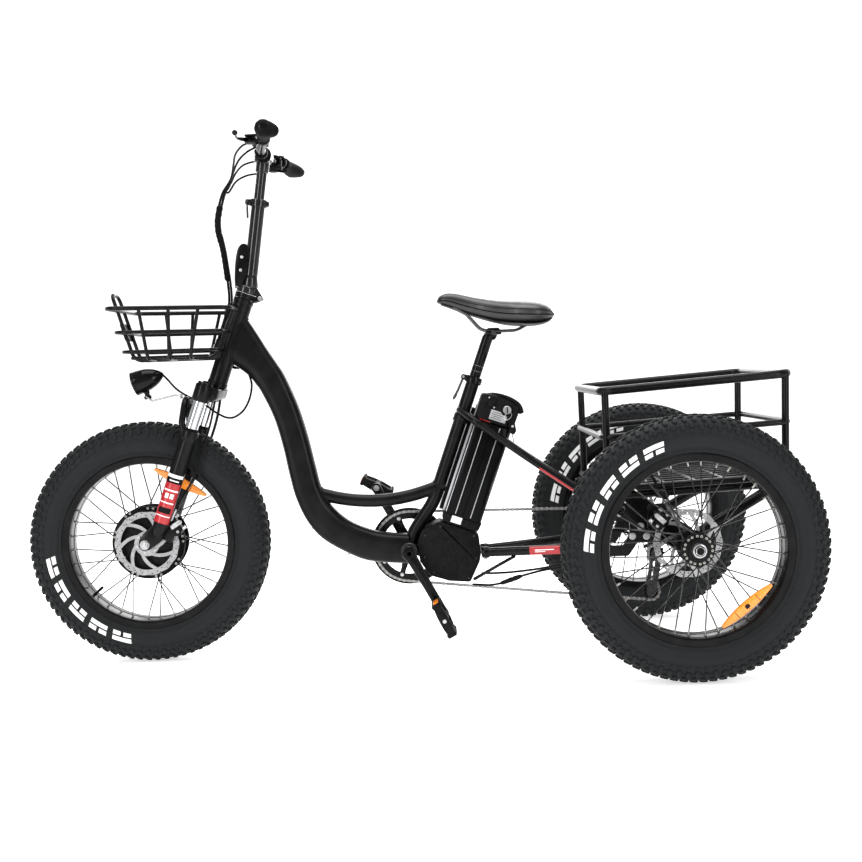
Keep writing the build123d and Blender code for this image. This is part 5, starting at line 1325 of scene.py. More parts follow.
# headlight
lo_, ld = (0, -669.5, 694.0), (0, 0.9522, 0.3055)
g = Geo()
g.lathe([(3.0, 26.6), (-1.5, 26.8), (-2.6, 28.2), (-2.2, 30.0), (0, 30.4), (3.2, 30.2), (4.2, 29.3), (8, 29.6), (20, 29.0), (34, 27.0), (48, 22.8),
         (60, 16.8), (69, 10), (74.5, 4), (76, 0)], lo_, ld, 64, 0)
g.lathe([(18, 0), (17.5, 6), (14, 15), (8, 21.5), (2.4, 26.0), (3.0, 26.7), (6, 24.5), (16, 16), (20, 6), (20.5, 0)], lo_, ld, 48, 1)
g.lathe([(8, 0), (8.4, 3.4), (11, 4.6), (18, 4.6), (18, 0)], lo_, ld, 20, 3)
g.lathe([(-10.5, 0), (-9.8, 9), (-7.4, 17), (-3.6, 24), (-1.0, 26.4), (1.4, 26.5), (1.2, 24.5), (-2.2, 22.4), (-5.6, 16), (-8.0, 8), (-8.7, 0)], lo_, ld, 64, 2)
g.lathe([(-2, 0), (-2, 7.4), (3, 7.4), (4, 6.4), (9, 6.4), (9.5, 8.6), (17, 8.8), (18, 7.5), (18, 0)], (0, -641, 673), (0, 0.19, -0.98), 24, 0)
for k in range(12):
    a = 2 * pi * k / 12
    g.box(arr((0, -641, 673)) + arr((0, 0.19, -0.98)) * 13.2 + arr((cos(a), sin(a) * 0.98, sin(a) * 0.19)) * 8.6, (1.4, 1.4, 7), 0.4, 0,
          axes=((cos(a), sin(a) * 0.98, sin(a) * 0.19), (-sin(a), cos(a) * 0.98, cos(a) * 0.19), (0, 0.19, -0.98)), k=1)
for s in (1, -1):
    g.tube(fillet([(s * 7, -640, 661), (s * 8, -628, 650), (s * 7, -598, 657), (s * 5, -568, 664), (s * 5, -556, 660)], [8, 14, 14, 6], 6), 2.2, 12, 4, "round")
g.box((0, -557, 660), (16, 9, 12), 2, 4)
g.build("headlight_shell", "lowers", [M["gloss"], M["chrome"], M["lens"], M["label"], M["alu"]], "headlight", "lamp", angle=35)
# the lamp's lead: on the lowers, then across the fork, then into the main tube
g = Geo()
lead = catmull([(4, -600, 716), (10, -588, 705), (18, -560, 676), (26, -520, 652), (28, -487, 634), (29, -470, 621)], 8)
g.tube(lead, 2.6, 12, 0, "round")
g.build("lamp_lead_front", ("lowers", "steering", (18, -560, 676), (29, -478, 628)), [M["cable"]], (), "plastic")
g = Geo()
lead = catmull([(29, -470, 621), (29, -455, 612), (29, -439, 605), (28, -420, 606), (24, -398, 622), (19, -383, 650), (15, -377, 684), (8, -384, 712)], 8)
g.tube(lead, 2.6, 12, 0, "round")
g.build("lamp_lead_rear", ("steering", "frame", (29, -466, 619), (24, -392, 632)), [M["cable"]], (), "plastic")
# motor lead and front brake cable, down behind the left leg
g = Geo()
m1 = catmull([(24, -446, 742), (32, -452, 700), (44, -462, 660), (52, -470, 620), (56, -480, 580), (60, -500, 520), (62, -524, 455), (60, -556, 405),
              (64, -574, 385)], 8)
g.tube(m1, 2.7, 12, 0, "round")
m2 = catmull([(-24, -446, 742), (-32, -452, 700), (-44, -464, 655), (-52, -474, 610), (-55, -490, 560), (-55, -520, 490), (-58, -556, 420), (-58, -600, 350),
              (-52, -632, 314)], 8)
g.tube(m2, 3.4, 12, 0, "round")
for p, rr in (((58.5, -491, 547), 2.7), ((-55.2, -498, 543), 3.4)):
    g.lathe([(-4, rr), (-4, rr + 1.6), (4, rr + 1.6), (4, rr)], p, (0, -0.33, -0.94), 16, 1)
g.build("fork_cables", ("steering", "lowers", (0, -455, 690), (0, -495, 540)), [M["cable"], M["rubber"]], (), "plastic")

# ------------------------------------------------------------------ hinge at the foot of the handlepost
PIN = (-350.0, 897.0)
LP = (-404.5, 930.0)
g = Geo()
g.lathe([(-8.4, 14.4), (-8.4, 24.0), (-9.4, 25.0), (-13, 25.3), (-13.6, 24.7), (-14.4, 24.7), (-15, 25.3), (-21, 25.2), (-22, 24.3), (-22, 14.4)],
        ax(0), d_ax, 56, 0, closed=True)
for s in (1, -1):
    ear = roundpoly([(-392, 896), (-381, 908.0), (-362, 900.8), (-352, 904.5), (-344.5, 901.5), (-343.5, 893.5), (-366, 886.0), (-372, 893.0)],
                    [0, 3, 3, 4, 4, 4, 3, 0], 4)
    g.prism(ear, s * 12 - 3.5, s * 12 + 3.5, 0, 1.0)
    g.bolt((s * 15.4, *PIN), (s, 0, 0), 5.2, 2.8, 1, "cap")
g.tube([(-15.5, *PIN), (15.5, *PIN)], 4.0, 20, 1)
g.build("stem_base_ring", "steering", [M["gloss"], M["zinc"]], "stem_base", "plastic", angle=35)

g = Geo()
pd = (0, PD[0], PD[1])
g.lathe([(-22.6, 0), (-22.6, 24.2), (-23.6, 25.0), (-35, 25.0), (-38.5, 24), (-41, 21), (-42, 17), (-42, 0)], ax(0), d_ax, 56, 0)
g.tube([po(0), po(208)], 17.0, 48, 0)
g.lathe([(2, 17), (3, 19.5), (8, 20.6), (22, 19), (34, 17.2), (36, 16)], po(0), pd, 44, 0)
lug = roundpoly([(-388, 913), (-374, 934), (-358, 926), (PIN[0] + 6, PIN[1] + 4), (PIN[0] + 4.5, PIN[1] - 5), (PIN[0] - 4, PIN[1] - 5), (-362, 905)],
                [3, 5, 6, 3, 3, 3, 4], 4)
g.prism(lug, -8.2, 8.2, 0, 1.6)
for s in (1, -1):
    cheek = roundpoly([(LP[0] - 6.5, LP[1] - 6), (LP[0] - 6.5, LP[1] + 7), (-388, LP[1] + 18), (-383, LP[1] - 5)], [4, 4, 5, 2], 4)
    a, b = sorted((s * 7.0, s * 11.8))
    g.prism(cheek, a, b, 0, 1.0)
    g.bolt((s * 11.6, *LP), (s, 0, 0), 4.4, 2.6, 1, "cap")
# clamp ring for the inner post, with its bolt and lever
g.lathe([(204, 13.2), (204, 20.6), (205, 21.5), (210.6, 21.5), (211, 20.8), (215, 20.8), (215.4, 21.5), (221, 21.5), (222, 20.6), (222, 13.2)], po(0), pd, 48, 0, closed=True)
for s in (1, -1):
    a, b = sorted((s * 1.6, s * 7.5))
    ear = roundpoly([yz(po(205.5, -18)), yz(po(221, -18)), yz(po(220, -33)), yz(po(207, -33))], [1, 1, 4, 4], 4)
    g.prism(ear, a, b, 0, 1.0)
    ear = roundpoly([yz(po(206, 18)), yz(po(220, 18)), yz(po(219, 27)), yz(po(208, 27))], [1, 1, 4, 4], 4)
    g.prism(ear, a, b, 0, 1.0)
g.tube([(-11, *yz(po(213, -27))), (12, *yz(po(213, -27)))], 2.8, 16, 1, "bevel")
g.bolt((-9, *yz(po(213, -27))), (-1, 0, 0), 4.6, 4.0, 1, "cap")
g.tube(catmull([(11, *yz(po(213, -27))), (15, *yz(po(207, -26))), (15.5, *yz(po(190, -23.5))), (14, *yz(po(176, -21.5)))], 5), [3.8] * 4 + [3.2] * 4 + [3.6] * 8, 14, 0, "round", sx=0.7)
# catch that the latch snaps over
g.box(po(92, -18.6), (9, 6, 12), 1.5, 1, axes=((1, 0, 0), (0, PD[1], -PD[0]), pd))
g.build("handlepost_tube", "handlepost", [M["post"], M["zinc"]], "handlepost", "plastic", angle=35)

g = Geo()
lt = catmull([(-410.0, 928), (-410.2, 945), (-407.0, 968), (-403.5, 990), (-401, 1008), (-397, 1021), (-390.5, 1026.5), (-384.5, 1022), (-384.3, 1010),
              (-386.8, 992), (-390.2, 968), (-394.2, 944), (-397.5, 930), (-403.5, 923.8)], 4, closed=True)
g.prism([tuple(p) for p in lt], -13.5, 13.5, 0, 4.5)
ck = catmull([(-409.5, 934), (-409.0, 966), (-405.5, 998), (-399, 1022), (-388, 1032.5), (-376, 1029), (-371.5, 1012), (-374.5, 985), (-380.5, 955), (-391, 934), (-401, 928)], 4, closed=True)
for a_, b_ in ((17.3, 19.6), (-19.6, -17.3)):
    g.prism([tuple(p) for p in ck], a_, b_, 0, 0.9)
br = catmull([(-410.0, 940), (-409.0, 966), (-405.8, 992), (-400.5, 1014), (-395.5, 1016), (-398.5, 992), (-402.0, 966), (-403.5, 940)], 3, closed=True)
g.prism([tuple(p) for p in br], -18.8, 18.8, 0, 2.4)
for s in (1, -1):
    for y, z in ((-390.5, 1000), (-394.5, 968)):
        g.bolt((s * 19.4, y, z), (s, 0, 0), 3.9, 2.0, 1, "dome", 1)
    g.bolt((s * 13.2, *LP), (s, 0, 0), 4.6, 2.2, 1, "cap")
g.build("latch_shell", "latch", [M["gloss"], M["zinc"]], "latch_lever", "plastic", angle=35)

# ------------------------------------------------------------------ inner post, stem and bar
CL = (-329.0, 1247.0)
g = Geo()
g.tube([po(40), po(292)], 13.0, 44, 0)
for k in range(6):
    g.bead(po(232 + 9 * k), pd, 13.03, 0.2, 44, 2, waves=1)
g.lathe([(288, 13.2), (290, 16.0), (293, 16.6), (314, 16.6), (320, 16), (322, 0)], po(0), pd, 40, 0)
g.lathe([(-24, 11.2), (-24, 19), (-23, 20), (-8, 20.0), (-7, 19.2), (7, 19.2), (8, 20), (23, 20), (24, 19), (24, 11.2)], (0, *CL), (1, 0, 0), 48, 0, closed=True)
ca2 = roundpoly([(CL[0] - 21.5, CL[1] - 15), (CL[0] - 21.5, CL[1] + 15), (CL[0] - 12, CL[1] + 18), (CL[0] - 12, CL[1] - 18)], [5, 5, 3, 3], 4)
for x0, x1 in ((-23, -8), (8, 23)):
    g.prism(ca2, x0, x1, 0, 1.5)
for x in (-15.5, 15.5):
    for z in (-11.5, 11.5):
        g.bolt((x, CL[0] - 21.2, CL[1] + z), (0, -1, 0), 3.4, 3.2, 1, "cap")
g.build("stem_post", "bar", [M["post"], M["zinc"], M["post"]], "post_inner", "plastic", angle=35)
g = Geo()
barp = [(-338, -292, 1259), (-205, -306, 1261), (-105, -325, 1251), (-52, -329, 1247), (52, -329, 1247), (105, -325, 1251), (205, -306, 1261), (338, -292, 1259)]
g.tube(fillet(barp, [120, 70, 90, 90, 70, 120], 10), 11.1, 32, 0, "bevel")
for s in (1, -1):
    for k in range(5):
        g.bead((s * (28 + 3 * k), -329, 1247), (1, 0, 0), 11.12, 0.25, 36, 0, waves=1)
g.build("handlebar_tube", "bar", [M["gloss"]], "handlebar", "plastic", angle=45)


def on_bar(x):
    f = (x - 205.0) / 133.0
    return (-306 + 14 * f, 1261 - 2 * f)


g = Geo()
for s in (1, -1):
    rings = []
    xs = [221.5, 222.5, 225, 230, 236, 244, 252, 262, 274, 286, 298, 310, 320, 328, 334, 338, 340.5, 341.5]
    rr_ = [12.2, 15.6, 16.9, 16.6, 15.2, 14.9, 15.3, 16.0, 16.9, 17.8, 18.6, 19.3, 19.6, 19.2, 18.0, 15.8, 12.4, 8.0]
    for x, r0 in zip(xs, rr_):
        y, z = on_bar(min(x, 340))
        f = min(1.0, max(0.0, (x - 250) / 60.0)) * min(1.0, max(0.0, (343 - x) / 12.0)) ** 0.6
        f = f * f * (3 - 2 * f)
        ring = []
        for k in range(40):
            a = 2 * pi * k / 40
            da = (a - rad(-14) + pi) % (2 * pi) - pi
            r = r0 + 17.0 * f * math.exp(-(da / 0.62) ** 2) + 0.25 * cos(a * 10) * (1 if 228 < x < 330 else 0)
            ring.append((s * x, y + r * cos(a), z + r * sin(a)))
        rings.append(ring)
    g.loft(rings, 0)
    for k in range(16):
        x = 250 + 5 * k
        y, z = on_bar(x)
        arcp = [(s * x, y + 16.15 * cos(a), z + 16.15 * sin(a)) for a in [rad(60 + 18 * q) for q in range(11)]]
        g.tube(arcp, 0.7, 6, 0, "round")
    y, z = on_bar(224)
    g.lathe([(s * 222, 11.4), (s * 222, 15), (s * 223, 16.6), (s * 229, 16.6), (s * 230, 15), (s * 230, 11.4)], (0, y, z), (1, -0.105 * s * 0, 0), 36, 1, closed=True)
    g.bolt((s * 226, y - 15.5, z - 5), (0, -0.95, -0.3), 2.6, 2.0, 2, "cap")
    y, z = on_bar(339)
    g.lathe([(s * 339, 0), (s * 339, 9.5), (s * 342.2, 8.8), (s * 343, 6.5), (s * 343, 0)], (0, y, z), (1, 0, 0), 28, 1)
g.build("grip_pair", "bar", [M["rubber"], M["gloss"], M["zinc"]], "grips", "rubber", angle=50)

PV = (172.0, -340.0, 1259.0)
g = Geo()
for s in (1, -1):
    # clamp ring, body and barrel adjuster of the lever perch
    g.lathe([(178, 11.3), (178, 15.4), (179, 16.4), (192, 16.4), (193, 15.4), (193, 11.3)], (0, -309.2, 1260.2), (s, 0, 0), 40, 0, closed=True)
    body = roundpoly([(160, -352), (160, -330), (176, -312), (198, -312), (201, -330), (196, -352)], [5, 4, 4, 4, 5, 6], 4)
    for z0, z1 in ((1250, 1253.2), (1264.8, 1268.5)):
        g.prism([(s * x, y) for x, y in body], z0, z1, 0, 1.2, to=lambda q, a, b: (a, b, q))
    web = roundpoly([(164, -330), (164, -318), (196, -314), (199, -330)], 2.5, 3)
    g.prism([(s * x, y) for x, y in web], 1250, 1268.5, 0, 1.5, to=lambda q, a, b: (a, b, q))
    g.lathe([(0, 3.06), (0, 4.6), (-8.0 + 8, 4.6)], (0, 0, 0), (0, 0, 1), 3, 0) if False else None
    g.bolt((s * PV[0], PV[1], 1268.2), (0, 0, 1), 4.4, 2.6, 1, "cap")
    g.bolt((s * PV[0], PV[1], 1250.4), (0, 0, -1), 4.4, 2.6, 1, "hex")
    g.tube([(s * PV[0], PV[1], 1250.4), (s * PV[0], PV[1], 1268)], 2.9, 16, 1)
    q = arr((s * 158, -345, 1259))
    dd = unit((-s * 0.92, -0.38, -0.05))
    g.lathe([(-6, 0), (-6, 4.4), (2, 4.4), (3, 5.6), (8, 5.8), (9, 5.2), (10, 3.6), (18, 3.4), (19, 2.6), (19, 0)], q, dd, 24, 0)
    for k in range(10):
        a = 2 * pi * k / 10
        u_, w_ = perp(dd)
        g.tube([q + dd * 2.6 + (u_ * cos(a) + w_ * sin(a)) * 5.6, q + dd * 8.2 + (u_ * cos(a) + w_ * sin(a)) * 5.8], 0.6, 6, 0, "round")
    g.bolt((s * 186, -300.5, 1275.5), (0, 0.2, 1), 3.2, 2.6, 1, "cap")
# display: bezel, screen and three keys
g.box((65, -332, 1269.5), (54, 40, 13.5), 5.0, 0)
g.box((65, -334.5, 1276.2), (42, 26, 1.6), 2.5, 2)
for k in range(3):
    g.box((52 + 13 * k, -316.5, 1276.2), (8.5, 5.5, 2.2), 1.8, 3)
g.lathe([(52.5, 11.3), (52.5, 14.6), (53.2, 15.2), (62.8, 15.2), (63.5, 14.6), (63.5, 11.3)], (0, -329.2, 1247.3), (1, 0, 0), 36, 0, closed=True)
g.box((58, -330, 1260.5), (10, 18, 8), 2, 0)
g.bolt((58, -343, 1243), (0, -0.8, -0.6), 2.8, 2.2, 1, "cap")
# throttle or shift pod on the right, with its thumb paddles
g.lathe([(-149, 11.3), (-149, 16.2), (-148, 17), (-133, 17), (-132, 16.2), (-132, 11.3)], (0, -317.5, 1254.5), (1, 0, 0), 36, 0, closed=True)
g.box((-140, -322, 1239.5), (34, 44, 12), 4.5, 0)
g.lathe([(0, 0), (0, 13), (3, 13.6), (5, 12.5), (6, 9), (6, 0)], (-140, -322, 1234), (0, 0, -1), 32, 0)
g.tube(catmull([(-140, -312, 1232), (-134, -298, 1229), (-126, -289, 1230)], 5), [3.4] * 6 + [4.4] * 5, 14, 3, "round", sy=0.6)
g.bolt((-140, -334, 1252), (0, -0.9, 0.4), 3.0, 2.4, 1, "cap")
g.build("bar_controls", "bar", [M["plastic"], M["zinc"], M["gloss"], M["rubber"]], "controls", "plastic", angle=35)
for nm, s in (("left", 1), ("right", -1)):
    g = Geo()
    g.lathe([(-4.6, 3.1), (-4.6, 7.4), (-3.8, 8.2), (3.8, 8.2), (4.6, 7.4), (4.6, 3.1)], (s * PV[0], PV[1], PV[2]), (0, 0, 1), 32, 0, closed=True)
    bl = catmull([(s * 170, -344, 1259), (s * 182, -355, 1259), (s * 200, -363.5, 1258.6), (s * 222, -366, 1257.6), (s * 248, -364.5, 1256.8), (s * 272, -362, 1256.6),
                  (s * 287, -361.5, 1257)], 5)
    n_ = len(bl)
    g.tube(bl, [5.4 if i < 5 else 4.6 if i < n_ - 6 else 5.0 for i in range(n_)], 18, 0, "round", sx=0.75, sy=1.0, up=(0, 1, 0))
    g.lathe([(-6.4, 0), (-5.8, 3.2), (-3.6, 5.6), (0, 6.5), (3.6, 5.6), (5.8, 3.2), (6.4, 0)], bl[-1], (1, 0, 0), 24, 0)
    g.build("lever_blade_" + nm, "lever_" + nm, [M["gloss"]], "brake_lever_" + nm, "plastic", angle=45)

# control cables: out of the levers, gathered in front of the post
g = Geo()
top_pts = {
    "l": [(140, -352, 1258), (112, -372, 1253), (66, -392, 1242), (16, -404, 1224), (-16, -416, 1196)],
    "r": [(-140, -352, 1258), (-116, -374, 1252), (-80, -394, 1238), (-48, -408, 1214), (-34, -420, 1186)],
    "d": [(52, -343, 1262), (44, -366, 1252), (20, -390, 1236), (-10, -408, 1212), (-24, -421, 1180)],
    "s": [(-150, -326, 1236), (-136, -352, 1226), (-98, -384, 1216), (-58, -408, 1196), (-40, -424, 1168)],
}
mid = [(-29, -439, 1160), (-29, -452, 1110), (-29, -453, 1070), (-29, -448, 1044)]
off = {"l": (4, -1.5, 0), "r": (-4, -1.5, 0), "d": (3, 5, 0), "s": (-3, 5, 0)}
for k, pts in top_pts.items():
    o = off[k]
    path = catmull(pts + [tuple(arr(p) + arr(o)) for p in mid], 7)
    g.tube(path, 2.6, 12, 0, "round")
sl = catmull([(-29, -448, 1126), (-29, -453.5, 1096), (-29, -453, 1070), (-29, -448, 1046)], 6)
g.tube(sl, [8.0 + 0.5 * cos(i * 2.1) for i in range(len(sl))], 20, 1, "round", sx=1.0, sy=0.95)
g.build("cables_bar", ("bar", "handlepost", (0, -430, 1172), (0, -450, 1075)), [M["cable"], M["rubber"]], "cables_upper", "plastic", angle=60)
g = Geo()
mid2 = [(-29, -448, 1050), (-29, -442, 1018), (-29, -437, 980), (-28.5, -433, 950), (-28, -431, 925)]
for k, o in off.items():
    g.tube(catmull([tuple(arr(p) + arr(o)) for p in mid2], 7), 2.6, 12, 0, "round")
sl = catmull([(-29, -448.5, 1052), (-29, -442, 1018), (-29, -437.6, 985), (-28.6, -434, 952)], 7)
g.tube(sl, [7.6 + 0.45 * cos(i * 2.1) for i in range(len(sl))], 20, 1, "round")
g.build("cables_post", ("handlepost", "steering", (0, -440, 1010), (0, -432, 940)), [M["cable"], M["rubber"]], "cables_lower", "plastic", angle=60)
g = Geo()
mid3 = [(-28, -431, 929), (-28, -430, 905), (-29, -432, 876), (-30, -437, 846), (-31, -446, 806), (-27, -446, 762), (-20, -434, 734), (-12, -418, 726)]
for k in ("r", "s"):
    g.tube(catmull([tuple(arr(p) + arr(off[k])) for p in mid3], 7), 2.6, 12, 0, "round")
mid4 = [(-28, -431, 929), (-28, -430, 905), (-29, -432, 876), (-30, -438, 842), (-30, -449, 796), (-27, -448, 760), (-24, -446, 742)]
for k in ("l", "d"):
    g.tube(catmull([tuple(arr(p) + arr(off[k])) for p in mid4[:-1]] + [mid4[-1]], 7), 2.6, 12, 0, "round")
g.build("cables_head", ("steering", "frame", (0, -431, 924), (0, -431, 884)), [M["cable"]], (), "plastic", angle=60)

# ------------------------------------------------------------------ front basket
def ring_at(f, r, g, mat_=0, rad_=30.0):
    x = 170 - 20 * f
    y0, z0 = -698 + 38 * f, 875 - 123 * f
    y1, z1 = -404 - 48 * f, 871 - 117 * f
    g.tube(fillet([(34, y1, z1), (x, y1, z1), (x, y0, z0), (-x, y0, z0), (-x, y1, z1), (-34, y1, z1)],
                  [rad_] * 4, 9), r, 18, mat_, "bevel")


g = Geo()
ring_at(0.0, 5.4, g)
ring_at(0.46, 4.4, g)
ring_at(0.84, 4.2, g)
for f in (0.27, 0.51, 0.75):
    yt, zt = -698 + 294 * f, 875 - 4 * f
    yb, zb = -660 + 208 * f, 751.5 + 2 * f
    g.tube(fillet([(170, yt, zt), (151, yb, zb), (-151, yb, zb), (-170, yt, zt)], [26, 26], 9), 4.2, 16, 0, "round")
for s in (1, -1):
    g.tube(fillet([(s * 97, -652, 757), (s * 96, -452, 753), (s * 95, -404, 871)], [26], 9), 4.2, 16, 0, "round")
    g.tube(fillet([(s * 36, -698, 875), (s * 36, -660, 751), (s * 34, -476, 752.5)], [26], 9), 4.6, 16, 0, "round")
    g.tube(fillet([(s * 42, -404, 871), (s * 42, -452, 754), (s * 60, -640, 751.6)], [14], 9), 4.0, 16, 0, "round")
    g.tube([(s * 125, -646, 757.5), (s * 125, -466, 759)], 3.4, 14, 0, "round")
for x in (-16, 0, 16):
    g.tube([(x, -655, 756), (x, -478, 757)], 3.2, 14, 0, "round")
g.tube(fillet([(-36, -698, 875), (-36, -711, 914), (36, -711, 914), (36, -698, 875)], [20, 20], 9), 4.7, 16, 0, "round")
pl = roundpoly([(-41, 0), (41, 0), (41, 43), (-41, 43)], 5, 4)
g.prism(pl, -1.8, 1.8, 0, 0.8, to=lambda q, a, b: (a, -678.6 - 0.309 * b + q, 800 + b))
for x in (-30, 30):
    g.bolt((x, -690.5, 834), (0, -0.955, -0.296), 3.4, 2.4, 1, "dome", 1)
g.build("front_basket_wire", "frame", [M["coat"], M["zinc"]], "front_basket", "basket_coat", angle=50)

# block that clamps the basket to the head tube
g = Geo()
arc = [(23.62 * sin(rad(a)), 23.62 * cos(rad(a))) for a in range(-59, 60, 7)]
cpoly = [(33, 12.2), (33, 28), (30, 31), (-30, 31), (-33, 28), (-33, 12.2)] + arc
for t0, t1 in ((12, 48), (106, 146)):
    g.prism(cpoly, t0, t1, 0, 0.0, to=lambda q, a, b: ax(q, b, a))
g.prism([(26, 25.5), (26, 30.5), (-26, 30.5), (-26, 25.5)], 44, 110, 0, 0.6, to=lambda q, a, b: ax(q, b, a))
for t in (30, 126):
    for x in (-24, 24):
        g.bolt(ax(t, 31, x), (0, NX[0], NX[1]), 4.4, 3.4, 1, "hex")
g.build("basket_clamp", "frame", [M["coat"], M["zinc"]], "basket_bracket", "basket_coat", angle=35)

# ------------------------------------------------------------------ rear basket
RX = 240.0


def rail_z(y):
    return 401.0 + (y - 458.0) * 18.0 / 378.0


def floor_z(y):
    return rail_z(y) + 20.3


g = Geo()


def loop_at(f, r, rad_):
    y0, z0 = 461 + 5 * f, 650 + (floor_z(466) - 650) * f
    y1, z1 = 899 - 2 * f, 681 + (floor_z(897) - 681) * f
    c = [(RX, y0, z0), (RX, y1, z1), (-RX, y1, z1), (-RX, y0, z0)]
    pts = []
    q = [c[3]] + c + [c[0]]
    for i in range(1, 5):
        a, b, d = arr(q[i - 1]), arr(q[i]), arr(q[i + 1])
        u0, u1 = unit(tuple(a - b)), unit(tuple(d - b))
        u0, u1 = arr(u0), arr(u1)
        cc = b + (u0 + u1) * rad_
        for k in range(9):
            t = pi / 2 * k / 8
            pts.append(tuple(cc - u1 * rad_ * cos(t) - u0 * rad_ * sin(t)))
    g.tube(pts, r, 22, 0, closed=True)


loop_at(0.0, 10.0, 34)
loop_at(0.47, 7.2, 30)
loop_at(1.0, 8.0, 30)
for s in (1, -1):
    for y0, z0, y1 in ((461 + 8.5, 650, 466 + 8.5), (899 - 8.5, 681, 897 - 8.5)):
        g.tube([(s * 231.5, y0, z0), (s * 231.5, y1, floor_z(y1))], 8.6, 20, 0, "round")
for i in range(9):
    x = -200.0 + 50.0 * i
    g.tube([(x, 467, floor_z(467)), (x, 896, floor_z(896))], 4.6, 14, 0, "round")
for y in (504, 540, 610, 680, 750, 820, 860):
    g.tube([(-238, y, floor_z(y)), (238, y, floor_z(y))], 4.4 if y in (504, 610, 750, 860) else 5.8, 14, 0, "round")
g.build("rear_basket_tubes", "frame", [M["coat"]], "rear_basket", "basket_coat", angle=50)
g = Geo()
for s in (1, -1):
    for y in (600.0, 850.0):
        z = rail_z(y)
        g.prism(roundpoly([(y - 13, z + 10.5), (y + 13, z + 10.5), (y + 11, z + 19), (y - 11, z + 19)], 2.5, 3), s * 190 - 9, s * 190 + 9, 0, 0.8)
        g.bolt((s * 190, y, z - 11), (0, 0, -1), 5.6, 4.4, 1, "hex")
g.build("basket_feet", "frame", [M["coat"], M["zinc"]], (), "basket_coat", angle=35)

# ------------------------------------------------------------------ subframe and axle housing
g = Geo()
for s in (1, -1):
    a, b = (s * 180, 445, rail_z(445)), (s * 180, 872, rail_z(872))
    g.tube([a, b], 12.0, 28, 0, "bevel")
    for p in (a, b):
        g.lathe([(-1.2, 0), (-1.2, 9.6), (0.9, 8.6), (1.4, 0)], p, (0, -1 if p is a else 1, 0), 24, 1)
    d0, d1 = (s * 236.0, 690, 318), (s * 236.0, 838, 404)
    g.tube([d0, d1], 13.0, 28, 0, "round")
    g.tube([(s * 118, 492, 350), (s * 176, 500, 398)], 6.0, 16, 0, "round")
for y in (470.0, 600.0, 850.0):
    z = rail_z(y)
    g.tube([(-262, y, z), (262, y, z)], 11.0, 26, 0, "bevel")
    for s in (1, -1):
        for q in (-1, 1):
            g.bead((s * 180 + q * 12.2, y, z), (1, 0, 0), 11.2, 1.5, 36, 0, waves=18)
        g.lathe([(s * 262.2, 0), (s * 262.2, 8.5), (s * 260, 9.4), (s * 258, 0)], (0, y, z), (1, 0, 0), 24, 1)
g.build("subframe_tubes", "frame", [M["paint2"], M["plastic"]], "subframe_rails", "rear_frame_paint", angle=35)

inner_p = roundpoly([(476, 246), (536, 246), (560, 280), (628, 272), (660, 276), (672, 300), (660, 330), (600, 345), (566, 392), (470, 380), (470, 330)],
                    [8, 10, 14, 12, 10, 12, 12, 20, 8, 8, 10], 5)
outer_p = roundpoly([(560, 330), (625, 276), (662, 276), (676, 300), (662, 330), (610, 360), (600, 388), (560, 386)], [8, 14, 10, 12, 12, 16, 8, 8], 5)


def circ(cy, cz, r, n=24):
    return [(cy + r * cos(2 * pi * k / n), cz + r * sin(2 * pi * k / n)) for k in range(n)]


g = Geo()
for s in (1, -1):
    a, b = (20.0, 262.0) if s > 0 else (-262.0, -95.0)
    g.lathe([(a, 12.6), (a, 22.8), (a + 1.5, 24.3), (a + 14, 24.3), (a + 15, 23.2), (b - 15, 23.2), (b - 14, 24.3), (b - 1.5, 24.3), (b, 22.8), (b, 12.6)],
            (0, *RW), (1, 0, 0), 48, 0, closed=True)
    p0 = 108.0 if s > 0 else -116.0
    slot1 = roundpoly([(492, 272), (524, 272), (540, 300), (540, 332), (492, 332)], 8, 4)
    g.plate([inner_p, slot1, circ(520, 360, 9), circ(618, 318, 5)], p0, p0 + 8, 0)
    o0 = 250.0 if s > 0 else -258.0
    g.plate([outer_p, circ(578, 366, 6)], o0, o0 + 8, 0)
    for px_ in (p0 + 8.2, p0 - 0.2, (o0 - 0.2 if s > 0 else o0 + 8.2)):
        if abs(px_) < 262:
            g.bead((px_, *RW), (1, 0, 0), 23.4, 1.7, 56, 0, waves=30)
    for cy, cz in [(566, 318), (546, 294), (580, 293)]:
        if s > 0:
            g.bolt((p0 + 8, cy, cz), (1, 0, 0), 7.0, 5.2, 1, "hex")
            g.lathe([(0, 0), (0, 8.6), (1.2, 8.6), (1.3, 0)], (p0 + 8, cy, cz), (1, 0, 0), 28, 1)
        else:
            g.bolt((p0, cy, cz), (-1, 0, 0), 7.0, 5.0, 1, "hex")
            g.lathe([(0, 0), (0, 8.6), (1.2, 8.6), (1.3, 0)], (p0, cy, cz), (-1, 0, 0), 28, 1)
    for cy, cz in ((575, 347), (590, 366)):
        g.bolt(((o0 - 0.1) if s > 0 else (o0 + 8.1), cy, cz), (-s, 0, 0), 4.6, 3.4, 1, "hex")
g.build("axle_tube_housing", "frame", [M["paint2"], M["zinc"]], "axle_housing", "rear_frame_paint", angle=35)

g = Geo()
cc = (585.0, 353.0)
ang = math.atan2(cc[1] - 300, cc[0] - 643.4)
for s in (1, -1):
    caliper(g, cc, ang, s * 302.0, s)
    g.prism(roundpoly([(570, 342), (598, 356), (590, 374), (563, 358)], 3, 3), *sorted((s * 258.4, s * 291)), 0, 1.0)
    g.tube(catmull([(s * 300, 566, 330), (s * 292, 548, 330), (s * 270, 520, 352), (s * 215, 500, 378), (s * 186, 486, 386)], 6), 2.7, 12, 2, "round")
g.build("rear_caliper_bodies", "frame", [M["hub"], M["zinc"], M["cable"]], "rear_calipers", "caliper", angle=35)

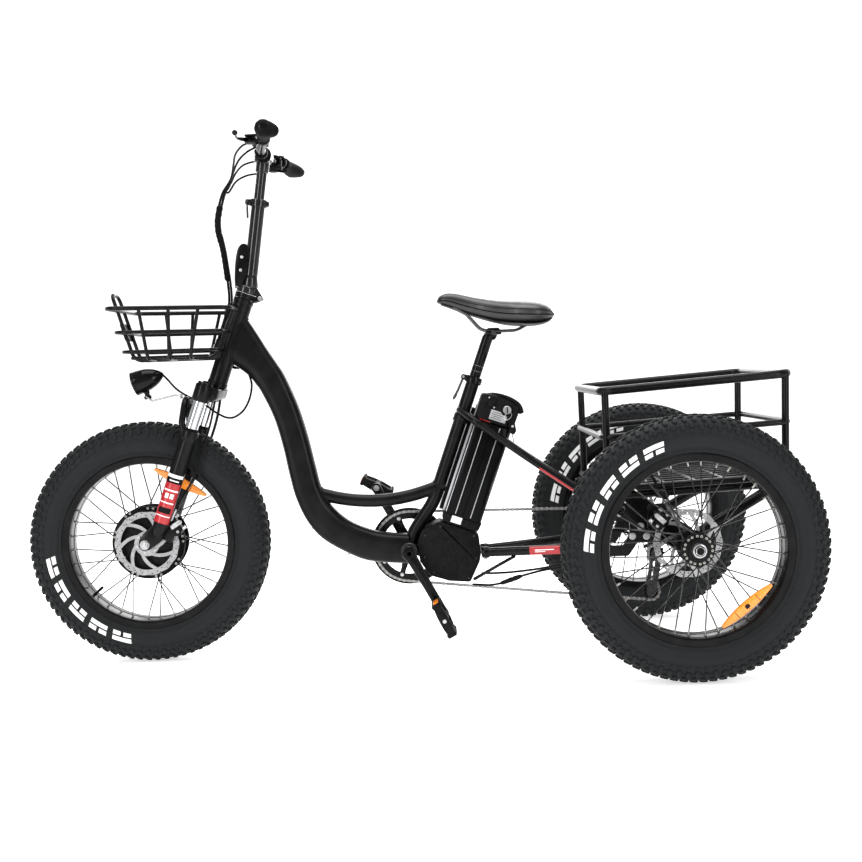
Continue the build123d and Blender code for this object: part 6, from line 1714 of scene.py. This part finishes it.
g = Geo()
g.box((0, 913.5, 470), (60, 9, 30), 4.0, 0)
g.box((0, 918.3, 470), (52, 3.2, 23), 1.5, 1)
for i in range(9):
    g.box((-20 + 5 * i, 919.6, 470), (1.2, 1.2, 21), 0.5, 1, k=1)
g.box((0, 906.5, 448), (38, 6.6, 15), 1.6, 0)
g.bolt((-12, 903.2, 448), (0, -1, 0), 3.2, 2.4, 2, "hex")
g.bolt((12, 903.2, 448), (0, -1, 0), 3.2, 2.4, 2, "hex")
g.build("tail_lamp", "frame", [M["plastic"], M["tail"], M["zinc"]], "tail_light", "tail", angle=35)

# cables of the frame
g = Geo()
for pts, r in (([(30, 183, 200), (34, 216, 200), (60, 260, 206), (80, 332, 217), (92, 420, 236), (96, 474, 256)], 2.9),
               ([(38, 160, 174), (42, 200, 172), (46, 228, 176)], 2.9),
               ([(60.3, 282, 196.4), (74, 330, 210), (90, 400, 224), (100, 473, 250)], 2.9)):
    g.tube(catmull(pts, 8), r, 12, 0, "round")
cd_ = arr((14, 52.5, 20))
g.lathe([(0, 0), (0, 4.0), (4, 5.2), (20, 5.8), (26, 6.4), (30, 6.4), (31, 5.6), (34, 5.6), (35, 6.4), (39, 6.4), (50, 5.4), (57, 3.8), (58, 0)], (46, 228.5, 176), unit(tuple(cd_)), 24, 1)
for f in (0.3, 0.62):
    p = lerp(arr((60, 260, 206)), arr((92, 420, 236)), f)
g.build("rear_cables", "frame", [M["cable"], M["plastic"]], "frame_cables", "plastic", angle=50)

# ------------------------------------------------------------------ cranks, chainring, pedals
ca_ = rad(28.5)
g = Geo()
g.tube([(-84, *BB), (84, *BB)], 9.9, 28, 0, "bevel")
g.lathe([(37.6, 0), (37.6, 14), (52, 14), (53, 12.5), (70, 12.5), (70, 0)], (0, *BB), (1, 0, 0), 40, 0)
ends = []
for s in (1, -1):
    d = (sin(ca_) * s, -cos(ca_) * s)
    q = (-d[1], d[0])
    e = (BB[0] + d[0] * 170, BB[1] + d[1] * 170)
    ends.append((e, d, q))

    def P(l, h):
        return (BB[0] + d[0] * l + q[0] * h, BB[1] + d[1] * l + q[1] * h)
    outl = [P(18 * cos(rad(a)), 18 * sin(rad(a))) for a in range(50, 311, 20)]
    outl += [P(30, -13.2), P(100, -11.4), P(158, -11.8)]
    outl += [P(170 + 13 * cos(rad(a)), 13 * sin(rad(a))) for a in range(-80, 81, 16)]
    outl += [P(158, 11.8), P(100, 11.4), P(30, 13.2)]
    x0, x1 = (70.0, 83.0) if s > 0 else (-83.0, -70.0)
    g.prism(outl, x0, x1, 0, 3.0)
    rib = roundpoly([P(26, -5), P(146, -4), P(146, 4), P(26, 5)], 3, 3)
    a, b = sorted((s * 82.6, s * 84.0))
    g.prism(rib, a, b, 0, 0.7)
    g.lathe([(s * 82.5, 11.5), (s * 84.0, 11.2), (s * 84.2, 10), (s * 83.2, 9.4), (s * 83.2, 0)], (0, *BB), (1, 0, 0), 32, 0)
    g.bolt((s * 83.0, *BB), (s, 0, 0), 7.4, 1.0, 1, "hex")
    g.lathe([(s * 69, 0), (s * 69, 7.5), (s * 85.5, 7.5), (s * 86, 8.2), (s * 87.6, 8.2), (s * 88, 7.0), (s * 88, 4.9), (s * 186, 4.6), (s * 186, 0)], (0, *e), (1, 0, 0), 28, 1)
g.build("crank_arms", "crank", [M["crank"], M["zinc"]], "crankset", "crank", angle=35)


def teeth(c, r_pitch, n, root, tip, a0=0.0):
    out = []
    for k in range(n):
        b = a0 + 2 * pi * k / n
        w = 2 * pi / n
        for f, r in ((-0.5, root), (-0.30, root + (tip - root) * 0.12), (-0.14, tip - (tip - root) * 0.12), (0.0, tip), (0.14, tip - (tip - root) * 0.12),
                     (0.30, root + (tip - root) * 0.12)):
            out.append((c[0] + r * cos(b + f * w), c[1] + r * sin(b + f * w)))
    return out


g = Geo()
g.plate([teeth(BB, 89, 44, 84.6, 91.0), circ(*BB, 70.5, 72)], -57.2, -54.8, 0)
g.lathe([(-66, 77), (-65.4, 76.2), (-62.1, 76.2), (-61.5, 77), (-61.5, 97), (-62.2, 98), (-65.3, 98), (-66, 97)], (0, *BB), (1, 0, 0), 96, 0, closed=True)
g.lathe([(-69.6, 9.95), (-69.6, 19), (-68.6, 20), (-56, 20), (-54.6, 18.5), (-54.6, 9.95)], (0, *BB), (1, 0, 0), 44, 0, closed=True)
for i in range(5):
    a = rad(90 + 72 * i + 20)
    d = (cos(a), sin(a))
    q = (-d[1], d[0])

    def P(l, h):
        return (BB[0] + d[0] * l + q[0] * h, BB[1] + d[1] * l + q[1] * h)
    g.prism(roundpoly([P(15, 12), P(60, 6.4), P(80, 7.6), P(84, 0), P(80, -7.6), P(60, -6.4), P(15, -12)], [0, 20, 4, 4, 4, 20, 0], 4), -62.0, -56.6, 0, 1.2)
    g.bolt((-61.5, *P(75, 0)), (-1, 0, 0), 5.2, 5.0, 2, "cap")
    g.bolt((-55.0, *P(75, 0)), (1, 0, 0), 5.2, 1.6, 2, "hex")
g.build("chainring_plates", "crank", [M["crank"], M["cog"], M["zinc"]], "chainring", "crank", angle=30)

for nm, s, (e, d_, q_), an in (("left", 1, ends[0], -63), ("right", -1, ends[1], -27)):
    g = Geo()
    a = rad(an)
    d, q = (cos(a), sin(a)), (-sin(a), cos(a))

    def P(l, h):
        return (e[0] + d[0] * l + q[0] * h, e[1] + d[1] * l + q[1] * h)
    X0, X1 = (88.5, 184.0) if s > 0 else (-184.0, -88.5)
    for l0, l1 in ((-43.5, -34), (34, 43.5)):
        g.prism(roundpoly([P(l0, -11.5), P(l1, -11.5), P(l1, 11.5), P(l0, 11.5)], 3, 3), X0 + 6, X1 - 2, 0, 1.5)
        lm = l0 if l0 < 0 else l1
        for k in range(7):
            xx = X0 + 14 + 11.5 * k
            for h in (-11.5, 11.5):
                g.lathe([(0, 2.4), (1.6, 1.6), (1.6, 0)], (xx, *P((l0 + l1) / 2, h)), (0, q[0] * (1 if h > 0 else -1), q[1] * (1 if h > 0 else -1)), 8, 0)
        rl = (lm - 0.3, lm + 0.9) if lm > 0 else (lm - 0.9, lm + 0.3)
        g.prism(roundpoly([P(rl[0], -6.5), P(rl[1], -6.5), P(rl[1], 6.5), P(rl[0], 6.5)], 0.3, 1), X0 + 22, X1 - 22, 1, 0.2)
    for xx0, xx1 in ((X0, X0 + 9), (X1 - 9, X1)):
        g.prism(roundpoly([P(-40, -9), P(-14, -11.8), P(14, -11.8), P(40, -9), P(40, 9), P(14, 11.8), P(-14, 11.8), P(-40, 9)], 4, 3), xx0, xx1, 0, 1.2)
    g.lathe([(X0 + 2, 5.3), (X0 + 2, 11.2), (X0 + 30, 11.2), (X0 + 34, 9.4), (X1 - 34, 9.4), (X1 - 30, 11.2), (X1 - 2, 11.2), (X1 - 1, 10), (X1 - 1, 5.3)],
            (0, *e), (1, 0, 0), 32, 0, closed=True)
    xc = s * 185.0
    g.lathe([(s * 182.5, 9.6), (s * 184.5, 9.2), (s * 185.4, 7.5), (s * 185.6, 0)], (0, *e), (1, 0, 0), 24, 0)
    for l0, l1 in ((-34, -11), (11, 34)):
        for k in range(1, 4):
            xx = X0 + (X1 - X0) * k / 4
            g.prism([P(l0, -7), P(l1, -7), P(l1, 7), P(l0, 7)], xx - 1.6, xx + 1.6, 0, 0.5)
    g.build("pedal_block_" + nm, "pedal_" + nm, [M["plastic"], M["orange"]], "pedal_" + nm, "plastic", angle=35)

# ------------------------------------------------------------------ chain, cogs and derailleur
GPp, TPp = (634.0, 226.0), (618.0, 128.0)
loopc = [((BB[0], BB[1]), 89.0), (TPp, 22.3), (GPp, -22.3), ((RW[0], RW[1]), 44.6)]
tang = []
for (A, ra), (B, rb) in zip(loopc, loopc[1:] + loopc[:1]):
    dx, dz = B[0] - A[0], B[1] - A[1]
    D = math.hypot(dx, dz)
    th = math.atan2(dz, dx) - math.asin((rb - ra) / D)
    lf = (-sin(th), cos(th))
    tang.append(((A[0] - ra * lf[0], A[1] - ra * lf[1]), (B[0] - rb * lf[0], B[1] - rb * lf[1]), th))
path = []
for i, (C, r) in enumerate(loopc):
    th0, th1 = tang[i - 1][2], tang[i][2]
    sgn = 1 if r > 0 else -1
    a0, a1 = th0 - sgn * pi / 2, th1 - sgn * pi / 2
    sw = (a1 - a0) * sgn
    while sw < 0:
        sw += 2 * pi
    while sw > 2 * pi:
        sw -= 2 * pi
    n_ = max(4, int(sw / 0.04))
    for k in range(n_ + 1):
        a = a0 + sgn * sw * k / n_
        path.append((C[0] + abs(r) * cos(a), C[1] + abs(r) * sin(a)))
    p, q, th = tang[i]
    L_ = math.hypot(q[0] - p[0], q[1] - p[1])
    for k in range(1, int(L_ / 4)):
        path.append((p[0] + (q[0] - p[0]) * k * 4 / L_, p[1] + (q[1] - p[1]) * k * 4 / L_))
pa = np.array(path + [path[0]])
seg = np.hypot(*(pa[1:] - pa[:-1]).T)
cum = np.concatenate([[0], np.cumsum(seg)])
NL = int(round(cum[-1] / 12.7))
NL += NL % 2
tt = np.arange(NL) * cum[-1] / NL
pins = np.stack([np.interp(tt, cum, pa[:, 0]), np.interp(tt, cum, pa[:, 1])], 1)
cage_len = cum[-1]
runs = {"frame": Geo(), "cage": Geo(), "lower": Geo()}
for i in range(NL):
    p, q = pins[i], pins[(i + 1) % NL]
    pm = (p + q) / 2
    w0 = (pm[0] - GPp[0]) * (TPp[0] - GPp[0]) + (pm[1] - GPp[1]) * (TPp[1] - GPp[1])
    w0 /= (TPp[0] - GPp[0]) ** 2 + (TPp[1] - GPp[1]) ** 2
    if pm[0] > 590 and w0 > 0.02 and pm[1] < 232:
        g = runs["cage"]
    elif pm[1] < 190 and pm[0] > BB[0] + 20:
        g = runs["lower"]
    else:
        g = runs["frame"]
    e1 = (q - p) / math.hypot(*(q - p))
    e2 = np.array((-e1[1], e1[0]))
    prof_ = []
    L_ = math.hypot(*(q - p))
    for a in (110, 145, 180, 215, 250):
        prof_.append(p + e1 * 3.9 * cos(rad(a)) + e2 * 3.9 * sin(rad(a)))
    prof_.append(p + e1 * L_ * 0.5 - e2 * 2.6)
    for a in (-70, -35, 0, 35, 70):
        prof_.append(q + e1 * 3.9 * cos(rad(a)) + e2 * 3.9 * sin(rad(a)))
    prof_.append(p + e1 * L_ * 0.5 + e2 * 2.6)
    prof_ = [tuple(v) for v in prof_]
    lo2, hi2 = (1.45, 2.3) if i % 2 else (2.35, 3.2)
    for s in (1, -1):
        a, b = sorted((-56.0 + s * lo2, -56.0 + s * hi2))
        g.prism(prof_, a, b, 0, 0.0)
    g.tube([(-57.4, *p), (-54.6, *p)], 3.7, 10, 1)
    g.tube([(-59.4, *p), (-52.6, *p)], 1.7, 8, 1, "bevel")
runs["frame"].build("chain_links", "frame", [M["chain"], M["zinc"]], "chain", "drive", angle=30)
runs["cage"].build("chain_in_cage", "derailleur_cage", [M["chain"], M["zinc"]], (), "drive", angle=30)
runs["lower"].build("chain_lower_run", ("frame", "derailleur_cage", (-56, 150, 155), (-56, 585, 120)), [M["chain"], M["zinc"]], (), "drive", angle=30)

g = Geo()
for x, r in ((-46.5, 55.0), (-51.0, 44.5), (-56.0, 40.2), (-61.0, 36.4), (-66.0, 32.0), (-71.0, 28.5), (-76.0, 25.0)):
    n_ = max(11, int(round(2 * pi * (r - 1.5) / 12.7)))
    holes = [circ(RW[0], RW[1], 14.0, 32)]
    if r > 38:
        for k in range(8):
            a = 2 * pi * k / 8 + 0.2
            holes.append(circ(RW[0] + (r - 10) * cos(a), RW[1] + (r - 10) * sin(a), 3.0, 12))
    g.plate([teeth(RW, r, n_, r - 4.2, r), *holes], x - 0.9, x + 0.9, 0)
g.lathe([(-84, 12.4), (-84, 18.5), (-82.5, 20), (-47, 20), (-45.4, 22), (-45, 34), (-43, 36), (-6, 36), (-4, 34.5), (8, 34.5), (12.4, 30), (12.4, 12.4)],
        (0, *RW), (1, 0, 0), 56, 1, closed=True)
for k in range(6):
    a = 2 * pi * k / 6
    g.bolt((12.0, RW[0] + 24 * cos(a), RW[1] + 24 * sin(a)), (1, 0, 0), 3.6, 1.6, 2, "hex")
g.lathe([(-84.6, 12.4), (-84.6, 17.5), (-80, 18.5), (-80, 12.4)], (0, *RW), (1, 0, 0), 18, 2, closed=True)
g.build("cog_stack", "cassette", [M["cog"], M["hub"], M["zinc"]], "cassette", "drive", angle=30)

g = Geo()
hp = roundpoly([(616, 282), (646, 282), (651, 250), (643, 214), (625, 214), (617, 244)], [5, 5, 8, 8, 8, 8], 5)
g.prism(hp, -94, -86, 0, 1.6)
g.prism(roundpoly([(618, 266), (640, 266), (640, 284), (618, 284)], 3, 3), -108, -88, 0, 1.2)
g.bolt((-94, 630, 274), (-1, 0, 0), 6.4, 5.0, 1, "cap")
g.lathe([(-90, 0), (-90, 10.5), (-88, 12), (-72, 12), (-67, 10), (-66, 9), (-66, 4.2), (-50, 4.0), (-49.2, 3.2), (-49.2, 0)], (0, *GPp), (1, 0, 0), 32, 0)
g.bolt((-90, *GPp), (-1, 0, 0), 5.4, 3.0, 1, "cap")
for zz in (0, 1):
    g.prism(roundpoly([(606, 246 - 14 * zz), (646, 254 - 10 * zz), (648, 262 - 10 * zz), (608, 256 - 14 * zz)], 3, 3), -101 + 2 * zz, -95.5 + 2 * zz, 0, 1.0)
g.tube(catmull([(-98, 612, 262), (-99, 590, 268), (-98, 560, 276), (-96, 530, 282)], 6), 2.6, 12, 2, "round")
g.build("derailleur_arm", "frame", [M["dark"], M["zinc"], M["cable"]], "derailleur_body", "drive", angle=35)
g = Geo()
for x0 in (-64.5, -50.5):
    bl_ = roundpoly([(GPp[0] - 13, GPp[1] + 6), (GPp[0] - 4, GPp[1] + 14), (GPp[0] + 10, GPp[1] + 10), (GPp[0] + 13, GPp[1] - 6), (TPp[0] + 13, TPp[1] + 2),
                     (TPp[0] + 8, TPp[1] - 12), (TPp[0] - 8, TPp[1] - 13), (TPp[0] - 13, TPp[1] - 2)], [8, 7, 7, 10, 7, 7, 7, 7], 4)
    win = roundpoly([(624, 205), (632, 207), (622, 150), (616, 148)], 3, 3)
    g.plate([bl_, win], x0, x0 + 2.2, 0)
for c in (GPp, TPp):
    g.plate([teeth(c, 22.3, 11, 17.6, 21.6), circ(*c, 6.0, 18)], -57.3, -54.7, 1)
    g.lathe([(-62, 4.1), (-62, 8.6), (-50.6, 8.6), (-50.6, 4.1)], (0, *c), (1, 0, 0), 24, 1, closed=True)
g.bolt((-64.5, *TPp), (-1, 0, 0), 4.4, 2.0, 2, "cap")
g.build("derailleur_cage_plates", "derailleur_cage", [M["dark"], M["plastic"], M["zinc"]], "derailleur_cage", "drive", angle=30)

# ------------------------------------------------------------------ finishes for the CAD pieces that show
NODE_MATS = {
    "head_tube": "paint", "main_tube": "paint", "step_tube": "paint", "seat_tube": "paint", "bb_shell": "paint",
    "chain_stays": "paint2", "seat_stays": "paint2", "controller_cover": "plastic", "subframe_rails": "paint2",
    "axle_housing": "paint2", "front_basket": "coat", "basket_bracket": "coat", "rear_basket": "coat",
    "fork_crown": "fork", "stanchions": "chrome", "stem_base": "gloss", "fork_lowers": "fork", "front_axle": "zinc",
    "front_caliper": "hub", "headlight": "gloss", "front_tyre": "tyre", "front_rim": "rim", "hub_motor": "hub",
    "front_rotor": "rotor_f", "handlepost": "gloss", "latch_lever": "gloss", "post_inner": "gloss",
    "handlebar": "gloss", "grips": "rubber", "controls": "plastic", "brake_lever_left": "gloss",
    "brake_lever_right": "gloss", "cables_upper": "cable", "cables_lower": "cable", "frame_cables": "cable",
    "saddle": "saddle", "seatpost": "gloss", "seat_clamp": "gloss", "seat_lever": "zinc", "battery": "battery",
    "key": "zinc", "crankset": "crank", "chainring": "crank", "pedal_left": "plastic", "pedal_right": "plastic",
    "chain": "chain", "cassette": "cog", "derailleur_body": "dark", "derailleur_cage": "dark", "left_tyre": "tyre",
    "right_tyre": "tyre", "left_rim": "rim", "right_rim": "rim", "left_hub": "hub", "right_hub": "hub",
    "left_rotor": "rotor_r", "right_rotor": "rotor_r", "rear_calipers": "hub", "tail_light": "tail",
}
for name, ob in N.items():
    ob.data.materials.clear()
    ob.data.materials.append(M[NODE_MATS.get(name, "paint")])
    me = ob.data
    me.polygons.foreach_set("use_smooth", [True] * len(me.polygons))
    me.set_sharp_from_angle(angle=rad(35))

# ------------------------------------------------------------------ floor, lights and camera
me = bpy.data.meshes.new("floor")
bm = bmesh.new()
W, H, R = 30.0, 9.0, 4.0
rows = [(-W, 0.0)]
prof2 = [(3.5, 0.0), (-9.0, 0.0)]
pts = [(30.0, 0.0), (6.0, 0.0), (3.0, 0.0), (1.0, 0.0), (-2.0, 0.0)]
for k in range(13):
    a = pi / 2 * k / 12
    pts.append((-5.0 - R * sin(a), R - R * cos(a)))
pts.append((-5.0 - R, H))
vs = []
for x, z in pts:
    vs.append((bm.verts.new((x, -W, z)), bm.verts.new((x, W, z))))
for a, b in zip(vs, vs[1:]):
    bm.faces.new((a[0], a[1], b[1], b[0]))
bmesh.ops.recalc_face_normals(bm, faces=bm.faces)
bm.to_mesh(me)
bm.free()
me.polygons.foreach_set("use_smooth", [True] * len(me.polygons))
floor = bpy.data.objects.new("floor", me)
bpy.context.scene.collection.objects.link(floor)
fm, fnt, fb = nodes_of("floor_white")
fb.inputs["Base Color"].default_value = (0.93, 0.93, 0.93, 1)
fb.inputs["Roughness"].default_value = 0.85
fb.inputs["Specular IOR Level"].default_value = 0.15
fb.inputs["Emission Color"].default_value = (1, 1, 1, 1)
tcn = fnt.nodes.new("ShaderNodeTexCoord")
sep = fnt.nodes.new("ShaderNodeSeparateXYZ")
fnt.links.new(tcn.outputs["Object"], sep.inputs[0])
# painted light: the floor glows and lights the object from below; its glow and its white fade from X 1.5 m to 4.5 m,
# towards the camera, as painted shade
for out_name, v0, v1 in (("Emission Strength", 0.55, 0.30), ("Base Color", 0.93, 0.85)):
    mr = fnt.nodes.new("ShaderNodeMapRange")
    mr.inputs["From Min"].default_value, mr.inputs["From Max"].default_value = 1.5, 4.5
    mr.inputs["To Min"].default_value, mr.inputs["To Max"].default_value = v0, v1
    fnt.links.new(sep.outputs["X"], mr.inputs["Value"])
    fnt.links.new(mr.outputs["Result"], fb.inputs[out_name])
me.materials.append(fm)
bpy.context.scene.view_settings.view_transform = "Standard"
bpy.context.scene.view_settings.look = "None"

world = bpy.data.worlds.new("studio")
bpy.context.scene.world = world
world.use_nodes = True
bg = world.node_tree.nodes["Background"]
bg.inputs["Color"].default_value = (1.0, 1.0, 1.0, 1)
bg.inputs["Strength"].default_value = 0.45


def area(name, loc, target, size, power, size_y=None):
    ld = bpy.data.lights.new(name, "AREA")
    ld.energy = power
    ld.size = size
    ld.shape = "RECTANGLE"
    ld.size_y = size_y or size
    ob = bpy.data.objects.new(name, ld)
    bpy.context.scene.collection.objects.link(ob)
    ob.location = loc
    ob.rotation_mode = "QUATERNION"
    ob.rotation_quaternion = (Vector(target) - Vector(loc)).to_track_quat("-Z", "Y")
    return ob


area("key_front", (3.5, -2.9, 1.7), (0, 0, 0.7), 0.9, 85, 3.0)
area("key_rear", (3.7, 2.7, 1.6), (0, 0.3, 0.7), 0.9, 70, 3.0)
area("top", (0.2, 0.0, 3.6), (0, 0, 0.4), 3.2, 150, 2.6)
area("back", (-3.2, 0.3, 2.0), (0, 0, 0.6), 3.0, 60, 2.0)

cam_d = bpy.data.cameras.new("camera")
cam = bpy.data.objects.new("camera", cam_d)
bpy.context.scene.collection.objects.link(cam)
yaw, pitch, roll = 0.0064, 0.0515, -0.0266
fwd = arr((-cos(yaw) * cos(pitch), sin(yaw) * cos(pitch), -sin(pitch)))
right = arr((sin(yaw), cos(yaw), 0))
up = np.cross(right, fwd)
r2 = cos(roll) * right + sin(roll) * up
u2 = -sin(roll) * right + cos(roll) * up
cam.matrix_world = Matrix(((r2[0], u2[0], -fwd[0], 3.3009), (r2[1], u2[1], -fwd[1], 0.0439),
                           (r2[2], u2[2], -fwd[2], 0.7268), (0, 0, 0, 1)))
cam_d.sensor_width = 36
cam_d.lens = 36.0 * 1321.47 / 862.0
cam_d.clip_start, cam_d.clip_end = 0.05, 60
bpy.context.scene.camera = cam
